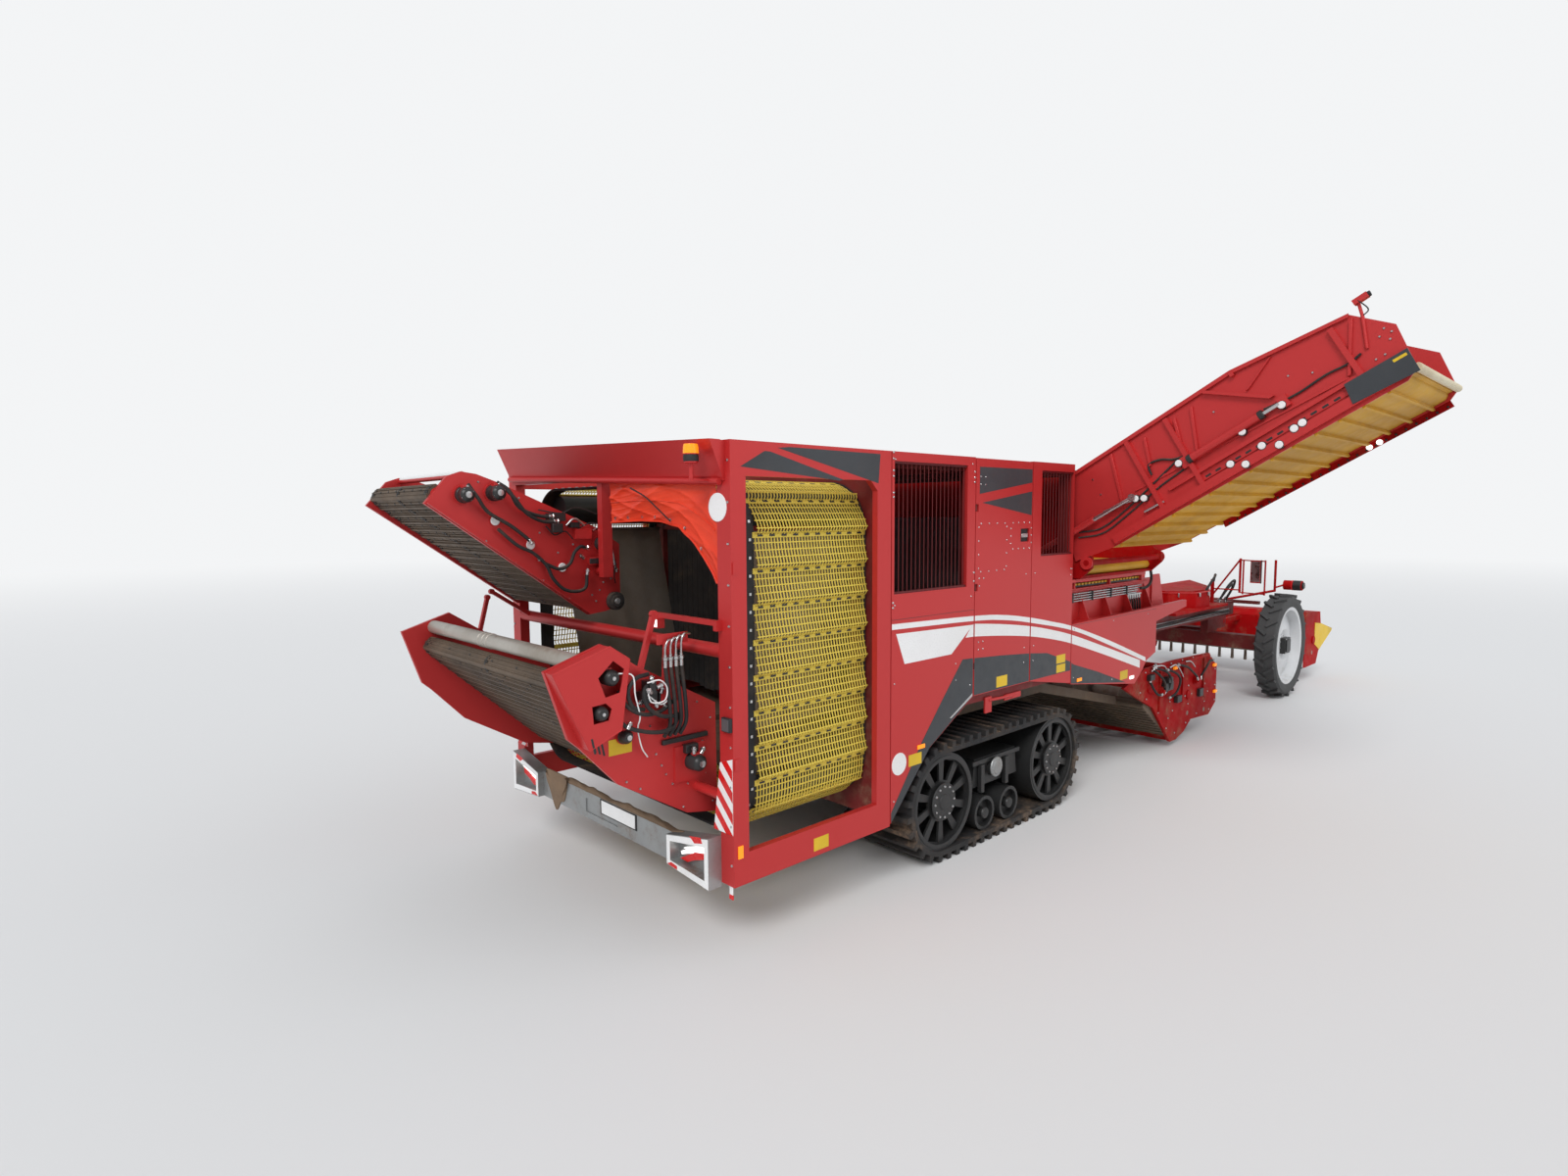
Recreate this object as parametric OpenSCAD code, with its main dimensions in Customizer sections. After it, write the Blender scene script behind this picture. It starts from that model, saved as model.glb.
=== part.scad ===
// Self-propelled four-row potato harvester. A tall body with a ring elevator stands on two rubber
// tracks. A long neck runs forward to tall narrow steered wheels, with the digging unit and the cab
// between. A discharge elevator reaches out to the right, two separating conveyors to the rear.
// +X points forward, +Y to the machine's left, +Z up. The layout is drawn from the rear face of
// the tall body on the centre line and the ground, and placed() moves it to the middle of its box.

/* [Body] */
// Height of the tall body over the ground
body_top = 4000; // [3850:10:4150]
// Width over the side panels
machine_w = 3700; // [3600:10:3800]
// Length of the rear frame round the ring elevator
ring_bay_l = 1850; // [1780:10:1950]
// Length of the big louvre panel
panel2_l = 1300; // [1200:10:1400]
// Length of the service door
door_l = 1070; // [950:10:1200]
// Length of the small louvre panel
panel4_l = 910; // [850:10:1000]
// Ground clearance under the rear frame
rear_floor = 580; // [540:10:640]
// Thickness of the side panels
panel_t = 60; // [50:1:70]
// Gap between two panels
panel_gap = 12; // [8:1:16]
// Width of a louvre slat
slat_w = 40; // [30:1:48]

/* [Frame] */
// Height of the neck beams' underside
rail_z = 1500; // [1470:10:1530]
// Depth of the neck beams
rail_h = 250; // [200:10:280]
// Width of a neck beam
rail_w = 140; // [110:5:160]
// Distance of a neck beam's outer face from the centre line
rail_y = 900; // [860:10:940]
// Size of the body frame's square posts
post_w = 90; // [70:5:100]
// Height of the engine deck's top face
deck_z = 2450; // [2380:10:2500]

/* [Tracks] */
// Radius of the track wheels
track_wheel_r = 487; // [470:1:500]
// Distance between the track wheels' axles
track_base = 2095; // [2060:5:2130]
// Rear track axle ahead of the body's rear face
track_x = 2706; // [2680:2:2730]
// Width of the rubber belt
belt_w = 850; // [780:10:860]
// Thickness of the rubber belt
belt_t = 50; // [40:1:60]
// Height of the belt's lugs
lug_h = 60; // [50:1:70]
// Number of lugs on one belt
lug_n = 52; // [44:1:56]
// Radius of the small bottom rollers
roller_r = 181; // [170:1:185]

/* [Front wheels] */
// Front axle ahead of the body's rear face
axle_x = 13384; // [13300:10:13460]
// Outer radius of the front tyres over the lugs
tyre_r = 960; // [940:5:980]
// Width of a front tyre
tyre_w = 350; // [320:5:370]
// Radius of the rim's flange
rim_r = 718; // [700:2:730]
// Distance of the steering pins from the centre line
kingpin_y = 1330; // [1310:5:1350]
// Radius of the steering pins
kingpin_r = 45; // [38:1:50]
// Radius of the wheel spindles
spindle_r = 60; // [50:1:66]
// Number of lugs on each side of a tyre
tyre_lug_n = 20; // [16:1:24]

/* [Ring elevator] */
// Distance of the ring's outer face from the centre line
ring_y = 1715; // [1690:5:1730]
// Bottom of the ring over the ground
ring_bottom = 800; // [780:5:830]
// Top of the ring over the ground
ring_top = 3790; // [3760:5:3810]
// Width of the ring's web
ring_w = 1330; // [1280:10:1345]
// Radius of the ring's corners
ring_corner_r = 420; // [360:10:460]
// Number of pockets round the ring
ring_pocket_n = 40; // [36:1:44]
// Depth of a pocket's bulge
ring_bulge = 34; // [20:1:40]
// Thickness of the ring's web
ring_t = 26; // [18:1:32]

/* [Discharge elevator] */
// Angle of the elevator over the horizontal
arm_angle = 30.6; // [28:0.1:33]
// Length of the elevator from its pivot to the tip of its walls
arm_l = 3600; // [3450:10:3700]
// Height of the elevator's walls
arm_wall_h = 1000; // [920:10:1030]
// Thickness of the elevator's walls
arm_wall_t = 15; // [12:1:18]
// Pivot's distance from the centre line
arm_pivot_y = 1950; // [1930:5:1980]
// Pivot's height over the ground
arm_pivot_z = 2860; // [2840:5:2890]
// Radius of the pivot tube
arm_pin_r = 35; // [28:1:40]
// Width of the bunker between the elevator's walls
bunker_w = 1950; // [1900:10:1980]
// Distance of the elevator's rear wall from the body's rear face
arm_x = 5250; // [5240:5:5280]

/* [Rear conveyors] */
// Near side of the upper conveyor, left of the centre line
upper_y0 = 150; // [100:10:250]
// Width of the upper conveyor
upper_w = 1500; // [1400:10:1520]
// Right side of the lower conveyor from the centre line
lower_y0 = 1330; // [1250:10:1350]
// Width of the lower conveyor
lower_w = 2900; // [2750:10:2920]
// Radius of the conveyors' pivot shafts
shaft_r = 40; // [30:1:45]
// Thickness of the conveyors' cheeks
cheek_t = 40; // [30:1:50]

/* [Digging unit and topper] */
// Width of the digging unit
digger_w = 3460; // [3300:10:3480]
// Row spacing
row_pitch = 750; // [740:5:760]
// Radius of the ridge rollers at their ends
ridge_roller_r = 330; // [300:5:340]
// Width of the haulm topper
topper_w = 3300; // [3200:10:3350]
// Radius of the haulm topper's rotor over its flails
rotor_r = 300; // [270:5:310]
// Number of flails in one row of the rotor
flail_n = 12; // [10:1:14]

/* [Cab] */
// Length of the cab
cab_l = 1800; // [1750:10:1850]
// Width of the cab
cab_w = 1620; // [1580:10:1650]
// Height of the cab
cab_h = 1720; // [1650:10:1760]
// Thickness of the cab's walls
cab_t = 60; // [50:1:70]
// Rear face of the cab ahead of the body's rear face
cab_x = 9950; // [9900:10:10000]

/* [Hidden] */
$fn = 48;

// Clearances: between seated pieces, round a turning shaft, and between moving pieces
seat = 0.3;
run_fit = 0.08;
clear = 6;

// Side planes and stations along the tall body
side_y = machine_w / 2;
x1 = ring_bay_l;
x2 = x1 + panel2_l;
x3 = x2 + door_l;
x4 = x3 + panel4_l;
post_y1 = side_y - panel_t;
post_y0 = post_y1 - post_w;
panel_floor = rail_z + 95;
bonnet_x = 7500;
digger_pivot_x = 7350;
digger_pivot_z = 1050;

// Colours
red = [0.72, 0.05, 0.05];
dark_red = [0.35, 0.03, 0.05];
yellow = [0.85, 0.68, 0.1];
grey = [0.25, 0.26, 0.28];
black = [0.08, 0.08, 0.09];
silver = [0.75, 0.76, 0.78];
rubber = [0.1, 0.1, 0.1];
soil = [0.38, 0.32, 0.26];

// Helpers: a box by its faces, outlines pushed along Y or X, and round bars along each axis
module block(x0, xe, y0, ye, z0, ze) translate([x0, y0, z0]) cube([xe - x0, ye - y0, ze - z0]);
module plate_y(pts, y0, ye)
    translate([0, ye, 0]) rotate([90, 0, 0]) linear_extrude(ye - y0) polygon(pts);
module plate_x(pts, x0, xe)
    translate([x0, 0, 0]) rotate([90, 0, 90]) linear_extrude(xe - x0) polygon(pts);
module bar_x(r, x0, xe, y, z) translate([x0, y, z]) rotate([0, 90, 0]) cylinder(r = r, h = xe - x0);
module bar_y(r, y0, ye, x, z) translate([x, y0, z]) rotate([-90, 0, 0]) cylinder(r = r, h = ye - y0);
module bar_z(r, z0, ze, x, y) translate([x, y, z0]) cylinder(r = r, h = ze - z0);
module both_sides() {
    children();
    mirror([0, 1, 0]) children();
}

// Point at the distance s along a belt that runs round two wheels of radius r, a apart
function belt_point(s, a, r) =
    let (bend = PI * r)
    s < a ? [s, -r]
    : s < a + bend ? let (t = (s - a) / r * 180 / PI) [a + r * sin(t), -r * cos(t)]
    : s < 2 * a + bend ? [2 * a + bend - s, r]
    : let (t = (s - 2 * a - bend) / r * 180 / PI) [-r * sin(t), r * cos(t)];
function belt_normal(s, a, r) =
    let (bend = PI * r)
    s < a ? [0, -1]
    : s < a + bend ? let (t = (s - a) / r * 180 / PI) [sin(t), -cos(t)]
    : s < 2 * a + bend ? [0, 1]
    : let (t = (s - 2 * a - bend) / r * 180 / PI) [-sin(t), cos(t)];
function belt_length(a, r) = 2 * a + 2 * PI * r;
// A loop of belt seen from its side: round ends of radius r, and n lugs of height h on it, each
// w of a pitch wide at its foot
module stadium(a, r) {
    circle(r = r);
    translate([a, 0]) circle(r = r);
    translate([0, -r]) square([a, 2 * r]);
}
module lugged(a, r, n, w, h) {
    stadium(a, r);
    pitch = belt_length(a, r) / n;
    for (i = [0:n - 1]) {
        s = (i + 0.5) * pitch;
        p = belt_point(s, a, r);
        q = belt_normal(s, a, r);
        translate(p) rotate(atan2(q[1], q[0]) - 90)
            polygon([[-w * pitch / 2, -0.06 * r], [w * pitch / 2, -0.06 * r],
                     [0.8 * w * pitch / 2, h], [-0.8 * w * pitch / 2, h]]);
    }
}

// Tracks: both wheels of a side stand on one height, the belt's lugs touch the ground
track_z = lug_h + belt_t + track_wheel_r + seat;
track_out_r = track_z;
belt_in_r = track_wheel_r + seat;
// A flat lug's corners stand a little farther out than its middle where the belt bends
lug_half = 0.8 * 0.46 * belt_length(track_base, belt_in_r + belt_t) / lug_n / 2;
lug_dip = track_out_r - sqrt(pow(track_out_r, 2) - pow(lug_half, 2));
track_y0 = side_y - belt_w;
track_plate_y = track_y0 - 10;
axle_beam_x = track_x + track_base / 2;

module track_belts() color(rubber) both_sides()
    translate([track_x, -track_y0, track_z]) rotate([90, 0, 0]) linear_extrude(belt_w)
        difference() {
            lugged(track_base, belt_in_r + belt_t, lug_n, 0.46, lug_h - lug_dip);
            stadium(track_base, belt_in_r);
        }

module spoked_wheel(r, w, hub_l, spokes) {
    // Outer face on Y = 0, the rim reaches back to +Y
    difference() {
        rotate([-90, 0, 0]) cylinder(r = r, h = w, $fn = 64);
        translate([0, 60, 0]) rotate([-90, 0, 0]) cylinder(r = r - 45, h = w, $fn = 64);
        translate([0, -1, 0]) rotate([-90, 0, 0]) cylinder(r = r - 55, h = 36, $fn = 64);
        for (i = [0:spokes - 1])
            rotate([0, i * 360 / spokes, 0]) translate([0, -5, 0]) rotate([-90, 0, 0])
                linear_extrude(80) polygon([[0.42 * r, -0.07 * r], [0.84 * r, -0.18 * r],
                                            [0.84 * r, 0.18 * r], [0.42 * r, 0.07 * r]]);
    }
    rotate([-90, 0, 0]) cylinder(r = 0.3 * r, h = hub_l, $fn = 48);
}

module track_wheels() color(black) both_sides() {
    for (x = [track_x, track_x + track_base])
        translate([x, -side_y + 25, track_z])
            spoked_wheel(track_wheel_r, belt_w - 150, side_y - 25 - track_plate_y, 10);
    for (k = [0.354, 0.575])
        translate([track_x + k * track_base, -side_y + 40, belt_t + lug_h + roller_r + seat]) {
            difference() {
                rotate([-90, 0, 0]) cylinder(r = roller_r, h = 640, $fn = 48);
                translate([0, -1, 0]) rotate([-90, 0, 0]) cylinder(r = roller_r - 35, h = 70);
            }
            rotate([-90, 0, 0]) cylinder(r = 55, h = side_y - 40 - track_plate_y);
        }
}

// Undercarriage plate inside each track with the box between the wheels
module track_frames() color(grey) both_sides() {
    block(track_x - 160, track_x + track_base + 160, -track_plate_y, -track_plate_y + 50,
          260, track_z + 330);
    plate_y([[track_x + 620, 560], [track_x + 660, 860], [track_x + track_base - 660, 860],
             [track_x + track_base - 620, 560]], -side_y + 120, -track_plate_y);
    bar_y(95, -side_y + 60, -side_y + 120, axle_beam_x - 60, 720);
}

// Main frame: neck beams, body frame of posts and rails, track axle beam, decks and bearers
deck_t = 50;
eye_x = axle_x + 260;
eye_y = 230;
eye_z = 1120;
eye_r = 26;
eye_t = 40;
tower_x = [x1, x2 - post_w / 2, x3 - post_w / 2, x4 - post_w];
portal_x0 = x1 - 150;
neck_end = axle_x - 284;
neck_y0 = rail_y - rail_w;
bunker_x0 = arm_x + arm_wall_t + 10;
bunker_x1 = bunker_x0 + bunker_w;
bunker_floor = arm_pivot_z - 190;
// Every member ends a hair short of the one that it is welded to
module main_frame() color(red) {
    both_sides() {
        block(x1 + seat, neck_end, -rail_y, -neck_y0, rail_z, rail_z + rail_h);
        // Posts of the tall body with the rails that the panels bolt to
        for (x = tower_x)
            block(max(x, x1 + seat), x + post_w, -post_y1, -post_y0, rail_z + 90 + seat, body_top - 140 - seat);
        block(x1 + seat, bonnet_x - 200, -post_y1, -post_y0, rail_z, rail_z + 90);
        block(x1 + seat, x4, -post_y1, -post_y0, body_top - 140, body_top - 50);
        door_knuckles();
        for (x = cross_x)
            block(max(x, x1 + seat), x + post_w, -post_y0 + seat, -rail_y - seat, rail_z, rail_z + 90);
        // Bearers of the sieving webs
        for (x = [2000, 4900]) block(x, x + 80, -rail_y, -neck_y0, web_z + web_t, rail_z - seat);
        // Uprights under the bunker
        for (x = [bunker_x0 + 60, bunker_x1 - 160])
            block(x, x + 100, -rail_y, -neck_y0, rail_z + rail_h + seat, bunker_floor);
        // Bearers under the cooler
        block(x1 + post_w + seat, x2 - post_w / 2 - seat, -340, -250, rail_z, rail_z + 90);
    }
    // Cross members tie the neck beams to each other and to the body frame
    for (x = concat(cross_x, [axle_beam_x - post_w / 2]))
        block(max(x, x1 + seat), x + post_w, -neck_y0 + seat, neck_y0 - seat, rail_z, rail_z + 90);
    for (x = tower_x)
        block(max(x, x1 + seat), x + post_w, -post_y0 + seat, post_y0 - seat, body_top - 140, body_top - 50);
    block(neck_end - 300, neck_end, -neck_y0 + seat, neck_y0 - seat, rail_z, rail_z + rail_h);
    // Track axle beam on a pylon between the two sieving webs
    block(axle_beam_x - 160, axle_beam_x + 160, -70, 70, 860 + seat, rail_z - seat);
    block(axle_beam_x - 130, axle_beam_x + 130, -track_plate_y + 50, track_plate_y - 50, 560, 860);
    portal();
    // Engine deck
    block(x2, x4, -post_y0 + seat, post_y0 - seat, deck_z - deck_t, deck_z);
    front_pylon();
    both_sides() digger_bracket();
}
cross_x = [x1, x2 - post_w / 2, x3 - post_w / 2, x4 - post_w, bonnet_x - 300];

// Portal behind the ring elevator: two posts between a sill and a head
portal_in = 1480;
module portal() {
    both_sides() block(portal_x0, x1, -post_y1, -portal_in, 960 + seat, 3640 - seat);
    block(portal_x0, x1, -post_y1, post_y1, 700, 960);
    block(portal_x0, x1, -post_y1, post_y1, 3640, body_top - 50);
}

// Pylon on the front axle, with the ears of the haulm topper and the towing plate
pylon_x0 = axle_x - 284;
pylon_x1 = axle_x + 200;
module front_pylon() {
    block(pylon_x0 + seat, pylon_x1, -340 + seat, 340 - seat, rail_z, rail_z + rail_h);
    both_sides() {
        block(axle_x - 40, axle_x + 40, -1290, -480 - seat, 1690, 1750);
        block(pylon_x0 + seat, pylon_x1, -480, -340, axle_z + 130, rail_z + rail_h);
        block(pylon_x0 + seat, pylon_x0 + 80, -rail_y, -480 - seat, rail_z, rail_z + rail_h);
        difference() {
            block(pylon_x1 + seat, topper_pivot_x + 90, -480, -440, 1130, 1500);
            bar_y(shaft_r + run_fit, -500, -400, topper_pivot_x, topper_pivot_z);
        }
    }
    difference() {
        block(axle_x + 60, eye_x + 60, -340 + seat, 340 - seat, eye_z - eye_t / 2, eye_z + eye_t / 2);
        both_sides() bar_z(eye_r, eye_z - eye_t, eye_z + eye_t, eye_x, -eye_y);
    }
}

// Bracket that carries the digging unit
module digger_bracket() {
    difference() {
        plate_y([[digger_pivot_x - 250, rail_z - seat], [digger_pivot_x + 100, rail_z - seat],
                 [digger_pivot_x + 80, digger_pivot_z - 90],
                 [digger_pivot_x - 80, digger_pivot_z - 90]], -digger_w / 2 + 90, -digger_w / 2 + 130);
        bar_y(shaft_r + run_fit, -digger_w / 2, -digger_w / 2 + 200, digger_pivot_x, digger_pivot_z);
    }
    block(bonnet_x - 300 + post_w + seat, digger_pivot_x + 100, -post_y0 + seat, -rail_y - seat,
          rail_z, rail_z + 90);
}

// Rear frames round the ring elevator: a sheet with a big window on each side, corner posts,
// and cross beams between them
window_x0 = 150;
window_x1 = ring_bay_l - 190;
window_z0 = rear_floor + 250;
window_z1 = body_top - 265;
rear_post = 100;
tube_r = 55;
module rear_side_frames() color(red) {
    both_sides() {
        difference() {
            block(0, x1 - panel_gap / 2, -side_y, -post_y1, rear_floor, body_top);
            plate_y([[window_x0, window_z0], [window_x1, window_z0], [window_x1, window_z1 - 90],
                     [window_x1 - 90, window_z1], [window_x0, window_z1]], -side_y - 5, -post_y1 + 5);
        }
        block(0, rear_post, -post_y1, -post_y1 + rear_post, rear_floor, body_top);
    }
    block(0, rear_post, -post_y1 + rear_post, post_y1 - rear_post, body_top - 230, body_top);
    block(0, rear_post, -post_y1 + rear_post, post_y1 - rear_post, rear_floor, rear_floor + 120);
    // Bare tube across the rear under the upper conveyor
    bar_y(tube_r, -post_y1 + rear_post, post_y1 - rear_post, rear_post / 2, 2400);
    // Lower pivot shaft
    bar_y(shaft_r, -post_y1 + rear_post, post_y1 - rear_post, lower_pivot[0], lower_pivot[1]);
    // Upper pivot shaft with its middle stay
    bar_y(shaft_r, upper_y0 - 160, post_y1 - rear_post, upper_pivot[0], upper_pivot[1]);
    block(0, rear_post, upper_y0 - 180, upper_y0 - 100, upper_pivot[1] - 60, body_top - 230);
    fascia();
    beacon();
    lamp_arm();
    // Fixed half of the left linkage
    strut_y([rear_post / 2, 2400], [-386, 2690], 18, upper_y0 + upper_w - 170, upper_y0 + upper_w - 130);
    // Toggle catches of the mesh door
    for (z = [1500, 3000]) block(12, 60, -side_y - 8, -side_y, z, z + 90);
}

// Sheet that leans out over the rear opening and rises to the left, on end gussets, with its tube
fascia_lean = 140;
fascia_rise = 2.2;
module fascia() translate([0, -post_y1, 3700]) rotate([fascia_rise, 0, 0]) {
    plate_y([[-12, 0], [8, 0], [8 - fascia_lean, 300], [-12 - fascia_lean, 300]], 0, 2 * post_y1);
    plate_y([[8 - fascia_lean, 292], [90 - fascia_lean, 292], [90 - fascia_lean, 300],
             [8 - fascia_lean, 300]], 0, 2 * post_y1);
    for (y = [0, 0.53, 1])
        plate_y([[0, 20], [0, 296], [-fascia_lean, 296]], y * (2 * post_y1 - 8), y * (2 * post_y1 - 8) + 8);
    bar_y(26, 30, 2 * post_y1 - 30, -30, -8);
}
// Beacon on a stalk before the fascia
beacon_x = -205;
beacon_y = -1650;
module beacon() {
    bar_z(16, 3700, 3830, beacon_x, beacon_y);
    bar_z(52, 3828, 3850, beacon_x, beacon_y);
    bar_z(50, 3850, 3890, beacon_x, beacon_y);
    translate([beacon_x, beacon_y, 3890]) cylinder(r1 = 58, r2 = 50, h = 75);
    block(beacon_x - 20, -30, beacon_y - 15, beacon_y + 15, 3700, 3712);
}
// Arm with a work lamp at its end
module lamp_arm() {
    block(-60, -20, -1700, -920, 2610, 2650);
    block(-60, 0, -1740, -1700, 2570, 2650);
    difference() {
        block(-110, -40, -1035, -925, 2530, 2610);
        block(-111, -100, -1027, -933, 2538, 2602);
    }
}
// Flat link of thickness w between two points (x, z), with round eyes
module strut_y(a, b, w, y0, ye) {
    for (q = [a, b]) bar_y(1.5 * w, y0, ye, q[0], q[1]);
    translate([a[0], 0, a[1]]) rotate([0, -atan2(b[1] - a[1], b[0] - a[0]), 0])
        block(0, norm(b - a), y0, ye, -w, w);
}

// Side panels: the big louvre panel and the small louvre panel on each side
louvre2 = [x1 + 40, x2 - 140, 2720, body_top - 85];
louvre4 = [x3 + 190, x4 - 20, 2970, body_top - 90];
module body_panels() color(red) {
    roof();
    both_sides() {
        tall_panels();
        bonnet_panel();
    }
}
arch_corner = [track_x, track_z] + (track_out_r + 66) * [cos(114.6), sin(114.6)];
module tall_panels() {
    difference() {
        plate_y([[x1 + panel_gap / 2, rear_floor + 20], arch_corner, [x2 - panel_gap / 2, panel_floor],
                 [x2 - panel_gap / 2, body_top], [x1 + panel_gap / 2, body_top]], -side_y, -post_y1);
        block(louvre2[0], louvre2[1], -side_y - 5, -post_y1 + 5, louvre2[2], louvre2[3]);
    }
    difference() {
        plate_y([[x3 + panel_gap / 2, panel_floor], [x4, panel_floor - 150], [x4, body_top],
                 [x3 + panel_gap / 2, body_top]], -side_y, -post_y1);
        block(louvre4[0], louvre4[1], -side_y - 5, -post_y1 + 5, louvre4[2], louvre4[3]);
    }
}

// Louvres: upright slats set in each opening, held by rails at top and bottom
module louvre(o, slats) {
    pitch = (o[1] - o[0]) / slats;
    for (i = [0:slats - 1])
        translate([o[0] + (i + 0.5) * pitch, -side_y + 28, o[2]]) rotate([0, 0, 35])
            translate([-slat_w / 2, -3, 0]) cube([slat_w, 6, o[3] - o[2]]);
    block(o[0], o[1], -side_y + 12, -side_y + 45, o[2], o[2] + 20);
    block(o[0], o[1], -side_y + 12, -side_y + 45, o[3] - 20, o[3]);
}
module louvres() color(dark_red) both_sides() {
    louvre(louvre2, 18);
    louvre(louvre4, 11);
}

// Roof sheet between the side panels
module roof()
    block(x1 + panel_gap / 2, x4, -post_y1 + seat, post_y1 - seat, body_top - 50 + seat, body_top);

// Engine with its radiator as plain masses on the deck
module engine_block() color(grey) {
    block(x2 + 250, bunker_x0 - 395, -550, 550, deck_z, deck_z + 950);
    block(x1 + 250, x2 - 150, -500, 500, rail_z + 90, rail_z + 90 + 1300);
}

// Service doors on both sides, hinged at their rear edge on knuckles that lie in notches
door_t = 40;
door_e = 26;
door_pin_x = x2 + panel_gap / 2 + door_e;
door_pin_y = side_y - door_t / 2;
door_pin_r = 8;
door_hinges = [1900, 2700, 3500];
knuckle_h = 60;
module door_knuckles() for (z = door_hinges) {
    bar_z(12, z - knuckle_h / 2, z + knuckle_h / 2, door_pin_x, -door_pin_y);
    block(door_pin_x - 12, door_pin_x + 12, -door_pin_y, -post_y1 - seat, z - knuckle_h / 2, z + knuckle_h / 2);
    bar_z(door_pin_r, z - knuckle_h, z + knuckle_h, door_pin_x, -door_pin_y);
}
module service_door() color(red) difference() {
    block(x2 + panel_gap / 2, x3 - panel_gap / 2, -side_y, -side_y + door_t,
          panel_floor, body_top - clear);
    // Recess of the handle with its lamp
    block(x3 - 230, x3 - 60, -side_y - 1, -side_y + 25, 3140, 3280);
    for (z = door_hinges) {
        block(x2, door_pin_x + 20, -side_y - 1, -side_y + door_t + 1,
              z - knuckle_h / 2 - clear, z + knuckle_h / 2 + clear);
        bar_z(door_pin_r + run_fit, z - knuckle_h - clear, z + knuckle_h + clear, door_pin_x, -door_pin_y);
    }
}
module service_door_right() service_door();
module service_door_left() mirror([0, 1, 0]) service_door();

// Ring elevator: a web that runs right round the machine's width, with bulging pockets
ring_x0 = portal_x0 - 20 - ring_w;
function ring_point(s, w, h, r) =
    // Distance s anticlockwise round a rounded rectangle of half width w and half height h
    let (a = 2 * (w - r), b = 2 * (h - r), q = PI * r / 2, e = [a, q, b, q, a, q, b, q],
         c = [0, a, a + q, a + q + b, a + 2 * q + b, 2 * a + 2 * q + b, 2 * a + 3 * q + b,
              2 * a + 3 * q + 2 * b],
         k = len([for (v = c) if (v <= s) v]) - 1, d = s - c[k], t = d / r * 180 / PI)
    k == 0 ? [-w + r + d, -h, 0, -1]
    : k == 1 ? [w - r + r * sin(t), -h + r - r * cos(t), sin(t), -cos(t)]
    : k == 2 ? [w, -h + r + d, 1, 0]
    : k == 3 ? [w - r + r * cos(t), h - r + r * sin(t), cos(t), sin(t)]
    : k == 4 ? [w - r - d, h, 0, 1]
    : k == 5 ? [-w + r - r * sin(t), h - r + r * cos(t), -sin(t), cos(t)]
    : k == 6 ? [-w, h - r - d, -1, 0]
    : [-w + r - r * cos(t), -h + r - r * sin(t), -cos(t), -sin(t)];
function ring_length(w, h, r) = 4 * (w - r) + 4 * (h - r) + 2 * PI * r;
function ring_outline(w, h, r, n, bulge) =
    [for (i = [0:n - 1], k = [[0, 0], [0.3, 0.8], [0.6, 1], [0.85, 0.6]])
        let (p = ring_point((i + k[0]) * ring_length(w, h, r) / n, w, h, r))
        [p[0], p[1]] + k[1] * bulge * [p[2], p[3]]];
ring_half_h = (ring_top - ring_bottom) / 2;
ring_mid_z = (ring_top + ring_bottom) / 2;
ring_in_w = ring_y - ring_bulge - ring_t;
ring_in_h = ring_half_h - ring_bulge - ring_t;
ring_in_r = ring_corner_r - ring_t;
module ring_web() color(yellow) translate([ring_x0, 0, ring_mid_z]) rotate([90, 0, 90])
    linear_extrude(ring_w) difference() {
        polygon(ring_outline(ring_y - ring_bulge, ring_half_h - ring_bulge, ring_corner_r,
                             ring_pocket_n, ring_bulge));
        polygon(ring_outline(ring_in_w, ring_in_h, ring_in_r, ring_pocket_n, ring_bulge));
    }

// Rollers inside the ring's corners, on shafts from the portal
ring_roller_r = 150;
ring_roller_in = ring_in_r - (ring_in_r - ring_roller_r - 8) / sqrt(2);
ring_roller_y = ring_in_w - ring_roller_in;
ring_roller_z = ring_in_h - ring_roller_in;
ring_rail_y = ring_in_w - ring_in_r;
ring_rail_z = ring_in_h - ring_in_r;
module ring_rollers() color(grey) {
    // Guide rail along the web's front edge, on the portal
    translate([ring_x0 + ring_w, 0, ring_mid_z]) rotate([90, 0, 90])
        linear_extrude(portal_x0 - ring_x0 - ring_w) difference() {
            polygon(ring_outline(ring_in_w + 12, ring_in_h + 12, ring_in_r + 12, 32, 0));
            polygon(ring_outline(ring_in_w - 30, ring_in_h - 30, ring_in_r - 30, 32, 0));
            // Split at the corners into four runs
            for (sy = [-1, 1], sz = [-1, 1])
                translate([sy * ring_rail_y, sz * ring_rail_z]) rotate(sy * sz * 45)
                    square([2 * ring_in_r, 2 * seat], center = true);
        }
    for (sy = [-1, 1], sz = [-1, 1]) {
        bar_x(ring_roller_r, ring_x0, ring_x0 + ring_w, sy * ring_roller_y,
              ring_mid_z + sz * ring_roller_z);
        bar_x(45, ring_x0 + ring_w, portal_x0, sy * ring_roller_y, ring_mid_z + sz * ring_roller_z);
    }
}

// Sieving web: a long loop from the digging unit over the tracks to the rear conveyors
web_t = 120;
web_z = 1250;
web_path = [[560, web_z], [x4 + 100, web_z], [digger_pivot_x - 60, 760]];
module sieve_web() color(soil) both_sides()
    plate_y(concat([for (p = web_path) p + [0, web_t]], [for (i = [2:-1:0]) web_path[i]]), -1400, -90);

// Underrun bumper across the rear with lamp housings at its ends
module rear_bumper() color(silver) {
    difference() {
        block(-70, 0, -1130, 1130, 592, 845);
        block(-71, -60, -280, 280, 650, 780);
    }
    both_sides() {
        difference() {
            plate_x([[-1130, 592], [-1690, 545], [-1690, 960], [-1130, 845]], -130, 0);
            plate_x([[-1180, 640], [-1640, 610], [-1640, 880], [-1180, 800]], -131, -40);
        }
    }
}

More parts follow.
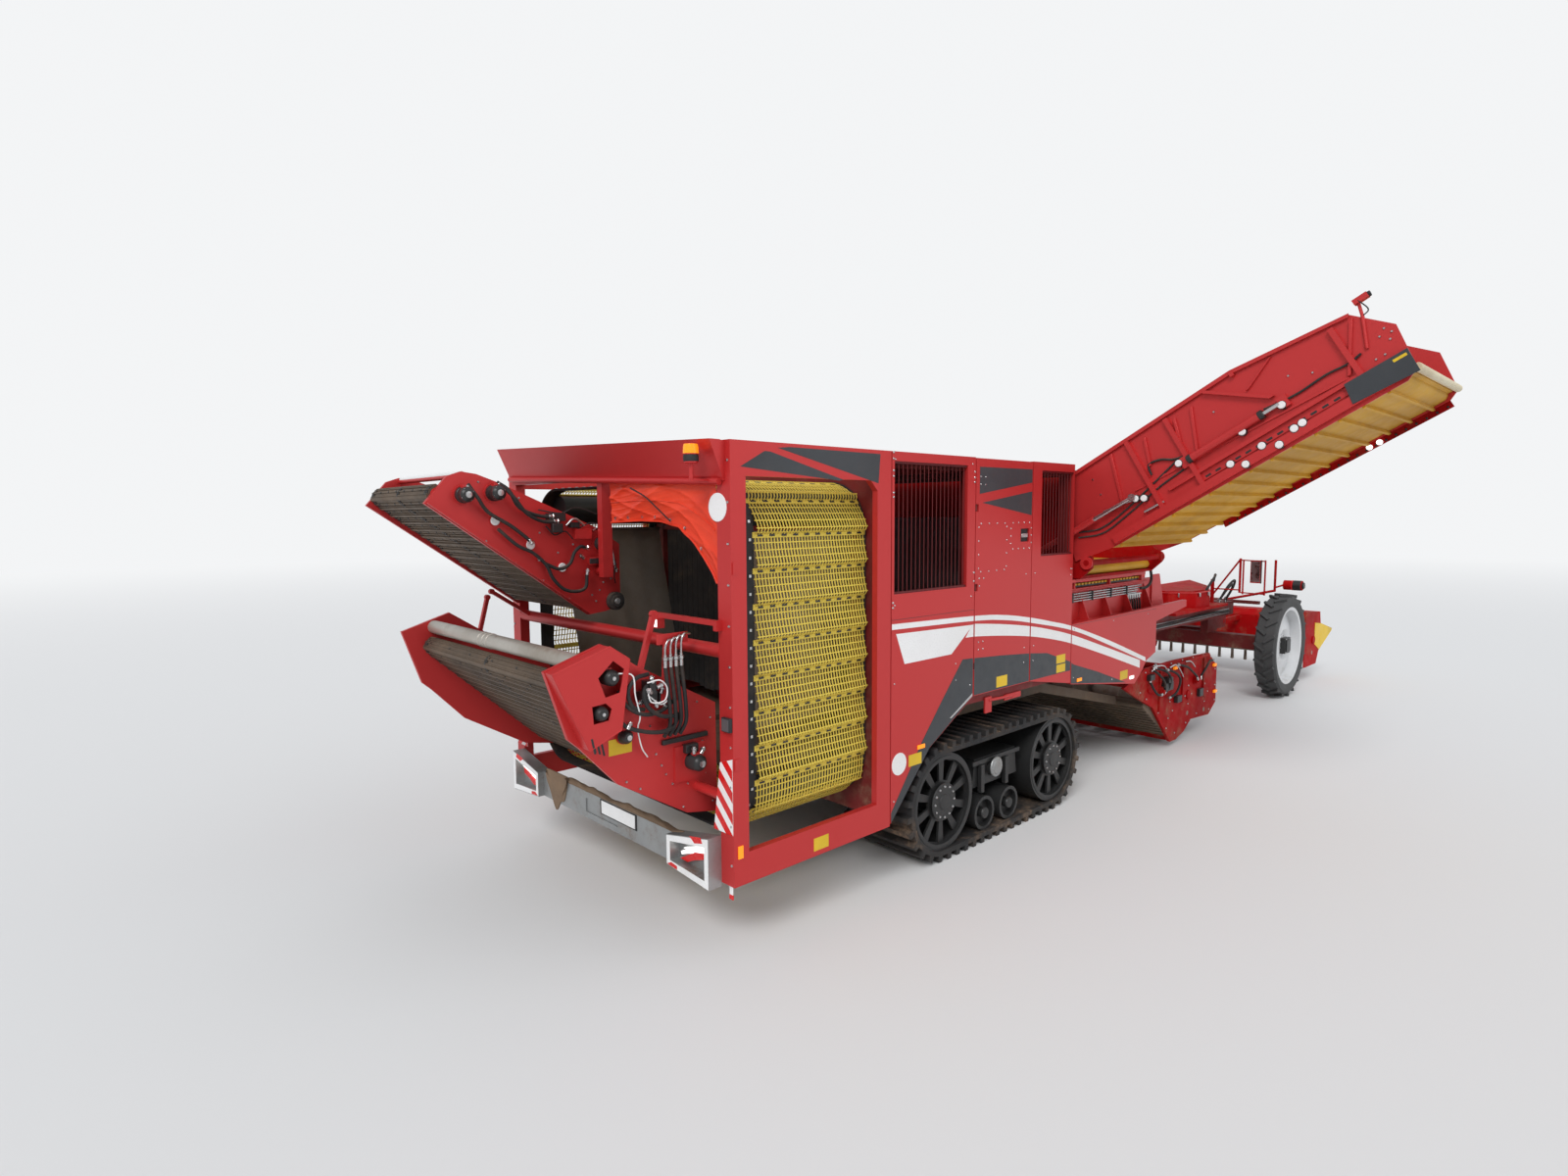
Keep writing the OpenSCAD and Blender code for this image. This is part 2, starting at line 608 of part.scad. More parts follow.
// Tarpaulin over the right rear
tarp_y = -post_y1 + rear_post + seat;
module tarpaulin() color(red)
    plate_x([[tarp_y, 2835], [-1620, 2960], [-1400, 3200], [-1185, 3346], [-700, 3395], [-145, 3381],
             [-145, body_top - 230 - seat], [tarp_y, body_top - 230 - seat]], 20, 60);

// Rear conveyors: cheeks that carry a belt on rollers, each tilting about its shaft
upper_pivot = [rear_post / 2, 2950];
lower_pivot = [rear_post / 2, 1255];
upper_slope = 36.2;
lower_slope = 42.5;
upper_outline = [[-1492, 3552], [-1306, 3771], [-1190, 3812], [-1063, 3795], [-880, 3730], [60, 3330],
                 [280, 3180], [280, 2600], [120, 2560], [-60, 2540]];
lower_outline = [[-1260, 2363], [-803, 2509], [-500, 2310], [240, 1915], [250, 1000], [-60, 1060],
                 [-688, 1433], [-1003, 1771], [-1090, 1850]];
belt_r = 60;
upper_foot = [-60, 2665];
upper_run = [upper_foot + 1620 * [-cos(upper_slope), sin(upper_slope)], upper_foot];
lower_run = [lower_pivot + 1400 * [-cos(lower_slope), sin(lower_slope)],
             lower_pivot + 115 * [cos(lower_slope), -sin(lower_slope)]];
module conveyor_cheeks(outline, run, pivot, y0, ye, r) {
    for (y = [y0, ye - cheek_t]) difference() {
        plate_y(outline, y, y + cheek_t);
        bar_y(shaft_r + run_fit, y - 1, y + cheek_t + 1, pivot[0], pivot[1]);
    }
    for (p = run) bar_y(r, y0 + cheek_t, ye - cheek_t, p[0], p[1]);
}
// Drum motor: body, cap and port block, on the outer face y of a cheek and pointing to -Y
module motor(p, y, r, l) {
    bar_y(r, y - l, y, p[0], p[1]);
    bar_y(0.6 * r, y - l - 25, y - l, p[0], p[1]);
    bar_y(1.25 * r, y - 18, y, p[0], p[1]);
    block(p[0] - 0.5 * r, p[0] + 0.5 * r, y - 0.8 * l, y - 0.35 * l, p[1] + 0.7 * r, p[1] + 1.3 * r);
}
module upper_conveyor() color(red) {
    conveyor_cheeks(upper_outline, upper_run, upper_pivot, upper_y0, upper_y0 + upper_w, belt_r);
    // Flange along the lower edge, bearing caps, motors, valve and support wheel
    flange_v = [upper_outline[9][0], upper_outline[9][1]] - upper_outline[0];
    translate([upper_outline[0][0], 0, upper_outline[0][1]])
        rotate([0, -atan2(flange_v[1], flange_v[0]), 0])
            block(12, norm(flange_v) - 12, upper_y0 - 45, upper_y0, 6, 16);
    for (p = [[-923, 3409], [-614, 3198], [-319, 2988]]) bar_y(42, upper_y0 - 16, upper_y0, p[0], p[1]);
    motor([-1186, 3622], upper_y0, 62, 110);
    motor([-930, 3640], upper_y0, 62, 130);
    motor([70, 3190], upper_y0, 58, 60);
    block(-60, 120, upper_y0 - 70, upper_y0, 3000, 3070);
    block(-200, -40, upper_y0 - 60, upper_y0, 3240, 3330);
    bar_y(78, upper_y0 - 60, upper_y0, 206, 2650);
    // Tube over the belt's head
    bar_y(20, upper_y0 + cheek_t, upper_y0 + upper_w - cheek_t, -1180, 3775);
}
// Box of folded sheet round the lower conveyor's drive, open to its motors
drive_box = [[-1255, 2360], [-803, 2505], [-640, 2395], [-720, 1880], [-985, 1775]];
module lower_conveyor() color(red) {
    conveyor_cheeks(lower_outline, lower_run, lower_pivot, -lower_y0, lower_w - lower_y0, belt_r);
    y = -lower_y0;
    difference() {
        plate_y(drive_box, y - 120, y);
        plate_y([for (p = drive_box) [-900, 2180] + 0.95 * (p - [-900, 2180])], y - 112, y + 1);
        plate_y([[-905, 2290], [-780, 2400], [-690, 2330], [-730, 2160], [-850, 2140]], y - 130, y - 100);
        plate_y([[-960, 2090], [-850, 2100], [-800, 2050], [-830, 1970], [-950, 1960]], y - 130, y - 100);
    }
    motor([-790, 2275], y, 52, 85);
    motor([-880, 2025], y, 46, 85);
    motor([-640, 1800], y, 50, 60);
    motor([-20, 1485], y, 62, 130);
    block(-180, 120, y - 14, y, 1330, 1620);
    // Tube over the belt, and the moving halves of the linkages
    bar_y(60, y + cheek_t, lower_w - lower_y0 - cheek_t, -960, 2385);
    strut_y([-470, 2260], [-335, 2690], 20, y, y + 36);
    strut_y([-500, 2290], [-410, 2630], 18, lower_w - lower_y0 - cheek_t, lower_w - lower_y0);
}
module tilted_loop(run, r, t, y0, ye) {
    d = run[1] - run[0];
    a = norm(d);
    translate([run[0][0], ye, run[0][1]]) rotate([0, -atan2(d[1], d[0]), 0]) rotate([90, 0, 0])
        linear_extrude(ye - y0) difference() {
            lugged(a, r + t, floor(belt_length(a, r + t) / 110), 0.3, 14);
            stadium(a, r);
        }
}
module upper_belt() color(soil)
    tilted_loop(upper_run, belt_r + seat, 14, upper_y0 + cheek_t + 2, upper_y0 + upper_w - cheek_t - 2);
module lower_belt() color(soil)
    tilted_loop(lower_run, belt_r + seat, 14, -lower_y0 + cheek_t + 2, lower_w - lower_y0 - cheek_t - 2);

// Low bonnet ahead of the tall body, one panel on each side
module bonnet_panel() {
    plate_y([[x4 + panel_gap, 1430], [6850, 1190], [7080, 1350], [7190, 1460], [bonnet_x - 30, 1540],
             [bonnet_x - 30, 1965], [bonnet_x + 970, 2090], [bonnet_x + 970, 2185], [x4 + panel_gap, 2140]],
            -side_y, -post_y1);
    // Shelf and recessed wall above it
    block(x4 + panel_gap, bonnet_x + 300, -post_y1, -1600, 2100, 2130);
    block(x4 + panel_gap, bonnet_x + 300, -1640, -1600, 2130, 2540);
    plate_y([[bonnet_x + 240, 2130], [bonnet_x + 640, 2130], [bonnet_x + 480, 2580], [bonnet_x + 240, 2580]],
            -1660, -1640);
    for (x = [5700:600:7500]) plate_x([[-1780, 2130], [-1640, 2130], [-1640, 2480]], x, x + 12);
    bar_x(18, x4 + panel_gap, bonnet_x + 240, -1660, 2520);
}

// Bunker: an open tub whose right end hands over to the discharge elevator
tub_t = 40;
module bunker_tub() color(red) {
    for (x = [bunker_x0, bunker_x1 - tub_t])
        plate_x([[side_y - 150, bunker_floor], [side_y - 150, body_top - 60], [-side_y + 60, body_top - 60],
                 [-side_y - 20, 3000], [-side_y - 20, bunker_floor]], x, x + tub_t);
    block(bunker_x0 + tub_t, bunker_x1 - tub_t, side_y - 150 - tub_t, side_y - 150,
          bunker_floor, body_top - 60);
    block(bunker_x0 + tub_t, bunker_x1 - tub_t, -side_y - 20, side_y - 150 - tub_t,
          bunker_floor, bunker_floor + 30);
    // Pivot tube of the elevator, held in two ears
    for (x = [bunker_x0, bunker_x1 - tub_t])
        plate_x([[-side_y - 20, bunker_floor], [-side_y - 20, 3000], [-arm_pivot_y - 60, arm_pivot_z + 60],
                 [-arm_pivot_y - 60, arm_pivot_z - 60]], x, x + tub_t);
    bar_x(arm_pin_r, bunker_x0 - 10 - arm_wall_t, bunker_x1 + 10 + arm_wall_t, -arm_pivot_y, arm_pivot_z);
    // Pins of the lift cylinders' bases
    bar_x(lift_pin_r, arm_x - lift_gap - 30, bunker_x0, lift_base[0], lift_base[1]);
    bar_x(lift_pin_r, bunker_x1, arm_x1 + lift_gap + 30, lift_base[0], lift_base[1]);
}
module bunker_belt() color(yellow)
    translate([bunker_x0 + tub_t + 5, -side_y + 60, bunker_floor + 30 + 60]) rotate([90, 0, 90])
        linear_extrude(bunker_w - 2 * tub_t - 10)
            stadium(2 * side_y - 330, 60);

// Discharge elevator, drawn level and then raised about its pivot
arm_x1 = bunker_x1 + 10 + arm_wall_t;
arm_wall = [[0.11, 0.0], [0.955, -0.02], [0.985, 0.04], [1.0, 0.476], [0.93, 0.80], [0.64, 0.975],
            [0.10, 1.0], [0.04, 0.9], [0.0, 0.5], [-0.03, 0.08]];
module raise_arm() translate([0, -arm_pivot_y, arm_pivot_z]) rotate([-arm_angle, 0, 0]) children();
function arm_pt(p) = [-p[0] * arm_l, p[1] * arm_wall_h];
module elevator_arm() color(red) raise_arm() {
    for (x = [arm_x, arm_x1 - arm_wall_t]) difference() {
        union() {
            plate_x([for (p = arm_wall) arm_pt(p)], x, x + arm_wall_t);
            bar_x(75, x, x + arm_wall_t, 0, 0);
        }
        bar_x(arm_pin_r + run_fit, x - 1, x + arm_wall_t + 1, 0, 0);
    }
    // Bottom beams and ribs on the outer faces
    for (sgn = [-1, 1]) {
        xo = sgn < 0 ? arm_x - 50 : arm_x1;
        block(xo, xo + 50, -0.95 * arm_l, -0.12 * arm_l, 20, 110);
        for (k = [[0.30, 0.94], [0.43, 0.92], [0.885, 0.76]])
            block(xo, xo + 50, -k[0] * arm_l - 25, -k[0] * arm_l + 25, 110, k[1] * arm_wall_h);
        plate_x([arm_pt([0.55, 0.93]), arm_pt([0.563, 0.93]), arm_pt([0.70, 0.50]), arm_pt([0.686, 0.50])],
                xo, xo + 50);
        // Extending cylinder with its eyes, and the slide's rail
        xm = sgn < 0 ? arm_x - 50 : arm_x1 + 50;
        bar_y(42, -0.655 * arm_l, -0.43 * arm_l, xm, 0.40 * arm_wall_h);
        bar_y(20, -0.70 * arm_l, -0.655 * arm_l, xm, 0.40 * arm_wall_h);
        for (k = [0.42, 0.71])
            block(xo, xo + 50, -k * arm_l - 45, -k * arm_l + 45, 0.34 * arm_wall_h, 0.46 * arm_wall_h);
        block(xo + 10, xo + 40, -0.88 * arm_l, -0.34 * arm_l, 0.22 * arm_wall_h, 0.26 * arm_wall_h);
        // Rolled lip of the wall's upper edge
        plate_x([arm_pt([0.11, 0.995]), arm_pt([0.11, 0.955]), arm_pt([0.64, 0.93]), arm_pt([0.93, 0.76]),
                 arm_pt([0.935, 0.79]), arm_pt([0.64, 0.97])], xo + 15, xo + 35);
        block(xo, xo + 50, -0.64 * arm_l - 20, -0.64 * arm_l + 20, 0.90 * arm_wall_h, 0.95 * arm_wall_h);
    }
    // Camera on its arm at the tip of the rear wall
    camera_x = arm_x - 12;
    bar([camera_x, -0.925 * arm_l, 0.42 * arm_wall_h], [camera_x, -0.955 * arm_l, 0.70 * arm_wall_h], 16);
    bar([camera_x, -0.955 * arm_l, 0.70 * arm_wall_h], [camera_x, -0.965 * arm_l, 0.84 * arm_wall_h], 14);
    block(camera_x - 35, camera_x + 35, -0.99 * arm_l, -0.955 * arm_l, 0.82 * arm_wall_h, 0.87 * arm_wall_h);
    // Cross members that carry the belt's bed, and the head roller
    for (k = [0.16, 0.36, 0.58, 0.78])
        block(arm_x + arm_wall_t + seat, arm_x1 - arm_wall_t - seat, -k * arm_l - 30, -k * arm_l + 30, 60, 100);
    for (k = [0.105, 0.94])
        bar_x(belt_r, arm_x + arm_wall_t + seat, arm_x1 - arm_wall_t - seat, -k * arm_l, 80);
}
module elevator_belt() color(yellow) raise_arm()
    translate([arm_x + arm_wall_t + 5, -0.94 * arm_l, 80]) rotate([90, 0, 90])
        linear_extrude(arm_x1 - arm_x - 2 * arm_wall_t - 10) difference() {
            lugged(0.835 * arm_l, belt_r + seat + 16, 30, 0.15, 40);
            stadium(0.835 * arm_l, belt_r + seat);
        }

// Lift cylinders beside the elevator's walls
lift_base = [-1350, 2960];
lift_eye = [-2500, 3610];
lift_gap = 65;
lift_pin_r = 20;
lift_r = 38;
lift_rod_r = 22;
lift_v = lift_eye - lift_base;
lift_len = norm(lift_v);
lift_angle = atan2(lift_v[1], -lift_v[0]);
module along_lift() translate([0, lift_base[0], lift_base[1]]) rotate([-lift_angle, 0, 0]) children();
lift_x = [arm_x - lift_gap, arm_x1 + lift_gap];
module lift_barrels() color(grey) for (x = lift_x) along_lift() translate([x, 0, 0])
    difference() {
        union() {
            rotate([90, 0, 0]) cylinder(r = lift_r, h = 0.62 * lift_len);
            rotate([0, 90, 0]) translate([0, 0, -25]) cylinder(r = 48, h = 50);
        }
        rotate([90, 0, 0]) translate([0, 0, 80]) cylinder(r = lift_rod_r + run_fit, h = lift_len);
        rotate([0, 90, 0]) translate([0, 0, -50]) cylinder(r = lift_pin_r + run_fit, h = 100);
    }
module lift_rods() color(silver) for (x = lift_x) along_lift() translate([x, 0, 0]) {
    rotate([90, 0, 0]) translate([0, 0, 0.5 * lift_len]) cylinder(r = lift_rod_r, h = 0.5 * lift_len);
    translate([-25, -lift_len, 0]) rotate([0, 90, 0]) cylinder(r = 40, h = 50);
}

// Digging unit: side plates, cross tubes, shares, ridge rollers and disc coulters
row_n = 4;
roller_axle = [9600, 370];
disc_axle = [8960, 420];
share_tip = [8790, 62];
share_top = [8440, 190];
share_t = 14;
digger_y = digger_w / 2;
digger_in = digger_y - 40;
digger_side = [[digger_pivot_x - 550, 1110], [7436, 1290], [8400, 1290], [9740, 1245], [10080, 1000],
               [10080, 420], [9800, 255], [9100, 300], [8850, 160], [8560, 85], [8350, 90], [7730, 700],
               [7250, 900]];
module digger_frame() color(red) {
    both_sides() {
        difference() {
            plate_y(digger_side, -digger_y, -digger_in);
            bar_y(35 + run_fit, -digger_y - 1, -digger_in + 1, roller_axle[0], roller_axle[1]);
            bar_y(35 + run_fit, -digger_y - 1, -digger_in + 1, disc_axle[0], disc_axle[1]);
        }
        // Stiffening ribs, bearing flanges and the drive of the digging web
        for (x = [7900, 8700, 9500]) block(x, x + 40, -digger_y - 25, -digger_y, 620, 1200);
        for (q = [[9600, 640], [8960, 700], [7600, 1000]]) bar_y(70, -digger_y - 18, -digger_y, q[0], q[1]);
        motor([7950, 900], -digger_y, 55, 45);
        motor([9200, 900], -digger_y, 60, 50);
        block(7700, 9700, -digger_y - 30, -digger_y, 1210, 1245);
    }
    bar_y(shaft_r, -digger_in, digger_in, digger_pivot_x, digger_pivot_z);
    for (p = [[9880, 880], [9300, 1000], [8300, 1050]]) bar_y(60, -digger_in, digger_in, p[0], p[1]);
    // Beam that the shares are bolted to
    plate_y([[share_top[0] - 40, 92], [share_top[0] + 30, 92], [share_top[0] + 30, share_under(30)],
             [share_top[0] - 40, share_under(0)]], -digger_in, digger_in);
}
function share_under(d) = share_top[1] - share_t
    - d * (share_top[1] - share_t - share_tip[1]) / (share_tip[0] - 2 * share_t - share_top[0]);
share_half_w = 0.4 * row_pitch / 2;
module digger_shares() color(silver) for (i = [0:2 * row_n - 1])
    let (y = (i - row_n + 0.5) * row_pitch / 2)
    plate_y([share_tip, share_top, share_top - [0, share_t], share_tip - [2 * share_t, 0]],
            y - share_half_w, y + share_half_w);
// Digging web behind the shares: a belt of rods round two shafts
web_foot = share_top + [-130, 60];
web_head = [7560, 760];
web_r = 55;
module digger_web() color(soil) {
    d = web_foot - web_head;
    translate([web_head[0], digger_in - 2, web_head[1]]) rotate([0, -atan2(d[1], d[0]), 0]) rotate([90, 0, 0])
        linear_extrude(2 * digger_in - 4) lugged(norm(d), web_r, 22, 0.3, 14);
    for (q = [web_foot, web_head]) bar_y(30, -digger_in + seat, digger_in - seat, q[0], q[1]);
}
// Ridge rollers: waisted shells with end discs on one axle
module ridge_rollers() color(grey) {
    bar_y(35, -digger_y, digger_y, roller_axle[0], roller_axle[1]);
    for (i = [0:row_n - 1])
        translate([roller_axle[0], (i - (row_n - 1) / 2) * row_pitch, roller_axle[1]])
            rotate([90, 0, 0]) rotate_extrude($fn = 40)
                polygon([[30, -310], [ridge_roller_r, -310], [ridge_roller_r, -280], [190, -60],
                         [190, 60], [ridge_roller_r, 280], [ridge_roller_r, 310], [30, 310], [30, 296],
                         [ridge_roller_r - 20, 296], [ridge_roller_r - 20, 274], [176, 56], [176, -56],
                         [ridge_roller_r - 20, -274], [ridge_roller_r - 20, -296], [30, -296]]);
}
disc_r = 290;
module disc_coulters() color(grey) {
    bar_y(35, -digger_y, digger_y, disc_axle[0], disc_axle[1]);
    for (i = [0:row_n])
        translate([disc_axle[0], (i - row_n / 2) * row_pitch, disc_axle[1]])
            rotate([90, 0, 0]) translate([0, 0, -6]) difference() {
                cylinder(r = disc_r, h = 12, $fn = 48);
                translate([0, 0, -1]) cylinder(r = 35 + seat, h = 14);
            }
}

// Cab at the left front, hollow with window openings
cab_y1 = side_y - 40;
cab_y0 = cab_y1 - cab_w;
cab_z = 1890;
cab_x1 = cab_x + cab_l;
cab_z1 = cab_z + cab_h;
door_x0 = cab_x + 780;
door_x1 = cab_x1 - 90;
module cab_shell() color(red) {
    difference() {
        block(cab_x, cab_x1, cab_y0, cab_y1, cab_z, cab_z1);
        block(cab_x + cab_t, cab_x1 - cab_t, cab_y0 + cab_t, cab_y1 - cab_t, cab_z + 60, cab_z1 - 110);
        // Windscreen, rear window, right and left side windows, door opening
        block(cab_x1 - cab_t - 1, cab_x1 + 1, cab_y0 + 90, cab_y1 - 90, cab_z + 200, cab_z1 - 160);
        block(cab_x - 1, cab_x + cab_t + 1, cab_y0 + 160, cab_y1 - 160, cab_z + 700, cab_z1 - 200);
        block(cab_x + 120, cab_x1 - 120, cab_y0 - 1, cab_y0 + cab_t + 1, cab_z + 500, cab_z1 - 160);
        block(cab_x + 120, door_x0 - 90, cab_y1 - cab_t - 1, cab_y1 + 1, cab_z + 500, cab_z1 - 160);
        block(door_x0, door_x1, cab_y1 - cab_t - 1, cab_y1 + 1, cab_z + 60, cab_z1 - 130);
    }
    hinge_on_left(door_x0 + clear) hinge_fixed(0, cab_y1, cab_hinges);
    // Ears and pin of the ladder
    for (x = [door_x0 - 40, door_x1 + 10]) block(x, x + 30, ladder_y - 20, ladder_y + 20, ladder_z - 20, cab_z);
    bar_x(ladder_pin_r, door_x0 - 40, door_x1 + 40, ladder_y, ladder_z);
    // Mounts down to the neck beam
    for (x = [cab_x + 150, cab_x1 - 300])
        block(x, x + 150, neck_y0, rail_y, rail_z + rail_h, cab_z);
}
glass_t = 6;
module cab_glass() color([0.6, 0.75, 0.8, 0.4]) {
    block(cab_x1 - 40, cab_x1 - 40 + glass_t, cab_y0 + 90, cab_y1 - 90, cab_z + 200, cab_z1 - 160);
    block(cab_x + 34, cab_x + 34 + glass_t, cab_y0 + 160, cab_y1 - 160, cab_z + 700, cab_z1 - 200);
    block(cab_x + 120, cab_x1 - 120, cab_y0 + 34, cab_y0 + 34 + glass_t, cab_z + 500, cab_z1 - 160);
    block(cab_x + 120, door_x0 - 90, cab_y1 - 40, cab_y1 - 40 + glass_t, cab_z + 500, cab_z1 - 160);
}
// Hinges: barrels on a face at Y = -face, the pins on the fixed half
hinge_r = 18;
hinge_pin_r = 9;
hinge_l = 54;
module hinge_fixed(x, face, heights) for (z = heights) {
    bar_z(hinge_r, z - hinge_l - clear, z - clear, x, -face - hinge_r);
    block(x - 60, x, -face - hinge_r, -face, z - hinge_l - clear, z - clear);
    bar_z(hinge_pin_r, z - clear - 1, z + hinge_l + 4, x, -face - hinge_r);
}
module hinge_moving(x, face, heights) for (z = heights) difference() {
    union() {
        bar_z(hinge_r, z, z + hinge_l, x, -face - hinge_r);
        block(x, x + 60, -face - hinge_r, -face, z, z + hinge_l);
    }
    bar_z(hinge_pin_r + run_fit, z - 1, z + hinge_l + 1, x, -face - hinge_r);
}
cab_hinges = [cab_z + 350, cab_z + 1250];
module hinge_on_left(x) translate([x, 0, 0]) mirror([0, 1, 0]) children();
module cab_door() color(red) {
    difference() {
        block(door_x0 + 2 * clear, door_x1 - clear, cab_y1 - 50, cab_y1,
              cab_z + 60 + clear, cab_z1 - 130 - clear);
        block(door_x0 + 80, door_x1 - 80, cab_y1 - 60, cab_y1 + 5, cab_z + 500, cab_z1 - 220);
    }
    hinge_on_left(door_x0 + clear) hinge_moving(0, cab_y1, cab_hinges);
}
module cab_interior() color(black) {
    block(cab_x + 300, cab_x + 800, 700, 1200, cab_z + 60, cab_z + 520);
    block(cab_x + 250, cab_x + 380, 720, 1180, cab_z + 520, cab_z + 1150);
    block(cab_x + 270, cab_x + 350, 800, 1100, cab_z + 1150, cab_z + 1330);
    // Steering column with its wheel, and the armrest console
    block(cab_x1 - 500, cab_x1 - 340, 870, 1030, cab_z + 60, cab_z + 90);
    bar([cab_x1 - 424, 950, cab_z + 80], [cab_x1 - 566, 950, cab_z + 815], 40);
    translate([cab_x1 - 566, 950, cab_z + 815]) rotate([0, -11, 0]) {
        rotate_extrude($fn = 36) translate([190, 0]) circle(r = 16, $fn = 12);
        for (a = [0:120:240]) rotate([0, 0, a]) translate([0, -12, -8]) cube([190, 24, 16]);
    }
    block(cab_x + 480, cab_x + 1000, 560, 680, cab_z + 60, cab_z + 700);
}
ladder_y = cab_y1 - 40;
ladder_z = cab_z - 45;
ladder_pin_r = 12;
module cab_ladder() color(grey) {
    for (x = [door_x0, door_x1 - 30]) difference() {
        union() {
            block(x, x + 30, ladder_y - 20, ladder_y + 20, 620, ladder_z);
            bar_x(20, x, x + 30, ladder_y, ladder_z);
        }
        bar_x(ladder_pin_r + run_fit, x - 1, x + 31, ladder_y, ladder_z);
    }
    for (z = [640:300:1600]) block(door_x0 + 30, door_x1 - 30, ladder_y - 60, ladder_y + 20, z, z + 30);
}

// Deck, rails and mirror ahead of the cab, on the right of it
deck_top = rail_z + rail_h + 40;
tank_h = 260;
tank = [[10700, -680], [11030, -1020], [11560, -1050], [12590, -630], [13770, 150], [13260, 150],
        [11860, 120], [10700, 120]];
mirror_x = axle_x - 1104;
post_y = -830;
arm_y = -1293;
lamp_at = [14620, -1340, 1990];
module front_deck() color(red) {
    block(cab_x, cab_x + 2300, -1120, cab_y0 - 20, rail_z + rail_h, deck_top);
    // Tank with a six-sided cover
    translate([0, 0, deck_top]) {
        linear_extrude(tank_h) polygon(tank);
        translate([0, 0, tank_h]) linear_extrude(24) offset(delta = -90) polygon(tank);
    }
    // Posts, stay and frame that hold the mirror out to the right
    block(mirror_x - 25, mirror_x + 25, post_y - 25, post_y + 25, rail_z + rail_h + seat, 2210);
    bar([mirror_x, post_y, 1915], [mirror_x, arm_y, 2596], 16);
    bar([mirror_x, arm_y, 1990], [mirror_x, arm_y, 2610], 20);
    bar([mirror_x, post_y, 2040], [mirror_x, arm_y, 2040], 12);
    for (z = [1985, 2570]) bar([mirror_x, arm_y, z + 10], [mirror_x, -1700, z], 11);
    for (y = [-1345, -1700]) bar([mirror_x, y, 1965], [mirror_x, y, 2590], 14);
    block(mirror_x - 30, mirror_x + 14, -1635, -1470, 2180, 2585);
    // Post and lamp barrel ahead of the wheel
    block(pylon_x1 - 110, pylon_x1 + 10, -530, -480 - seat, 1640, 1745);
    bar([pylon_x1 - 40, -520, 1700], [14190, -1300, 1900], 24);
    bar([14190, -1300, 1880], [14190, -1300, 2500], 22);
    bar([14190, -1300, 1960], lamp_at, 18);
    bar_y(95, lamp_at[1] - 320, lamp_at[1], lamp_at[0], lamp_at[2]);
    bar_y(60, lamp_at[1] - 350, lamp_at[1] - 320, lamp_at[0], lamp_at[2]);
}
// Round bar between two points
module bar(a, b, r) {
    d = b - a;
    translate(a) rotate([0, acos(d[2] / norm(d)), atan2(d[1], d[0])]) cylinder(r = r, h = norm(d));
}

// Front axle, steering knuckles and wheels
axle_z = tyre_r;
wheel_y = side_y - tyre_w / 2;
module front_axle() color(red) {
    both_sides() difference() {
        union() {
            block(axle_x - 110, axle_x + 110, -kingpin_y + 30, 0, axle_z - 130, axle_z + 130);
            bar_z(72, axle_z - 130, axle_z + 130, axle_x, -kingpin_y);
        }
        bar_z(kingpin_r + run_fit, axle_z - 140, axle_z + 140, axle_x, -kingpin_y);
    }
}
module knuckle() color(grey) {
    bar_z(kingpin_r, axle_z - 136, axle_z + 136, axle_x, -kingpin_y);
    for (s = [-1, 1])
        translate([0, 0, axle_z + s * 156 - 20]) linear_extrude(40)
            translate([axle_x, -kingpin_y]) { circle(r = 75); translate([-75, -110]) square([150, 110]); }
    block(axle_x - 75, axle_x + 75, -kingpin_y - 110, -kingpin_y - 80, axle_z - 136, axle_z + 136);
    bar_y(spindle_r, -wheel_y - 20, -kingpin_y - 110, axle_x, axle_z);
}
module knuckle_right() knuckle();
module knuckle_left() mirror([0, 1, 0]) knuckle();
module rim() color(silver) translate([axle_x, -wheel_y, axle_z]) rotate([90, 0, 0])
    rotate_extrude($fn = 72) polygon([[spindle_r + run_fit, -20], [200, -20], [300, 40], [640, -60],
        [650, -130], [rim_r, -150], [rim_r, -140], [680, -120], [680, 120], [rim_r, 140], [rim_r, 150],
        [660, 140], [650, -20], [300, 60], [200, 20], [spindle_r + run_fit, 20]]);
module rim_right() rim();
module rim_left() mirror([0, 1, 0]) rim();
module tyre() color(rubber) translate([axle_x, -wheel_y, axle_z]) rotate([90, 0, 0]) {
    rotate_extrude($fn = 72) polygon([[rim_r + seat, -150], [800, -tyre_w / 2 + 2], [870, -tyre_w / 2],
        [910, -tyre_w / 2 + 30], [tyre_r - 38, 0], [910, tyre_w / 2 - 30], [870, tyre_w / 2],
        [800, tyre_w / 2 - 2], [rim_r + seat, 150]]);
    intersection() {
        cylinder(r = tyre_r, h = tyre_w, center = true, $fn = 72);
        union() for (i = [0:tyre_lug_n - 1], s = [-1, 1])
            rotate([0, 0, (i + (s > 0 ? 0.5 : 0)) * 360 / tyre_lug_n]) translate([tyre_r - 60, 0, 0])
                rotate([s * 38, 0, 0]) translate([0, -22, s > 0 ? -10 : -200]) cube([70, 44, 210]);
    }
}
module tyre_right() tyre();
module tyre_left() mirror([0, 1, 0]) tyre();

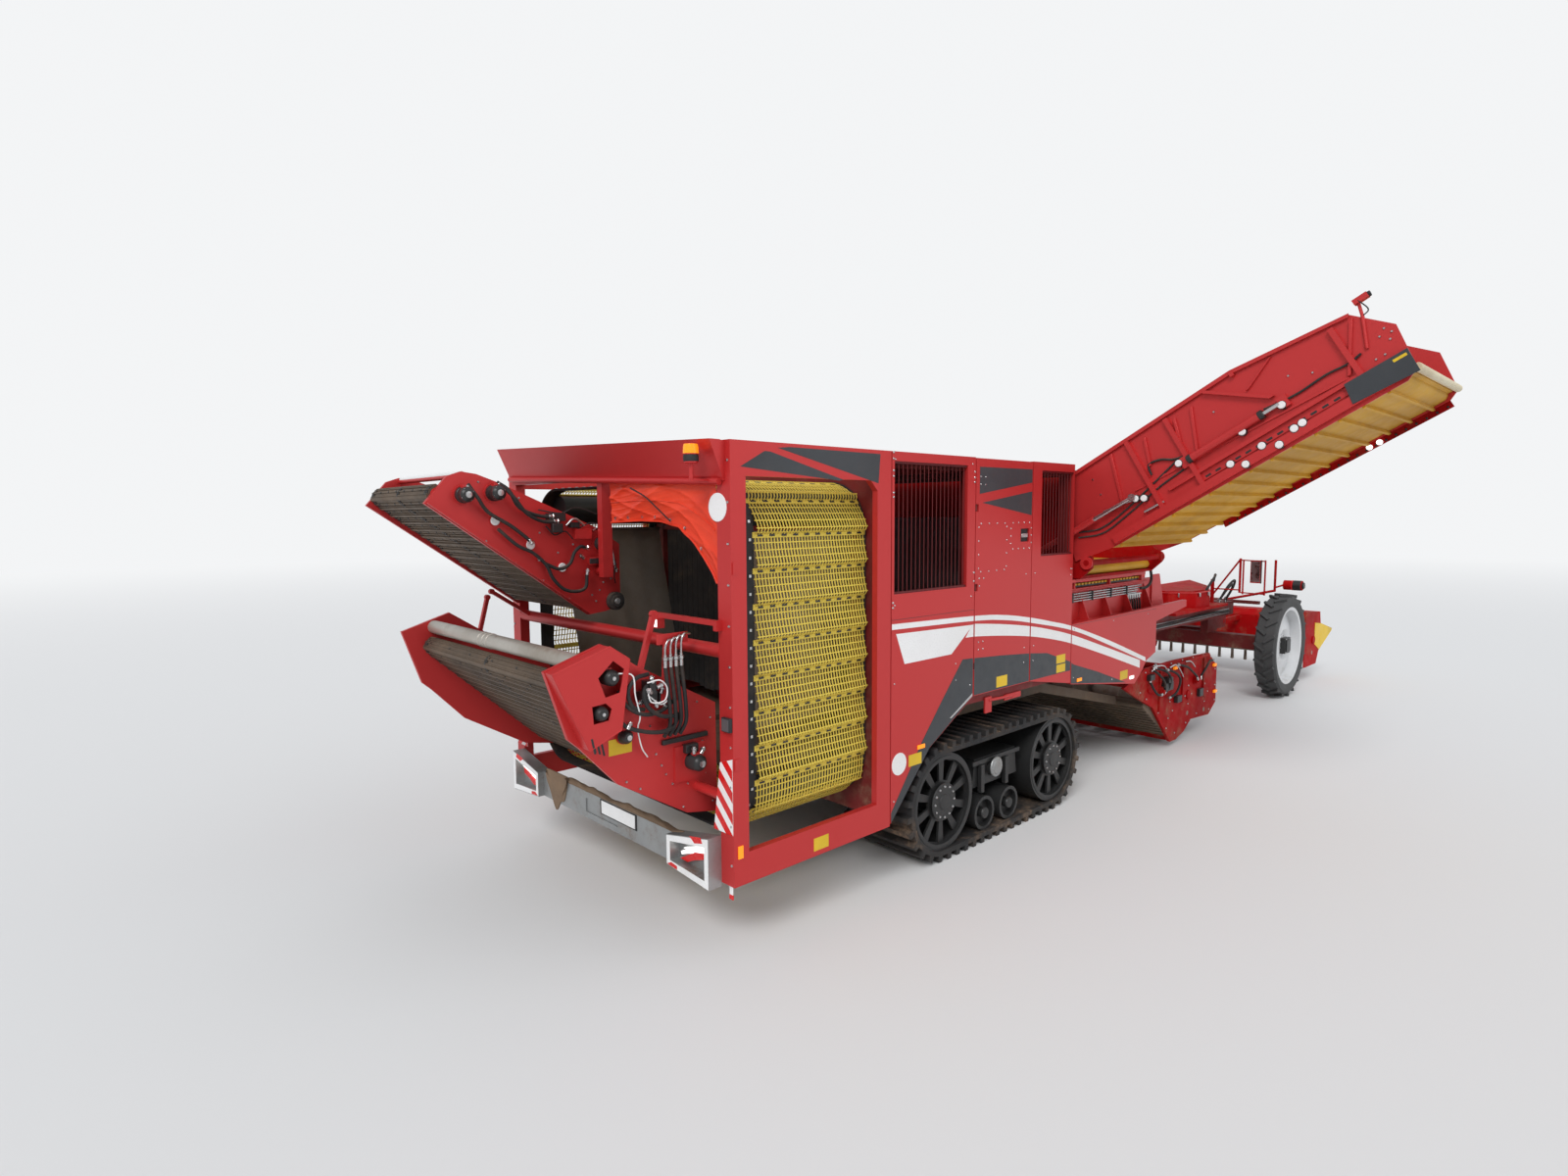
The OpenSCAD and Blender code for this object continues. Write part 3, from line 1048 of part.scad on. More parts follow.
// Haulm topper ahead of the wheels: arms, hood and rotor
topper_pivot_x = axle_x + 560;
topper_pivot_z = 1250;
topper_x = 15500;
topper_z = 560;
topper_y = topper_w / 2;
topper_side = [[topper_x - 500, 300], [topper_x - 500, 1300], [topper_x - 370, 1420], [topper_x + 460, 1370],
               [topper_x + 530, 1120], [topper_x + 1350, 940], [topper_x + 1330, 880], [topper_x + 460, 560],
               [topper_x + 300, 300]];
module topper_hood() color(red) {
    both_sides() {
        block(topper_pivot_x - 60, topper_x - 490, -430, -380, 1180, 1280);
        difference() {
            plate_y(topper_side, -topper_y, -topper_y + 20);
            bar_y(40 + run_fit, -topper_y - 1, -topper_y + 21, topper_x, topper_z);
        }
        bar_y(80, -topper_y - 25, -topper_y, topper_x + 20, topper_z + 260);
    }
    // Hood of folded sheet over the rotor
    plate_y([[topper_x - 480, 700], [topper_x - 480, 1290], [topper_x - 362, 1398], [topper_x + 436, 1350],
             [topper_x + 500, 1120], [topper_x + 530, 1120], [topper_x + 460, 1370], [topper_x - 370, 1420],
             [topper_x - 500, 1300], [topper_x - 500, 700]], -topper_y + 20, topper_y - 20);
    bar_y(shaft_r, -480, 480, topper_pivot_x, topper_pivot_z);
}
flail_rows = 4;
module topper_rotor() color(grey) {
    bar_y(40, -topper_y, topper_y, topper_x, topper_z);
    bar_y(90, -topper_y + 40, topper_y - 40, topper_x, topper_z);
    flail_pitch = (2 * topper_y - 160) / flail_n;
    for (row = [0:flail_rows - 1], i = [0:flail_n - 1])
        translate([topper_x, -topper_y + 80 + (i + 0.25 + row / (2 * flail_rows)) * flail_pitch, topper_z])
            rotate([0, row * 360 / flail_rows, 0])
                plate_y([[70, -14], [150, -14], [rotor_r, -30], [rotor_r, 34], [150, 14], [70, 14]], 0, 50);
}

// The layout is moved so that its origin is under the middle of its box
rear_reach = upper_outline[0][0];
front_reach = topper_side[5][0];
tip = arm_wall[2];
right_reach = -arm_pivot_y - tip[0] * arm_l * cos(arm_angle) + tip[1] * arm_wall_h * sin(arm_angle);
mid_x = (front_reach + rear_reach) / 2;
mid_y = (side_y + right_reach) / 2;
module placed() translate([-mid_x, -mid_y, 0]) children();

placed() {
    main_frame();
    rear_side_frames();
    body_panels();
    louvres();
    engine_block();
    service_door_right();
    service_door_left();
    ring_web();
    ring_rollers();
    sieve_web();
    rear_bumper();
    tarpaulin();
    upper_conveyor();
    upper_belt();
    lower_conveyor();
    lower_belt();
    track_belts();
    track_wheels();
    track_frames();
    bunker_tub();
    bunker_belt();
    elevator_arm();
    elevator_belt();
    lift_barrels();
    lift_rods();
    digger_frame();
    digger_shares();
    digger_web();
    ridge_rollers();
    disc_coulters();
    cab_shell();
    cab_glass();
    cab_door();
    cab_interior();
    cab_ladder();
    front_deck();
    front_axle();
    knuckle_right();
    knuckle_left();
    rim_right();
    tyre_right();
    rim_left();
    tyre_left();
    topper_hood();
    topper_rotor();
}
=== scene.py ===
"""Looks of a self-propelled four-row potato harvester.

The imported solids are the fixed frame. This script gives every one of them a painted, rubber or
metal finish, adds the fine pieces that the solids leave out, and sets the floor, light and camera.
Places are given in machine coordinates, in metres: X from the rear face of the tall body
forwards, Y from the middle to the left, Z from the ground. Frame.at() moves them to the row's own.
"""
import logging
import math
from dataclasses import dataclass, field
from enum import Enum

import bmesh
import bpy
import numpy as np
from mathutils import Matrix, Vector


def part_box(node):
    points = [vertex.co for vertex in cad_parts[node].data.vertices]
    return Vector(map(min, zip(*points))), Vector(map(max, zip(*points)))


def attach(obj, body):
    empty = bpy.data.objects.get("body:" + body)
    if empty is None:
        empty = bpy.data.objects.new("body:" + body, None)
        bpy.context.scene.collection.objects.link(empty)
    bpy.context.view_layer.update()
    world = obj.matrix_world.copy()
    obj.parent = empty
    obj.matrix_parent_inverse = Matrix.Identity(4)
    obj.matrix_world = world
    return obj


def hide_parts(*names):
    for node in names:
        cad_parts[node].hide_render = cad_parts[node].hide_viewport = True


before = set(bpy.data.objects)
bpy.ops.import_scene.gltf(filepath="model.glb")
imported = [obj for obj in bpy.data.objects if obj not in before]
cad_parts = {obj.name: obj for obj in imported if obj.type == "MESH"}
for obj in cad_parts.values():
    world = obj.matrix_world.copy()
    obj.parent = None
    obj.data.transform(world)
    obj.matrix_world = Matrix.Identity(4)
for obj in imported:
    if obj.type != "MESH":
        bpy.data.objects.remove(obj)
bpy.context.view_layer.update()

LOG = logging.getLogger("harvester")
Array = np.ndarray
Point = tuple[float, float, float]
Colour = tuple[float, float, float]


class Axis(Enum):
    """The axis that a bar or a plate's thickness runs along."""

    X = 0
    Y = 1
    Z = 2


@dataclass(frozen=True)
class Frame:
    """Where the machine's own zero lies in the row's frame."""

    x: float
    y: float

    def at(self, points: Array) -> Array:
        """Machine points moved to the row's frame."""
        return np.asarray(points, float) + np.array([self.x, self.y, 0.0])


SIDE = 1.85
HERE = Frame(x=float(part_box("rear_bumper")[1].x), y=float(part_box("body_panels")[0].y) + SIDE)


# ---------------------------------------------------------------- shapes

@dataclass(frozen=True)
class Shape:
    """A mesh as whole arrays: corner points, and faces with equal corner counts in each block."""

    points: Array
    blocks: tuple[Array, ...]

    def turned(self, axis: Axis, degrees: float, about: Point = (0.0, 0.0, 0.0)) -> "Shape":
        """The shape turned about an axis through a point, by the right-hand rule."""
        turn = np.array(Matrix.Rotation(math.radians(degrees), 3, axis.name))
        base = np.array(about)
        return Shape((self.points - base) @ turn.T + base, self.blocks)

    def mirrored(self) -> "Shape":
        """The shape on the machine's other side, with its faces turned to point outwards."""
        return Shape(self.points * np.array([1.0, -1.0, 1.0]), tuple(b[:, ::-1] for b in self.blocks))

    def repeated(self, places: Array, turns: Array | None = None) -> "Shape":
        """One copy at each place, each turned by its own 3x3 matrix if turns are given.

        Args:
            places: N points.
            turns: N rotation matrices, or None.

        Returns:
            The N copies as one shape.
        """
        places = np.atleast_2d(np.asarray(places, float))
        count, size = len(places), len(self.points)
        local = np.broadcast_to(self.points, (count, size, 3)) if turns is None else np.einsum(
            "nij,pj->npi", turns, self.points)
        step = (np.arange(count) * size)[:, None, None]
        return Shape((local + places[:, None, :]).reshape(-1, 3),
                     tuple((b[None] + step).reshape(-1, b.shape[1]) for b in self.blocks))


def joined(*shapes: Shape) -> Shape:
    """Several shapes as one, without welding them."""
    starts = np.cumsum([0] + [len(s.points) for s in shapes])
    blocks = [b + start for s, start in zip(shapes, starts) for b in s.blocks]
    return Shape(np.vstack([s.points for s in shapes]), tuple(blocks))


def on_side(shape: Shape, side: str) -> Shape:
    """A shape made for the right side: as it is there, mirrored for the left side."""
    return shape if side == "right" else shape.mirrored()


def grid(points: Array, around: bool = False, caps: bool = False) -> Shape:
    """A surface over two parameters.

    Args:
        points: U x V x 3 corners, with the outside on the left of V when U runs ahead.
        around: closes the surface in V.
        caps: closes both ends in U with one face each.

    Returns:
        Quads between neighbouring corners.
    """
    rows, cols = points.shape[:2]
    index = np.arange(rows * cols).reshape(rows, cols)
    nxt = np.roll(index, -1, axis=1) if around else index[:, 1:]
    cur = index if around else index[:, :-1]
    quads = np.stack([cur[:-1], nxt[:-1], nxt[1:], cur[1:]], axis=-1).reshape(-1, 4)
    blocks = [quads]
    if caps:
        blocks += [index[0][::-1][None], index[-1][None]]
    return Shape(points.reshape(-1, 3), tuple(blocks))


def prism(outline: Array, low: float, high: float, axis: Axis = Axis.Y) -> Shape:
    """A flat outline pushed along an axis: the plane's two coordinates stay, the third runs low to high.

    Args:
        outline: N x 2, the other two coordinates in the order X, Y, Z.
        low: where the plate starts on the axis.
        high: where it ends.
        axis: the axis of its thickness.
    """
    flat = np.asarray(outline, float)
    area = 0.5 * np.sum(flat[:, 0] * np.roll(flat[:, 1], -1) - np.roll(flat[:, 0], -1) * flat[:, 1])
    sign = -1.0 if axis is Axis.Y else 1.0
    flat = flat[::-1] if area * sign < 0 else flat
    rest = [i for i in range(3) if i != axis.value]
    rows = np.zeros((2, len(flat), 3))
    rows[:, :, rest] = flat
    rows[0, :, axis.value], rows[1, :, axis.value] = low, high
    return grid(rows, around=True, caps=True)


def box(x0: float, x1: float, y0: float, y1: float, z0: float, z1: float) -> Shape:
    """A block by its six faces."""
    return prism(np.array([[x0, y0], [x1, y0], [x1, y1], [x0, y1]]), z0, z1, Axis.Z)


def turned_form(profile: Array, centre: Point, axis: Axis, segments: int = 32, bored: bool = False) -> Shape:
    """A surface of revolution: each profile point (radius, place along the axis) sweeps a circle.

    Args:
        profile: N x 2, from the front face to the back one.
        centre: the point of the axis that the places are counted from.
        axis: the axis of turning.
        segments: faces around.
        bored: closes the profile on itself, which makes a ring, instead of capping both ends.
    """
    profile = np.asarray(profile, float)
    turn = np.linspace(0, 2 * np.pi, segments, endpoint=False)
    a, b = [(1, 2), (2, 0), (0, 1)][axis.value]
    rows = np.zeros((len(profile), segments, 3))
    rows[:, :, a] = profile[:, :1] * np.cos(turn)
    rows[:, :, b] = profile[:, :1] * np.sin(turn)
    rows[:, :, axis.value] = profile[:, 1:]
    rows = rows + np.array(centre)
    if bored:
        return grid(np.concatenate([rows, rows[:1]]), around=True)
    return grid(rows, around=True, caps=True)


def rod(radius: float, start: Point, end: Point, segments: int = 12, edge: float = 0.0) -> Shape:
    """A straight round bar between two points, with its rims broken by a small chamfer."""
    start, end = np.array(start, float), np.array(end, float)
    length = float(np.linalg.norm(end - start))
    along = (end - start) / length
    edge = edge or 0.12 * radius
    ring = np.array([[radius - edge, 0], [radius, edge], [radius, length - edge], [radius - edge, length]])
    base = turned_form(ring, (0, 0, 0), Axis.Z, segments)
    side = np.cross(along, [0.0, 0.0, 1.0]) if abs(along[2]) < 0.9 else np.cross(along, [1.0, 0.0, 0.0])
    side /= np.linalg.norm(side)
    turn = np.stack([side, np.cross(along, side), along], axis=1)
    return Shape(base.points @ turn.T + start, base.blocks)


def smooth_path(knots: Array, steps: int = 8) -> Array:
    """A Catmull-Rom curve through the knots: each span is the cubic whose ends have the slopes of
    their neighbours' chords."""
    knots = np.asarray(knots, float)
    padded = np.vstack([2 * knots[0] - knots[1], knots, 2 * knots[-1] - knots[-2]])
    p0, p1, p2, p3 = (padded[i:len(padded) - 3 + i][:, None] for i in range(4))
    t = np.linspace(0, 1, steps, endpoint=False)[None, :, None]
    curve = 0.5 * (2 * p1 + (p2 - p0) * t + (2 * p0 - 5 * p1 + 4 * p2 - p3) * t ** 2
                   + (3 * p1 - p0 - 3 * p2 + p3) * t ** 3)
    return np.vstack([curve.reshape(-1, knots.shape[1]), knots[-1:]])


def pipe(knots: Array, radius: float, segments: int = 10, steps: int = 8) -> Shape:
    """A round section carried along a smooth path; its frame turns about the path's mean plane."""
    path = smooth_path(knots, steps)
    along = np.gradient(path, axis=0)
    along /= np.linalg.norm(along, axis=1, keepdims=True)
    spread = path - path.mean(axis=0)
    normal = np.linalg.svd(spread)[2][2]
    side = np.cross(along, normal)
    side /= np.maximum(np.linalg.norm(side, axis=1, keepdims=True), 1e-6)
    other = np.cross(along, side)
    turn = np.linspace(0, 2 * np.pi, segments, endpoint=False)
    rows = (path[:, None] + radius * (np.cos(turn)[None, :, None] * side[:, None]
                                      + np.sin(turn)[None, :, None] * other[:, None]))
    return grid(rows, around=True, caps=True)


# ---------------------------------------------------------------- finishes

class Relief(Enum):
    """The fine relief of a finish."""

    NONE = "none"
    ORANGE_PEEL = "orange peel"
    GRAIN = "grain"
    BRUSHED = "brushed"
    CREASED = "creased"


@dataclass(frozen=True)
class Finish:
    """A surface finish worked out from noise on Object coordinates.

    Attributes:
        name: plain name of the finish.
        colour: main colour.
        second: colour that large soft patches drift towards.
        rough: roughness of the clean surface.
        metal: metallic share.
        coat: clear coat over paint.
        soil: how much dried soil lies on it, from 0 to 1.
        low: height in metres under which soil splashes grow.
        relief: kind of fine relief.
        depth: strength of the relief.
        glow: strength of its own light.
        alpha: how solid it is.
        shine: strength of the mirror-like share, 0.5 for plain paint.
    """

    name: str
    colour: Colour
    second: Colour | None = None
    rough: float = 0.4
    metal: float = 0.0
    coat: float = 0.0
    soil: float = 0.2
    low: float = 1.3
    relief: Relief = Relief.ORANGE_PEEL
    depth: float = 0.05
    glow: float = 0.0
    alpha: float = 1.0
    shine: float = 0.4

    def material(self) -> bpy.types.Material:
        """The Blender material of the finish, made once."""
        found = bpy.data.materials.get(self.name)
        if found:
            return found
        made = bpy.data.materials.new(self.name)
        made.use_nodes = True
        Nodes(made).dress(self)
        return made


SOIL = (0.19, 0.125, 0.08)


class Nodes:
    """Builds the node tree of one finish."""

    def __init__(self, material: bpy.types.Material) -> None:
        """Takes the tree of a new material and its shader."""
        self.tree = material.node_tree
        self.shader = self.tree.nodes["Principled BSDF"]
        self.place = self.tree.nodes.new("ShaderNodeTexCoord").outputs["Object"]

    def noise(self, scale: float, detail: float = 4.0, rough: float = 0.55,
              stretch: Point | None = None) -> bpy.types.NodeSocket:
        """Value noise on Object coordinates, stretched along the axes if asked."""
        place = self.place
        if stretch:
            mapping = self.tree.nodes.new("ShaderNodeMapping")
            mapping.inputs["Scale"].default_value = stretch
            self.tree.links.new(self.place, mapping.inputs["Vector"])
            place = mapping.outputs["Vector"]
        node = self.tree.nodes.new("ShaderNodeTexNoise")
        node.inputs["Scale"].default_value = scale
        node.inputs["Detail"].default_value = detail
        node.inputs["Roughness"].default_value = rough
        self.tree.links.new(place, node.inputs["Vector"])
        return node.outputs["Fac"]

    def ramp(self, value: bpy.types.NodeSocket, low: float, high: float, bottom: float = 0.0,
             top: float = 1.0) -> bpy.types.NodeSocket:
        """The value carried smoothly from low..high to bottom..top."""
        node = self.tree.nodes.new("ShaderNodeMapRange")
        node.interpolation_type = "SMOOTHSTEP"
        for name, number in (("From Min", low), ("From Max", high), ("To Min", bottom), ("To Max", top)):
            node.inputs[name].default_value = number
        self.tree.links.new(value, node.inputs["Value"])
        return node.outputs["Result"]

    def maths(self, kind: str, first: bpy.types.NodeSocket, second: bpy.types.NodeSocket | float
              ) -> bpy.types.NodeSocket:
        """One arithmetic step between two values, held within 0 and 1."""
        node = self.tree.nodes.new("ShaderNodeMath")
        node.operation, node.use_clamp = kind, True
        self.tree.links.new(first, node.inputs[0])
        if isinstance(second, float):
            node.inputs[1].default_value = second
        else:
            self.tree.links.new(second, node.inputs[1])
        return node.outputs[0]

    def mixed(self, share: bpy.types.NodeSocket, first: bpy.types.NodeSocket | Colour,
              second: bpy.types.NodeSocket | Colour) -> bpy.types.NodeSocket:
        """Two colours mixed by a share."""
        node = self.tree.nodes.new("ShaderNodeMix")
        node.data_type = "RGBA"
        self.tree.links.new(share, node.inputs["Factor"])
        for socket, value in ((node.inputs[6], first), (node.inputs[7], second)):
            if isinstance(value, tuple):
                socket.default_value = (*value, 1.0)
            else:
                self.tree.links.new(value, socket)
        return node.outputs[2]

    def soil_mask(self, finish: Finish) -> bpy.types.NodeSocket:
        """Where dried soil lies: on upward faces, low down, and in patches of noise."""
        tree = self.tree
        normal = tree.nodes.new("ShaderNodeNewGeometry")
        up = tree.nodes.new("ShaderNodeSeparateXYZ")
        tree.links.new(normal.outputs["Normal"], up.inputs[0])
        height = tree.nodes.new("ShaderNodeSeparateXYZ")
        tree.links.new(self.place, height.inputs[0])
        patches = self.ramp(self.noise(3.1, 8.0, 0.68), 0.46, 0.74)
        flats = self.ramp(up.outputs["Z"], 0.35, 0.95, 0.0, 0.75)
        low = self.ramp(height.outputs["Z"], finish.low, 0.25, 0.0, 0.8)
        where = self.maths("ADD", self.maths("MAXIMUM", flats, low), 0.22)
        fine = self.ramp(self.noise(23.0, 6.0, 0.7), 0.36, 0.62, 0.35, 1.0)
        mask = self.maths("MULTIPLY", self.maths("MULTIPLY", where, patches), fine)
        return self.maths("MULTIPLY", mask, min(1.0, 2.2 * finish.soil))

    def dress(self, finish: Finish) -> None:
        """Links colour, roughness, soil and relief to the shader."""
        tree, shader = self.tree, self.shader
        second = finish.second or tuple(0.78 * c for c in finish.colour)
        drift = self.ramp(self.noise(0.9, 5.0), 0.35, 0.7)
        colour = self.mixed(drift, finish.colour, second)
        speck = self.ramp(self.noise(60.0, 3.0, 0.7), 0.5, 0.78, 0.0, 0.35)
        colour = self.mixed(speck, colour, tuple(0.6 * c for c in finish.colour))
        soil = self.soil_mask(finish)
        tint = self.mixed(self.ramp(self.noise(9.0, 5.0), 0.3, 0.7), SOIL, tuple(1.5 * c for c in SOIL))
        tree.links.new(self.mixed(soil, colour, tint), shader.inputs["Base Color"])
        streak = self.ramp(self.noise(7.0, 5.0, 0.6), 0.3, 0.7, finish.rough - 0.06, finish.rough + 0.1)
        node = tree.nodes.new("ShaderNodeMix")
        node.data_type = "FLOAT"
        tree.links.new(soil, node.inputs["Factor"])
        tree.links.new(streak, node.inputs[2])
        node.inputs[3].default_value = 0.93
        tree.links.new(node.outputs[0], shader.inputs["Roughness"])
        shader.inputs["Metallic"].default_value = finish.metal
        shader.inputs["Specular IOR Level"].default_value = finish.shine
        shader.inputs["Coat Weight"].default_value = finish.coat
        shader.inputs["Coat Roughness"].default_value = 0.12
        shader.inputs["Alpha"].default_value = finish.alpha
        if finish.glow:
            shader.inputs["Emission Color"].default_value = (*finish.colour, 1.0)
            shader.inputs["Emission Strength"].default_value = finish.glow
        self.relief(finish, soil)

    def relief(self, finish: Finish, soil: bpy.types.NodeSocket) -> None:
        """Bump from the finish's own relief and from the thickness of the soil on it."""
        scale, stretch = {
            Relief.NONE: (90.0, None),
            Relief.ORANGE_PEEL: (160.0, None),
            Relief.GRAIN: (70.0, None),
            Relief.BRUSHED: (120.0, (1.0, 0.06, 1.0)),
            Relief.CREASED: (2.6, (1.0, 1.0, 0.5)),
        }[finish.relief]
        fine = self.noise(scale, 3.0, 0.6, stretch)
        bump = self.tree.nodes.new("ShaderNodeBump")
        bump.inputs["Strength"].default_value = max(0.01, finish.depth)
        bump.inputs["Distance"].default_value = 0.004
        self.tree.links.new(fine, bump.inputs["Height"])
        crust = self.tree.nodes.new("ShaderNodeBump")
        crust.inputs["Strength"].default_value = 0.35
        crust.inputs["Distance"].default_value = 0.006
        self.tree.links.new(soil, crust.inputs["Height"])
        self.tree.links.new(bump.outputs["Normal"], crust.inputs["Normal"])
        self.tree.links.new(crust.outputs["Normal"], self.shader.inputs["Normal"])


PAINT = Finish("red_paint", (0.50, 0.0008, 0.0012), (0.40, 0.0006, 0.001), rough=0.5, soil=0.05,
               shine=0.05)
PAINT_DIRTY = Finish("red_paint_worn", (0.40, 0.003, 0.004), (0.27, 0.003, 0.004), rough=0.55,
                     soil=0.45, low=2.2, shine=0.08)
FRAME_PAINT = Finish("frame_paint", (0.20, 0.010, 0.010), (0.11, 0.010, 0.009), rough=0.55, soil=0.6, low=2.4)
SLATS = Finish("louvre_slats", (0.13, 0.006, 0.008), rough=0.5, soil=0.15)
CHARCOAL = Finish("charcoal_film", (0.045, 0.05, 0.056), rough=0.42, soil=0.12, low=1.0)
WHITE_FILM = Finish("white_film", (0.86, 0.86, 0.86), (0.80, 0.80, 0.79), rough=0.4, soil=0.08, low=0.9)
YELLOW_LABEL = Finish("yellow_label", (0.80, 0.53, 0.02), rough=0.45, soil=0.15, low=0.9)
WEB_YELLOW = Finish("web_yellow", (0.80, 0.52, 0.015), (0.62, 0.40, 0.02), rough=0.5, soil=0.25, low=1.4)
BELT_YELLOW = Finish("belt_yellow", (0.66, 0.36, 0.02), (0.50, 0.26, 0.02), rough=0.6, soil=0.4, low=2.6)
WEB_STEEL = Finish("web_rods", (0.16, 0.115, 0.08), (0.10, 0.075, 0.055), rough=0.6, metal=0.35, soil=0.6, low=2.0)
RUBBER = Finish("rubber", (0.018, 0.018, 0.019), (0.032, 0.028, 0.026), rough=0.72, soil=0.42, low=1.1,
                relief=Relief.GRAIN, depth=0.12)
TYRE_RUBBER = Finish("tyre_rubber", (0.020, 0.019, 0.019), (0.05, 0.042, 0.036), rough=0.78, soil=0.9, low=2.9,
                     relief=Relief.GRAIN, depth=0.14)
BLACK = Finish("black_paint", (0.020, 0.021, 0.023), (0.035, 0.033, 0.032), rough=0.42, soil=0.35, low=1.4)
BLACK_PLASTIC = Finish("black_plastic", (0.022, 0.022, 0.024), rough=0.55, soil=0.12, relief=Relief.GRAIN, depth=0.1)
ZINC = Finish("galvanised_steel", (0.42, 0.43, 0.43), (0.30, 0.31, 0.31), rough=0.45, metal=0.75, soil=0.6, low=1.4,
              relief=Relief.GRAIN, depth=0.08)
STEEL = Finish("bright_steel", (0.62, 0.62, 0.62), rough=0.26, metal=1.0, soil=0.12, relief=Relief.BRUSHED, depth=0.05)
SOILED_STEEL = Finish("soiled_steel", (0.30, 0.26, 0.22), (0.20, 0.15, 0.11), rough=0.5, metal=0.6, soil=0.8, low=3.0)
RIM_PAINT = Finish("rim_enamel", (0.62, 0.63, 0.64), (0.54, 0.54, 0.54), rough=0.35, coat=0.3, soil=0.3, low=1.2)
GREY = Finish("grey_paint", (0.13, 0.135, 0.14), rough=0.5, soil=0.4)
PALE_STEEL = Finish("pale_roller_steel", (0.52, 0.49, 0.44), (0.36, 0.32, 0.27), rough=0.4, metal=0.55, soil=0.35,
                    low=2.8, relief=Relief.BRUSHED)
CREAM = Finish("cream_roller", (0.74, 0.66, 0.46), (0.62, 0.52, 0.34), rough=0.5, soil=0.3, low=3.0)
SEAT_CLOTH = Finish("seat_cloth", (0.045, 0.047, 0.052), (0.07, 0.07, 0.075), rough=0.9, soil=0.0,
                    relief=Relief.GRAIN, depth=0.35)
TARP = Finish("tarpaulin_cloth", (0.80, 0.06, 0.02), (0.62, 0.02, 0.010), rough=0.4, soil=0.10, shine=0.35,
              relief=Relief.CREASED, depth=0.5)
GLASS = Finish("cab_glass", (0.16, 0.22, 0.22), rough=0.08, soil=0.03, relief=Relief.NONE, depth=0.01, alpha=0.35)
# On the lamps this glow is lamp light; on the amber reflector, which is no lamp, the same glow is painted light.
AMBER = Finish("amber_lens", (0.95, 0.28, 0.01), rough=0.2, soil=0.03, glow=0.6)
# On the red lamps this glow is lamp light; on the warning boards' red bands and the corner straps' red tips, which are
# no lamps, the same glow is painted light.
RED_LENS = Finish("red_lens", (0.60, 0.01, 0.01), rough=0.2, soil=0.05, glow=0.15)
LAMP_WHITE = Finish("lamp_lens", (0.95, 0.95, 0.92), rough=0.15, soil=0.02, glow=1.6)
SOIL_HEAP = Finish("soil_heap", (0.17, 0.115, 0.075), (0.25, 0.17, 0.11), rough=0.95, soil=0.2,
                   relief=Relief.GRAIN, depth=0.6)

NODE_FINISH: dict[str, Finish] = {
    "main_frame": FRAME_PAINT, "rear_side_frames": PAINT, "body_panels": PAINT, "louvres": SLATS,
    "engine_block": GREY, "service_door_right": PAINT, "service_door_left": PAINT, "ring_web": WEB_YELLOW,
    "ring_rollers": BLACK, "sieve_web": WEB_STEEL, "rear_bumper": ZINC, "tarpaulin": TARP,
    "upper_conveyor": PAINT, "upper_belt": WEB_STEEL, "lower_conveyor": PAINT, "lower_belt": WEB_STEEL,
    "track_belts": RUBBER, "track_wheels": BLACK, "track_frames": BLACK, "bunker_tub": PAINT_DIRTY,
    "bunker_belt": BELT_YELLOW, "elevator_arm": PAINT, "elevator_belt": BELT_YELLOW, "lift_barrels": PAINT,
    "lift_rods": STEEL, "digger_frame": PAINT_DIRTY, "digger_shares": SOILED_STEEL, "digger_web": WEB_STEEL,
    "ridge_rollers": SOILED_STEEL, "disc_coulters": SOILED_STEEL, "cab_shell": PAINT, "cab_glass": GLASS,
    "cab_door": PAINT, "cab_interior": BLACK_PLASTIC, "cab_ladder": BLACK, "front_deck": PAINT_DIRTY,
    "front_axle": FRAME_PAINT, "knuckle_right": BLACK, "knuckle_left": BLACK, "rim_right": RIM_PAINT,
    "tyre_right": TYRE_RUBBER, "rim_left": RIM_PAINT, "tyre_left": TYRE_RUBBER, "topper_hood": PAINT_DIRTY,
    "topper_rotor": SOILED_STEEL,
}


# ---------------------------------------------------------------- pieces

@dataclass
class Workshop:
    """Makes Blender objects of shapes and hangs them on the machine's bodies."""

    made: list[str] = field(default_factory=list)

    def piece(self, name: str, shape: Shape, finish: Finish, body: str = "chassis", bevel: float = 0.0,
              smooth: bool = False) -> bpy.types.Object:
        """One object of a shape in machine coordinates.

        Args:
            name: the piece's name.
            shape: its mesh.
            finish: its surface.
            body: the body that it rides on.
            bevel: width of a bevel that breaks its edges, in metres.
            smooth: shades it smooth where faces meet at less than 40 degrees.

        Returns:
            The new object.
        """
        mesh = bpy.data.meshes.new(name)
        faces = [tuple(face) for block in shape.blocks for face in block.tolist()]
        mesh.from_pydata(HERE.at(shape.points).tolist(), [], faces)
        skin = bmesh.new()
        skin.from_mesh(mesh)
        if smooth:
            bmesh.ops.remove_doubles(skin, verts=skin.verts, dist=1e-6)
        bmesh.ops.recalc_face_normals(skin, faces=skin.faces)
        skin.to_mesh(mesh)
        skin.free()
        mesh.materials.append(finish.material())
        if smooth or bevel:
            mesh.shade_smooth()
            mesh.set_sharp_from_angle(angle=math.radians(40))
        made = bpy.data.objects.new(name, mesh)
        bpy.context.scene.collection.objects.link(made)
        if bevel:
            edge = made.modifiers.new("edges", "BEVEL")
            edge.width, edge.segments, edge.limit_method = bevel, 2, "ANGLE"
        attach(made, body)
        self.made.append(name)
        LOG.info("%s on %s: %d faces", name, body, len(faces))
        return made


class Paintwork:
    """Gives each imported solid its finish."""

    def dress(self) -> None:
        """Assigns every node's finish to its material slots."""
        for name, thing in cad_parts.items():
            finish = NODE_FINISH[name].material()
            thing.data.materials.clear()
            thing.data.materials.append(finish)
            LOG.info("%s: %s", name, finish.name)


# ---------------------------------------------------------------- side panels

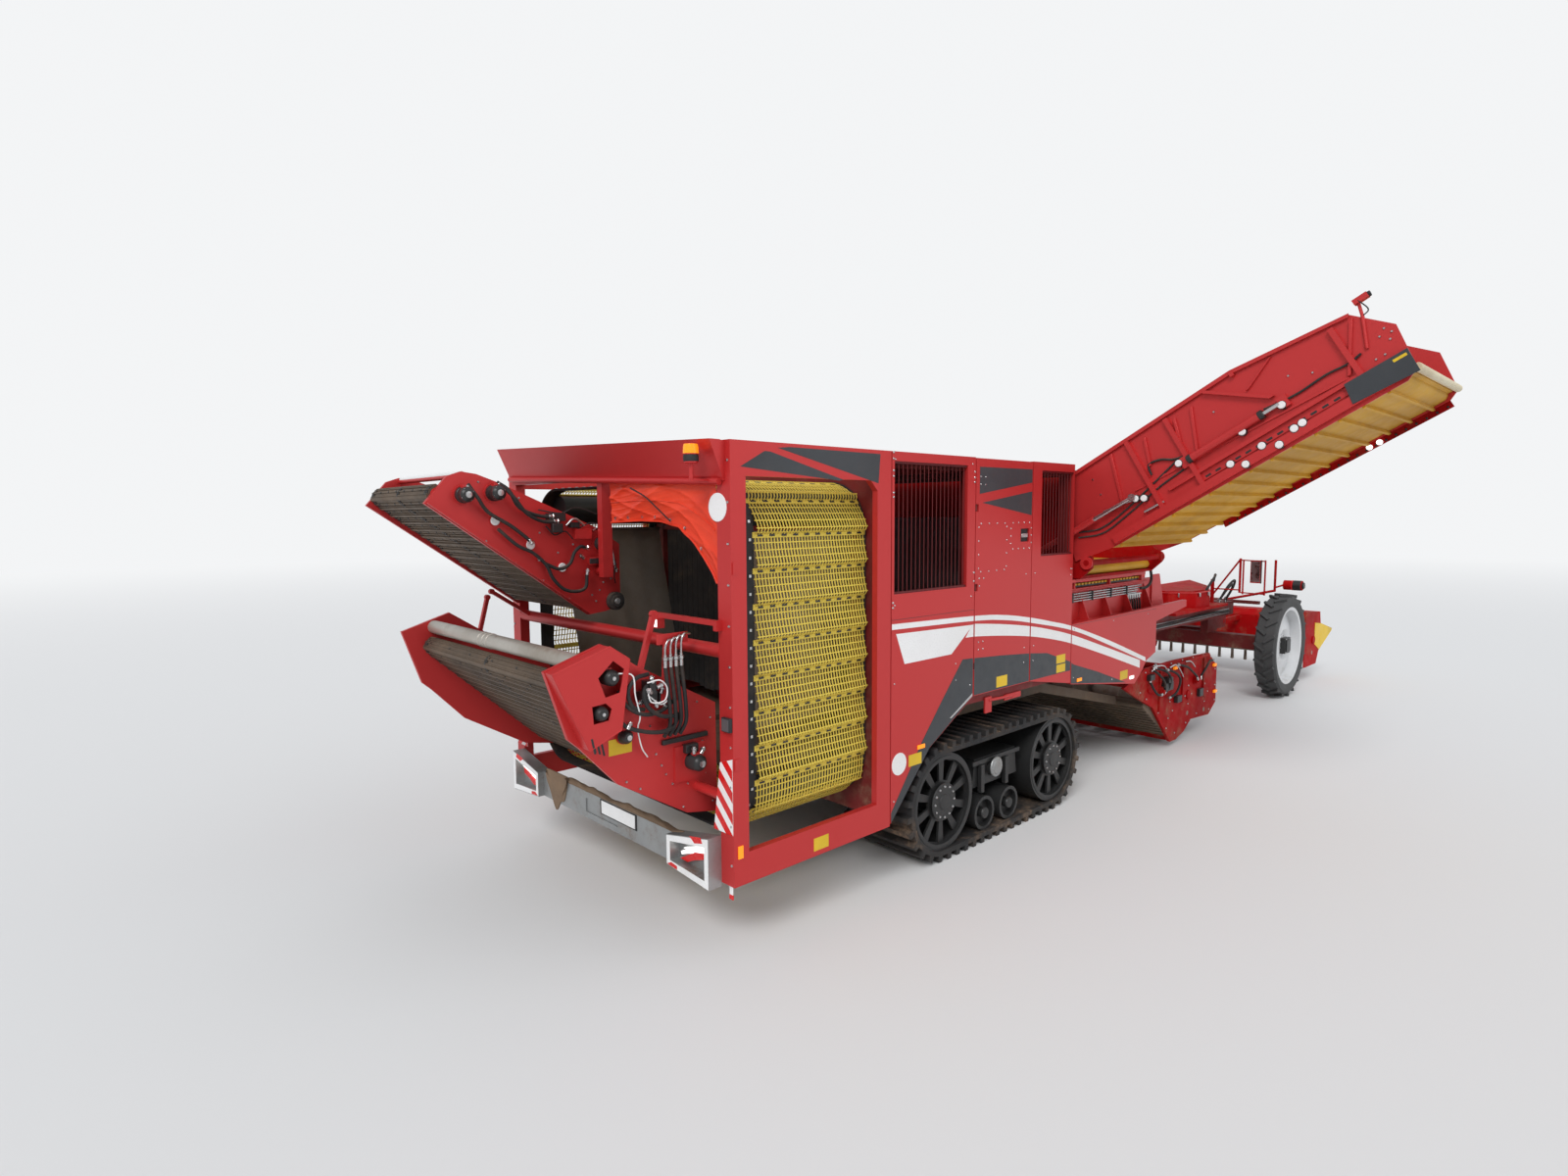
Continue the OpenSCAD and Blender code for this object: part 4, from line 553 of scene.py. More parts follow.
def clipped(outline: Array, x0: float, x1: float) -> Array:
    """The part of an outline between two upright lines: each line keeps the corners on its inner
    side and adds the points where the edges cross it."""
    for limit, sign in ((x0, 1.0), (x1, -1.0)):
        ahead = np.roll(outline, -1, axis=0)
        a, b = sign * (outline[:, 0] - limit), sign * (ahead[:, 0] - limit)
        share = np.where(a * b < 0, a / np.where(a == b, 1.0, a - b), 0.0)[:, None]
        cross = outline + share * (ahead - outline)
        both = np.stack([outline, cross], axis=1).reshape(-1, 2)
        outline = both[np.stack([a >= 0, a * b < 0], axis=1).reshape(-1)]
    return outline


def between(top: Array, bottom: Array, x0: float, x1: float, steps: int = 18) -> Array:
    """The outline between two smooth curves through their knots, from x0 to x1."""
    upper, lower = smooth_path(np.array(top)), smooth_path(np.array(bottom))
    place = np.linspace(x0, x1, steps)
    rows = [np.stack([place, np.interp(place, c[:, 0], c[:, 1])], axis=1) for c in (upper, lower)]
    return np.vstack([rows[0], rows[1][::-1]])


def dome(radius: float, height: float, segments: int = 8) -> Shape:
    """A low round head on its foot at the origin, pointing to -Y: a profile of three rings."""
    profile = np.array([[radius, 0.0], [radius, -0.4 * height], [0.62 * radius, -height]])
    return turned_form(profile[::-1], (0, 0, 0), Axis.Y, segments)


@dataclass
class SidePanels:
    """Films, blank plates, rivets and labels on both sides of the tall body and the bonnet."""

    face: float = -1.85
    film: float = 0.0014
    panels: tuple[tuple[str, float, float], ...] = (
        ("rear", 1.862, 3.138), ("door", 3.162, 4.208), ("front", 4.232, 5.124), ("bonnet", 5.148, 7.44))
    stripe_1: tuple = (
        ((1.875, 2.452), (3.143, 2.417), (3.691, 2.379), (4.213, 2.305), (4.677, 2.218), (5.184, 2.111),
         (6.113, 1.844), (7.22, 1.486)),
        ((1.875, 2.401), (3.144, 2.366), (3.692, 2.325), (4.235, 2.245), (5.186, 2.062), (6.117, 1.784),
         (7.22, 1.43)))
    stripe_2: tuple = (
        ((3.0, 2.345), (3.188, 2.333), (3.694, 2.281), (4.217, 2.209), (4.681, 2.123), (5.189, 2.006),
         (6.119, 1.743), (7.137, 1.445)),
        ((3.0, 2.21), (3.191, 2.204), (3.697, 2.159), (4.221, 2.096), (4.685, 2.016), (5.185, 1.904),
         (6.126, 1.64), (7.137, 1.34)))
    plate: tuple = ((1.921, 2.358), (3.129, 2.329), (2.769, 2.072), (2.045, 2.067))
    arches: tuple = (
        ("rear", ((1.862, 0.606), (1.862, 0.70), (2.3, 1.268), (2.62, 1.63), (2.959, 1.997), (3.138, 1.988),
                  (3.138, 1.600), (2.434, 1.206))),
        ("door", ((3.162, 1.985), (3.668, 1.953), (4.208, 1.909), (4.208, 1.602), (3.162, 1.602))),
        ("front", ((4.232, 1.907), (4.588, 1.868), (5.106, 1.708), (5.124, 1.70), (5.124, 1.598), (4.232, 1.602))),
        ("bonnet", ((5.148, 1.685), (5.206, 1.657), (5.812, 1.491), (6.594, 1.245), (5.148, 1.436))))
    decals: tuple = (
        ("frame", ((0.099, 3.804), (0.342, 3.929), (0.401, 3.928), (1.226, 3.731), (1.171, 3.723))),
        ("frame", ((0.479, 3.96), (0.607, 3.972), (1.694, 3.966), (1.67, 3.711), (1.626, 3.721))),
        ("door", ((3.216, 3.909), (4.205, 3.914), (4.205, 3.773), (3.216, 3.639))),
        ("door", ((4.205, 3.679), (3.264, 3.552), (4.202, 3.422))))
    screen_frame: tuple = (3.208, 3.718, 2.857, 3.342)
    hatch_frame: tuple = (3.798, 4.200, 3.069, 3.344)
    lone_rivets: tuple = (
        (3.225, 2.79), (3.305, 2.79), (3.23, 2.715), (4.11, 2.79), (4.10, 1.985), (4.095, 1.825), (5.08, 2.80),
        (5.11, 2.80), (5.085, 2.73), (4.295, 2.79), (4.295, 1.985), (4.29, 1.82), (2.84, 1.97), (2.845, 1.805),
        (1.9, 3.93), (3.09, 3.93), (1.9, 2.62), (3.09, 2.62), (1.9, 0.80), (1.9, 1.9), (3.09, 1.72), (5.2, 2.08),
        (6.2, 2.09), (7.2, 2.09), (5.2, 1.5), (6.2, 1.34))
    hinge_rows: tuple = (
        (1.874, (3.99, 3.935, 3.83, 3.78, 3.635, 3.595, 2.645, 2.60)), (3.128, (3.855, 3.80, 3.755, 2.855, 2.77)))
    labels: tuple = (
        ("door", 3.568, 3.773, 1.62, 1.735), ("front", 4.799, 5.002, 1.715, 1.812),
        ("front", 4.804, 5.006, 1.608, 1.7), ("bonnet", 6.424, 6.635, 1.295, 1.408),
        ("rear", 2.114, 2.307, 1.081, 1.191), ("frame", 0.86, 1.035, 0.625, 0.735))

    def body_of(self, panel: str, mirrored: bool) -> str:
        """The body that a panel's pieces ride on."""
        return ("door_left" if mirrored else "door_right") if panel == "door" else "chassis"

    def put(self, shop: Workshop, name: str, shape: Shape, finish: Finish, panel: str, **kwargs) -> None:
        """One piece on the right side and its mirror image on the left."""
        for side in ("right", "left"):
            shop.piece(f"{name}_{side}", on_side(shape, side), finish, self.body_of(panel, side == "left"), **kwargs)

    def sheet(self, outline: Array, thick: float | None = None) -> Shape:
        """A film of the outline on the panel's face."""
        return prism(np.array(outline), self.face - (thick or self.film), self.face + 0.0004, Axis.Y)

    def films(self, shop: Workshop) -> None:
        """The white curves, the blank plate and the charcoal fields, cut at the panels' gaps."""
        for panel, x0, x1 in self.panels:
            whites = [self.sheet(between(*self.stripe_1, x0, min(x1, 7.16)))]
            if panel == "rear":
                whites.append(self.sheet(((3.005, 2.211), (3.078, 2.289), (3.138, 2.334), (3.138, 2.207))))
                whites.append(self.sheet(self.plate))
            else:
                whites.append(self.sheet(between(*self.stripe_2, x0, min(x1, 6.99))))
            self.put(shop, f"white_films_{panel}", joined(*whites), WHITE_FILM, panel)
        for panel, outline in self.arches:
            self.put(shop, f"charcoal_arch_{panel}", self.sheet(outline), CHARCOAL, panel)
        for panel in ("frame", "door"):
            shapes = [self.sheet(outline) for where, outline in self.decals if where == panel]
            self.put(shop, f"charcoal_fields_{panel}", joined(*shapes), CHARCOAL, panel)

    def rivets(self) -> Array:
        """The rivets' places (X, Z): around two openings, four to a hinge plate, and single ones.

        Each side of an opening has its own evenly spaced row, which stops short of the corners.
        """
        rows = []
        for (x0, x1, z0, z1), inset, count in ((self.screen_frame, 0.036, 4), (self.hatch_frame, 0.059, 3)):
            rows += [(x, z) for z in (z0, z1) for x in np.linspace(x0 + 0.041, x1 - 0.037, 4)]
            rows += [(x, z) for x in (x0, x1) for z in np.linspace(z0 + inset, z1 - inset, count)]
        for x, z in ((3.236, 3.735), (3.226, 2.064)):
            rows += [(x + a, z + b) for a in (0, 0.081) for b in (0, 0.077)]
        return np.array(rows + list(self.lone_rivets))

    def fasteners(self, shop: Workshop) -> None:
        """Rivet heads, hinge dots and the panel seams' edge strips."""
        head, dots = dome(0.0085, 0.006), self.rivets()
        on_door = (dots[:, 0] > 3.16) & (dots[:, 0] < 4.21)
        for panel, chosen in (("door", dots[on_door]), ("frame", dots[~on_door])):
            places = np.stack([chosen[:, 0], np.full(len(chosen), self.face), chosen[:, 1]], axis=1)
            self.put(shop, f"rivets_{panel}", head.repeated(places), STEEL, panel, smooth=True)
        dots = np.array([(x, z) for x, heights in self.hinge_rows for z in heights])
        places = np.stack([dots[:, 0], np.full(len(dots), self.face), dots[:, 1]], axis=1)
        self.put(shop, "hinge_bolts", dome(0.011, 0.008).repeated(places), STEEL, "frame", smooth=True)
        seam = joined(self.sheet(((1.86, 2.49), (3.14, 2.482), (3.14, 2.478), (1.86, 2.486)), 0.0008),
                      self.sheet(((5.15, 2.128), (7.45, 2.142), (7.45, 2.138), (5.15, 2.124)), 0.0008))
        self.put(shop, "seam_lines", seam, BLACK, "frame")

    def signs(self, shop: Workshop) -> None:
        """Blank yellow labels, the blank white disc, side lamps and the amber reflector."""
        for number, (panel, x0, x1, z0, z1) in enumerate(self.labels):
            frame_edge = self.sheet(((x0, z0), (x1, z0), (x1, z1), (x0, z1)), 0.0021)
            self.put(shop, f"label_{number}", frame_edge, YELLOW_LABEL, panel)
        disc = turned_form(np.array([[0.103, -0.003], [0.105, -0.001], [0.105, 0.0]]), (1.975, self.face, 1.14),
                           Axis.Y, 40)
        self.put(shop, "blank_disc", disc, WHITE_FILM, "rear")
        lamp = joined(*(self.lamp(x, z) for x, z in ((5.343, 1.456), (2.296, 1.243))))
        self.put(shop, "side_lamps", lamp, AMBER, "frame", bevel=0.004)
        self.put(shop, "bonnet_lamp", self.lamp(6.752, 1.29), LAMP_WHITE, "bonnet", bevel=0.004)
        # The reflector takes the amber lamps' glow: painted light, as it is no lamp.
        reflector = self.sheet(((0.036, 0.80), (0.086, 0.80), (0.086, 0.90), (0.036, 0.90)), 0.008)
        self.put(shop, "amber_reflector", reflector, AMBER, "frame", bevel=0.002)
        strip = self.sheet(((2.774, 1.432), (3.13, 1.60), (3.13, 1.628), (2.75, 1.44)), 0.004)
        self.put(shop, "arch_trim", strip, STEEL, "rear")

    def lamp(self, x: float, z: float) -> Shape:
        """A small block lens that stands proud of the panel."""
        return box(x - 0.055, x + 0.055, self.face - 0.012, self.face, z - 0.02, z + 0.02)

    def handle(self, shop: Workshop) -> None:
        """The door's recessed latch: a dark back and a lever."""
        x0, x1, z0, z1 = 3.992, 4.158, 3.142, 3.278
        back = box(x0, x1, self.face + 0.02, self.face + 0.024, z0, z1)
        self.put(shop, "latch_back", back, BLACK_PLASTIC, "door")
        lever = joined(box(x0 + 0.02, x1 - 0.02, self.face + 0.004, self.face + 0.02, z0 + 0.045, z0 + 0.085),
                       rod(0.02, (x0 + 0.035, self.face + 0.02, z0 + 0.065),
                           (x0 + 0.035, self.face - 0.002, z0 + 0.065), 16))
        self.put(shop, "latch_lever", lever, STEEL, "door", bevel=0.003)

    def build(self, shop: Workshop) -> None:
        """Every piece of the sides."""
        self.films(shop)
        self.fasteners(shop)
        self.signs(shop)
        self.handle(shop)


# ---------------------------------------------------------------- ring elevator

@dataclass
class RingMesh:
    """The ring elevator's yellow mesh: strips across it, strands along it and rubber edge belts."""

    x0: float = 0.352
    x1: float = 1.678
    middle: float = 2.295
    half_w: float = 1.681
    half_h: float = 1.427
    corner: float = 0.42
    pockets: int = 41
    bulge: float = 0.045
    strip_at: float = 2.429

    def length(self) -> float:
        """The loop's length: four straights and a whole circle of the corners."""
        return 4 * (self.half_w + self.half_h - 2 * self.corner) + 2 * math.pi * self.corner

    def on_path(self, s: Array) -> tuple[Array, Array]:
        """Points and outward normals at distances s round a rounded rectangle, anticlockwise in Y, Z
        from its lower left corner: straights join quarter circles, whose angle grows with s."""
        r, wide, high = self.corner, 2 * (self.half_w - self.corner), 2 * (self.half_h - self.corner)
        bend = math.pi * r / 2
        starts = np.cumsum([0, wide, bend, high, bend, wide, bend, high])
        s = np.mod(s, self.length())
        part = np.searchsorted(starts, s, side="right") - 1
        ahead = s - starts[part]
        quarter = (part + 1) // 2
        angle = -math.pi / 2 + quarter * math.pi / 2 - np.where(part % 2 == 1, math.pi / 2 - ahead / r, 0.0)
        hub_y = np.where(np.isin(part, (0, 5, 6, 7)), -1.0, 1.0) * wide / 2
        hub_z = np.where(np.isin(part, (0, 1, 2, 7)), -1.0, 1.0) * high / 2
        hub_y = hub_y + np.where(part == 0, ahead, 0) - np.where(part == 4, ahead, 0)
        hub_z = hub_z + np.where(part == 2, ahead, 0) - np.where(part == 6, ahead, 0)
        normal = np.stack([np.cos(angle), np.sin(angle)], axis=-1)
        return np.stack([hub_y, hub_z], axis=-1) + r * normal, normal

    def first(self) -> float:
        """Distance of a strip that crosses the right side at its measured height."""
        wide, high, bend = 2 * (self.half_w - self.corner), 2 * (self.half_h - self.corner), math.pi * self.corner / 2
        return wide * 2 + bend * 3 + high + (high / 2 - (self.strip_at - self.middle))

    def lift(self, s: Array, normal: Array) -> Array:
        """How far the mesh stands out: each pocket fills towards its lower strip, on either side."""
        share = np.mod((s - self.first()) / (self.length() / self.pockets), 1.0)
        down = (share ** 1.6) * np.clip((1.0 - share) / 0.16, 0, 1) ** 0.6
        up = ((1 - share) ** 1.6) * np.clip(share / 0.16, 0, 1) ** 0.6
        weight = np.clip(0.5 - 0.8 * normal[:, 0], 0, 1)
        return self.bulge * (weight * down + (1 - weight) * up) * np.where(normal[:, 1] > 0.7, 0.35, 1.0) * 1.5

    def ribbon(self, s: Array, x: float, half: float, inner: float, outer: float, filled: bool) -> Shape:
        """A band round the loop: a four-cornered section carried along the path."""
        point, normal = self.on_path(s)
        stand = self.lift(s, normal) if filled else np.zeros(len(s))
        rows = np.zeros((len(s), 4, 3))
        for i, (dx, out) in enumerate(((-half, inner), (half, inner), (half, outer), (-half, outer))):
            rows[:, i, 0] = x + dx
            rows[:, i, 1:] = point + (stand + out)[:, None] * normal
        rows[:, :, 2] += self.middle
        closed = np.concatenate([rows, rows[:1]])
        return grid(closed[::-1], around=True)

    def across(self, s: float, half: float, inner: float, outer: float, x0: float, x1: float, lift: float = 0.0
               ) -> Shape:
        """A bar across the loop at the distance s, as a block turned to the path."""
        point, normal = self.on_path(np.array([s]))
        along = np.array([-normal[0][1], normal[0][0]])
        corners = [point[0] + (out + lift) * normal[0] + side * along
                   for side, out in ((-half, inner), (half, inner), (half, outer), (-half, outer))]
        return prism(np.array(corners) + np.array([0, self.middle]), x0, x1, Axis.X)

    def build(self, shop: Workshop) -> None:
        """The mesh in place of the plain web."""
        pitch = self.length() / self.pockets
        steps = np.concatenate([[0.0, 0.12], np.linspace(0.25, 0.85, 5), [0.93]])
        s = (self.first() + (np.arange(self.pockets)[:, None] + steps[None]) * pitch).reshape(-1)
        columns = np.linspace(self.x0 + 0.03, self.x1 - 0.03, 38)
        strands = joined(*(self.ribbon(s, float(x), 0.0046, -0.003, 0.004, True) for x in columns))
        net = shop.piece("ring_mesh_strands", strands, WEB_YELLOW)
        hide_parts("ring_web")
        crosses = []
        for pocket in range(self.pockets):
            for share in (0.22, 0.42, 0.62, 0.82):
                at = self.first() + (pocket + share) * pitch
                lift = float(self.lift(np.array([at]), self.on_path(np.array([at]))[1])[0])
                crosses.append(self.across(at, 0.0045, -0.004, 0.003, self.x0 + 0.01, self.x1 - 0.01, lift))
        strips = [self.across(self.first() + i * pitch, 0.024, -0.008, 0.006, self.x0, self.x1)
                  for i in range(self.pockets)]
        shop.piece("ring_mesh_cross_strands", joined(*crosses), WEB_YELLOW)
        shop.piece("ring_mesh_strips", joined(*strips), WEB_YELLOW, bevel=0.003)
        links = []
        for i in range(self.pockets):
            for x in np.linspace(self.x0 + 0.08, self.x1 - 0.08, 10):
                links.append(self.across(self.first() + i * pitch, 0.012, 0.005, 0.0085, x - 0.028, x + 0.028))
        shop.piece("ring_strip_links", joined(*links), BLACK, bevel=0.0)
        edges = joined(self.ribbon(s, self.x0 - 0.055, 0.07, -0.016, 0.004, False),
                       self.ribbon(s, self.x1 - 0.012, 0.026, -0.016, 0.004, False))
        shop.piece("ring_edge_belts", edges, RUBBER)
        studs = []
        for i in range(self.pockets * 2):
            for x in (self.x0 - 0.09, self.x0 - 0.03):
                studs.append(self.across(self.first() + (i + 0.25) * pitch / 2, 0.011, 0.004, 0.011, x - 0.011,
                                         x + 0.011))
        shop.piece("ring_belt_studs", joined(*studs), STEEL)


# ---------------------------------------------------------------- rear

def hose_set(routes: tuple[tuple[Point, ...], ...], radius: float, segments: int = 10) -> Shape:
    """Several pipes of one radius, each along its own smooth path."""
    return joined(*(pipe(np.array(route), radius, segments) for route in routes))


def ferrule(place: Point, direction: Point, radius: float = 0.017, length: float = 0.06) -> Shape:
    """A hose end: a sleeve, a hexagon nut and a collar on one axis."""
    start, way = np.array(place, float), np.array(direction, float)
    way = way / np.linalg.norm(way)
    return joined(rod(radius, tuple(start), tuple(start + 0.55 * length * way), 12),
                  rod(1.35 * radius, tuple(start + 0.55 * length * way), tuple(start + 0.8 * length * way), 6),
                  rod(0.8 * radius, tuple(start + 0.8 * length * way), tuple(start + length * way), 12))


@dataclass
class InnerChute:
    """Soiled sheets inside the ring elevator that lead the crop down to the lower conveyor."""

    x0: float = 0.42
    x1: float = 1.66

    def build(self, shop: Workshop) -> None:
        """Two leaning side sheets with folded edges, a curtain of rubber strips and a cross bar."""
        for side, sign in (("left", 1.0), ("right", -1.0)):
            top, foot = (1.50, 3.30), (1.12 if sign > 0 else 1.36, 1.62)
            y = np.linspace(top[0], foot[0], 12)[:, None]
            z = np.linspace(top[1], foot[1], 12)[:, None]
            x = np.linspace(self.x0, self.x1, 14)[None]
            dent = 0.010 * np.sin(9 * x + 4 * z) + 0.006 * np.sin(23 * x)
            front = np.stack([x + 0 * y, sign * (y + dent), z + 0 * x], axis=-1)
            back = front + np.array([0, sign * 0.006, 0])
            shape = joined(grid(np.concatenate([front, back[:, ::-1]], axis=1), around=True, caps=True),
                           *(rod(0.016, (self.x0, sign * a, b), (self.x1, sign * a, b), 10) for a, b in (top, foot)))
            shop.piece(f"ring_chute_{side}", shape, SOILED_STEEL, smooth=True)
        strips = joined(*(box(1.655, 1.661, float(y), float(y) + 0.088, 1.55 + 0.03 * math.sin(9 * y), 3.30)
                          for y in np.arange(-1.30, 1.25, 0.094)))
        shop.piece("ring_curtain", strips, RUBBER)
        shop.piece("ring_curtain_bar", box(1.65, 1.70, -1.40, 1.40, 3.28, 3.34), FRAME_PAINT, bevel=0.004)


@dataclass
class Cloth:
    """The tarpaulin over the right rear: a creased sheet hung from the tube under the fascia."""

    left: float = -0.148
    right: float = -1.684
    top: float = 3.752
    hem: tuple = ((-1.684, 2.845), (-1.62, 2.965), (-1.50, 3.10), (-1.36, 3.235), (-1.185, 3.346), (-0.9, 3.392),
                  (-0.62, 3.398), (-0.148, 3.381))
    rows: int = 120
    cols: int = 60

    def creases(self, u: Array, v: Array) -> Array:
        """Depth of the creases: sharp valleys fan out from the upper left, cross folds pucker at the
        eyelets and a broad belly hangs between the ends. Each crease is one minus the absolute sine of
        its own slanted coordinate, raised to a power that sharpens it."""
        fan = (u + 0.75 * v) * 2.7 + 0.16 * np.sin(5.0 * v + 2.0 * u)
        cross = (1.2 * u - 1.3 * v) * 2.0 + 0.22 * np.sin(4.0 * u)
        fine = (0.9 * u + 1.6 * v) * 4.3 + 0.35 * np.sin(6.0 * u + 3.0)
        sharp = (1 - np.abs(np.sin(np.pi * fan))) ** 2
        sharp2 = (1 - np.abs(np.sin(np.pi * cross))) ** 2.5
        sharp3 = (1 - np.abs(np.sin(np.pi * fine))) ** 4
        belly = np.sin(np.pi * u) * np.sin(np.pi * v)
        return -0.014 * sharp - 0.010 * sharp2 - 0.004 * sharp3 - 0.018 * belly + 0.006 * np.sin(9 * u + 4 * v)

    def build(self, shop: Workshop) -> None:
        """The sheet with its hem, eyelets and strap, in place of the plain solid."""
        u, v = np.meshgrid(np.linspace(0, 1, self.rows), np.linspace(0, 1, self.cols), indexing="ij")
        hem = np.array(self.hem)
        y = self.left + (self.right - self.left) * u
        low = np.interp(y, hem[:, 0], hem[:, 1])
        z = self.top + (low - self.top) * v
        x = 0.004 + 0.030 * v ** 0.7 + self.creases(u, v) * np.minimum(1.0, 5 * v)
        points = np.stack([x, y, z], axis=-1)
        shape = grid(points)
        cloth = shop.piece("rear_tarpaulin", shape, TARP, smooth=True)
        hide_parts("tarpaulin")
        edge = points[:, -1] + np.array([-0.004, 0, 0.004])
        hem_cord = shop.piece("tarpaulin_hem", pipe(edge[::4], 0.008, 6, 2), TARP, smooth=True)
        seam = points[:, self.cols // 2] + np.array([-0.003, 0, 0])
        seam_line = shop.piece("tarpaulin_seam", pipe(seam[::4], 0.0045, 5, 2), TARP, smooth=True)
        strap_path = np.array([(-0.075, -0.62, 3.675), (-0.036, -0.78, 3.60), (-0.03, -0.95, 3.50),
                               (-0.028, -1.12, 3.40)])
        strap = shop.piece("tarpaulin_strap", pipe(strap_path, 0.007, 6), BLACK, smooth=True)
        eyelets = joined(*(turned_form(np.array([[0.006, -0.004], [0.013, -0.005], [0.014, 0.003], [0.006, 0.003]]),
                                       tuple(points[i, -4] + np.array([-0.004, 0, 0.02])), Axis.X, 12, bored=True)
                           for i in range(6, self.rows - 4, 16)))
        rings = shop.piece("tarpaulin_eyelets", eyelets, STEEL, smooth=True)


@dataclass
class RearFace:
    """Warning boards, lamp units, blank plate, soil and lamps on the rear face."""

    stripe: float = 0.085
    slant: float = -0.30

    def board(self, outline: Array, x: float, thick: float) -> tuple[Shape, Shape]:
        """A white board and its slanted red bands: the outline is sheared, cut into upright strips and
        sheared back."""
        flat = np.array(outline, float)
        sheared = np.stack([flat[:, 1] + self.slant * flat[:, 0] / 0.3, flat[:, 0]], axis=1)
        bands = []
        for start in np.arange(sheared[:, 0].min() - 0.02, sheared[:, 0].max(), 2 * self.stripe):
            cut = clipped(sheared, float(start), float(start + self.stripe))
            if len(cut) >= 3:
                back = np.stack([cut[:, 1], cut[:, 0] - self.slant * cut[:, 1] / 0.3], axis=1)
                bands.append(prism(back, x - thick - 0.0012, x - thick + 0.0005, Axis.X))
        return prism(flat, x - thick, x, Axis.X), joined(*bands)

    def boards(self, shop: Workshop) -> None:
        """The striped boards on both rear corners."""
        outline = np.array([(-1.607, 0.993), (-1.84, 0.993), (-1.84, 1.592), (-1.692, 1.54)])
        white, red = self.board(outline, 0.0, 0.005)
        for side in ("right", "left"):
            shop.piece(f"warning_board_{side}", on_side(white, side), WHITE_FILM)
            # The red bands take the red lamps' glow: painted light, as they are no lamps.
            shop.piece(f"warning_bands_{side}", on_side(red, side), RED_LENS)

    def pane(self, outline: list[tuple[float, float]], x0: float, x1: float) -> Shape:
        """A flat lens of the lamp unit, with its outline in (Y, Z)."""
        return prism(np.array(outline), x0, x1, Axis.X)

    def lamp_units(self, shop: Workshop) -> None:
        """Bright frame, red and white lenses of the lamp unit at each end."""
        rim_out = np.array([(-1.135, 0.597), (-1.688, 0.551), (-1.688, 0.955), (-1.135, 0.84)])
        rim_in = np.array([(-1.18, 0.64), (-1.64, 0.61), (-1.64, 0.88), (-1.18, 0.80)])
        edges = []
        for i in range(4):
            j = (i + 1) % 4
            edges.append(prism(np.array([rim_out[i], rim_out[j], rim_in[j], rim_in[i]]), -0.134, -0.1295, Axis.X))
        bright = joined(*edges)
        red = joined(self.pane([(-1.24, 0.66), (-1.34, 0.655), (-1.44, 0.70), (-1.34, 0.71)], -0.075, -0.04),
                     self.pane([(-1.34, 0.71), (-1.44, 0.70), (-1.56, 0.74), (-1.56, 0.79), (-1.44, 0.765)],
                               -0.075, -0.04),
                     self.pane([(-1.14, 0.60), (-1.28, 0.588), (-1.28, 0.618), (-1.2, 0.63)], -0.1352, -0.1335),
                     self.pane([(-1.45, 0.92), (-1.60, 0.948), (-1.62, 0.905), (-1.52, 0.88)], -0.1352, -0.1335))
        clear = joined(self.pane([(-1.28, 0.755), (-1.42, 0.80), (-1.60, 0.84), (-1.60, 0.80), (-1.40, 0.75)],
                                 -0.07, -0.04),
                       self.pane([(-1.25, 0.69), (-1.33, 0.72), (-1.42, 0.745), (-1.34, 0.745), (-1.24, 0.715)],
                                 -0.065, -0.04))
        for side in ("right", "left"):
            shop.piece(f"lamp_frame_{side}", on_side(bright, side), WHITE_FILM, bevel=0.003)
            shop.piece(f"lamp_red_{side}", on_side(red, side), RED_LENS, bevel=0.003)
            shop.piece(f"lamp_clear_{side}", on_side(clear, side), LAMP_WHITE, bevel=0.003)

    def plate(self, shop: Workshop) -> None:
        """The blank plate on the bumper with its dark holder."""
        shop.piece("plate_holder", box(-0.0745, -0.0695, -0.60, 0.01, 0.700, 0.842), BLACK_PLASTIC, bevel=0.002)
        shop.piece("blank_plate", box(-0.077, -0.0742, -0.575, -0.015, 0.712, 0.832), WHITE_FILM, bevel=0.001)

    def soil(self, shop: Workshop) -> None:
        """Soil lying along the bumper and hanging from it: a ridge whose height and foot wander with a
        sum of sines."""
        y = np.linspace(-1.44, 0.95, 150)[:, None]
        t = np.linspace(0, np.pi, 13)[None]
        heap = 0.016 + 0.026 * np.abs(np.sin(3.1 * y + 0.4)) + 0.007 * np.sin(13 * y) + 0.003 * np.sin(31 * y + 1)
        ends = np.clip((y + 1.44) / 0.2, 0, 1) * np.clip((0.95 - y) / 0.25, 0, 1)
        wobble = 1 + 0.05 * np.sin(19 * y + 3 * t) + 0.04 * np.sin(41 * y + 5 * t)
        x = -0.034 + 0.034 * np.cos(t) * wobble
        z = 0.843 + np.maximum(heap * ends, 0.002) * np.sin(t) ** 0.8 * wobble
        rows = np.stack([x + 0 * y, y + 0 * t, z + 0 * y], axis=-1)
        shop.piece("soil_on_bumper", grid(rows, around=True, caps=True), SOIL_HEAP, smooth=True)
        y = np.linspace(0.62, 1.02, 40)[:, None]
        v = np.linspace(0, 1, 24)[None]
        drop = 0.30 * np.sin(np.pi * (y - 0.62) / 0.40) ** 0.7 * (1 + 0.15 * np.sin(31 * y))
        x = -0.078 - 0.022 * np.sin(np.pi * v) * (1 + 0.3 * np.sin(23 * y + 5 * v))
        z = 0.90 - (0.05 + drop) * v
        rows = np.stack([x + 0 * y, y + 0.02 * np.sin(9 * v), z], axis=-1)
        back = rows * np.array([0, 1, 1]) + np.array([-0.064, 0, 0])
        rows = np.concatenate([rows, back[:, ::-1]], axis=1)
        shop.piece("soil_hanging", grid(rows, around=True, caps=True), SOIL_HEAP, smooth=True)

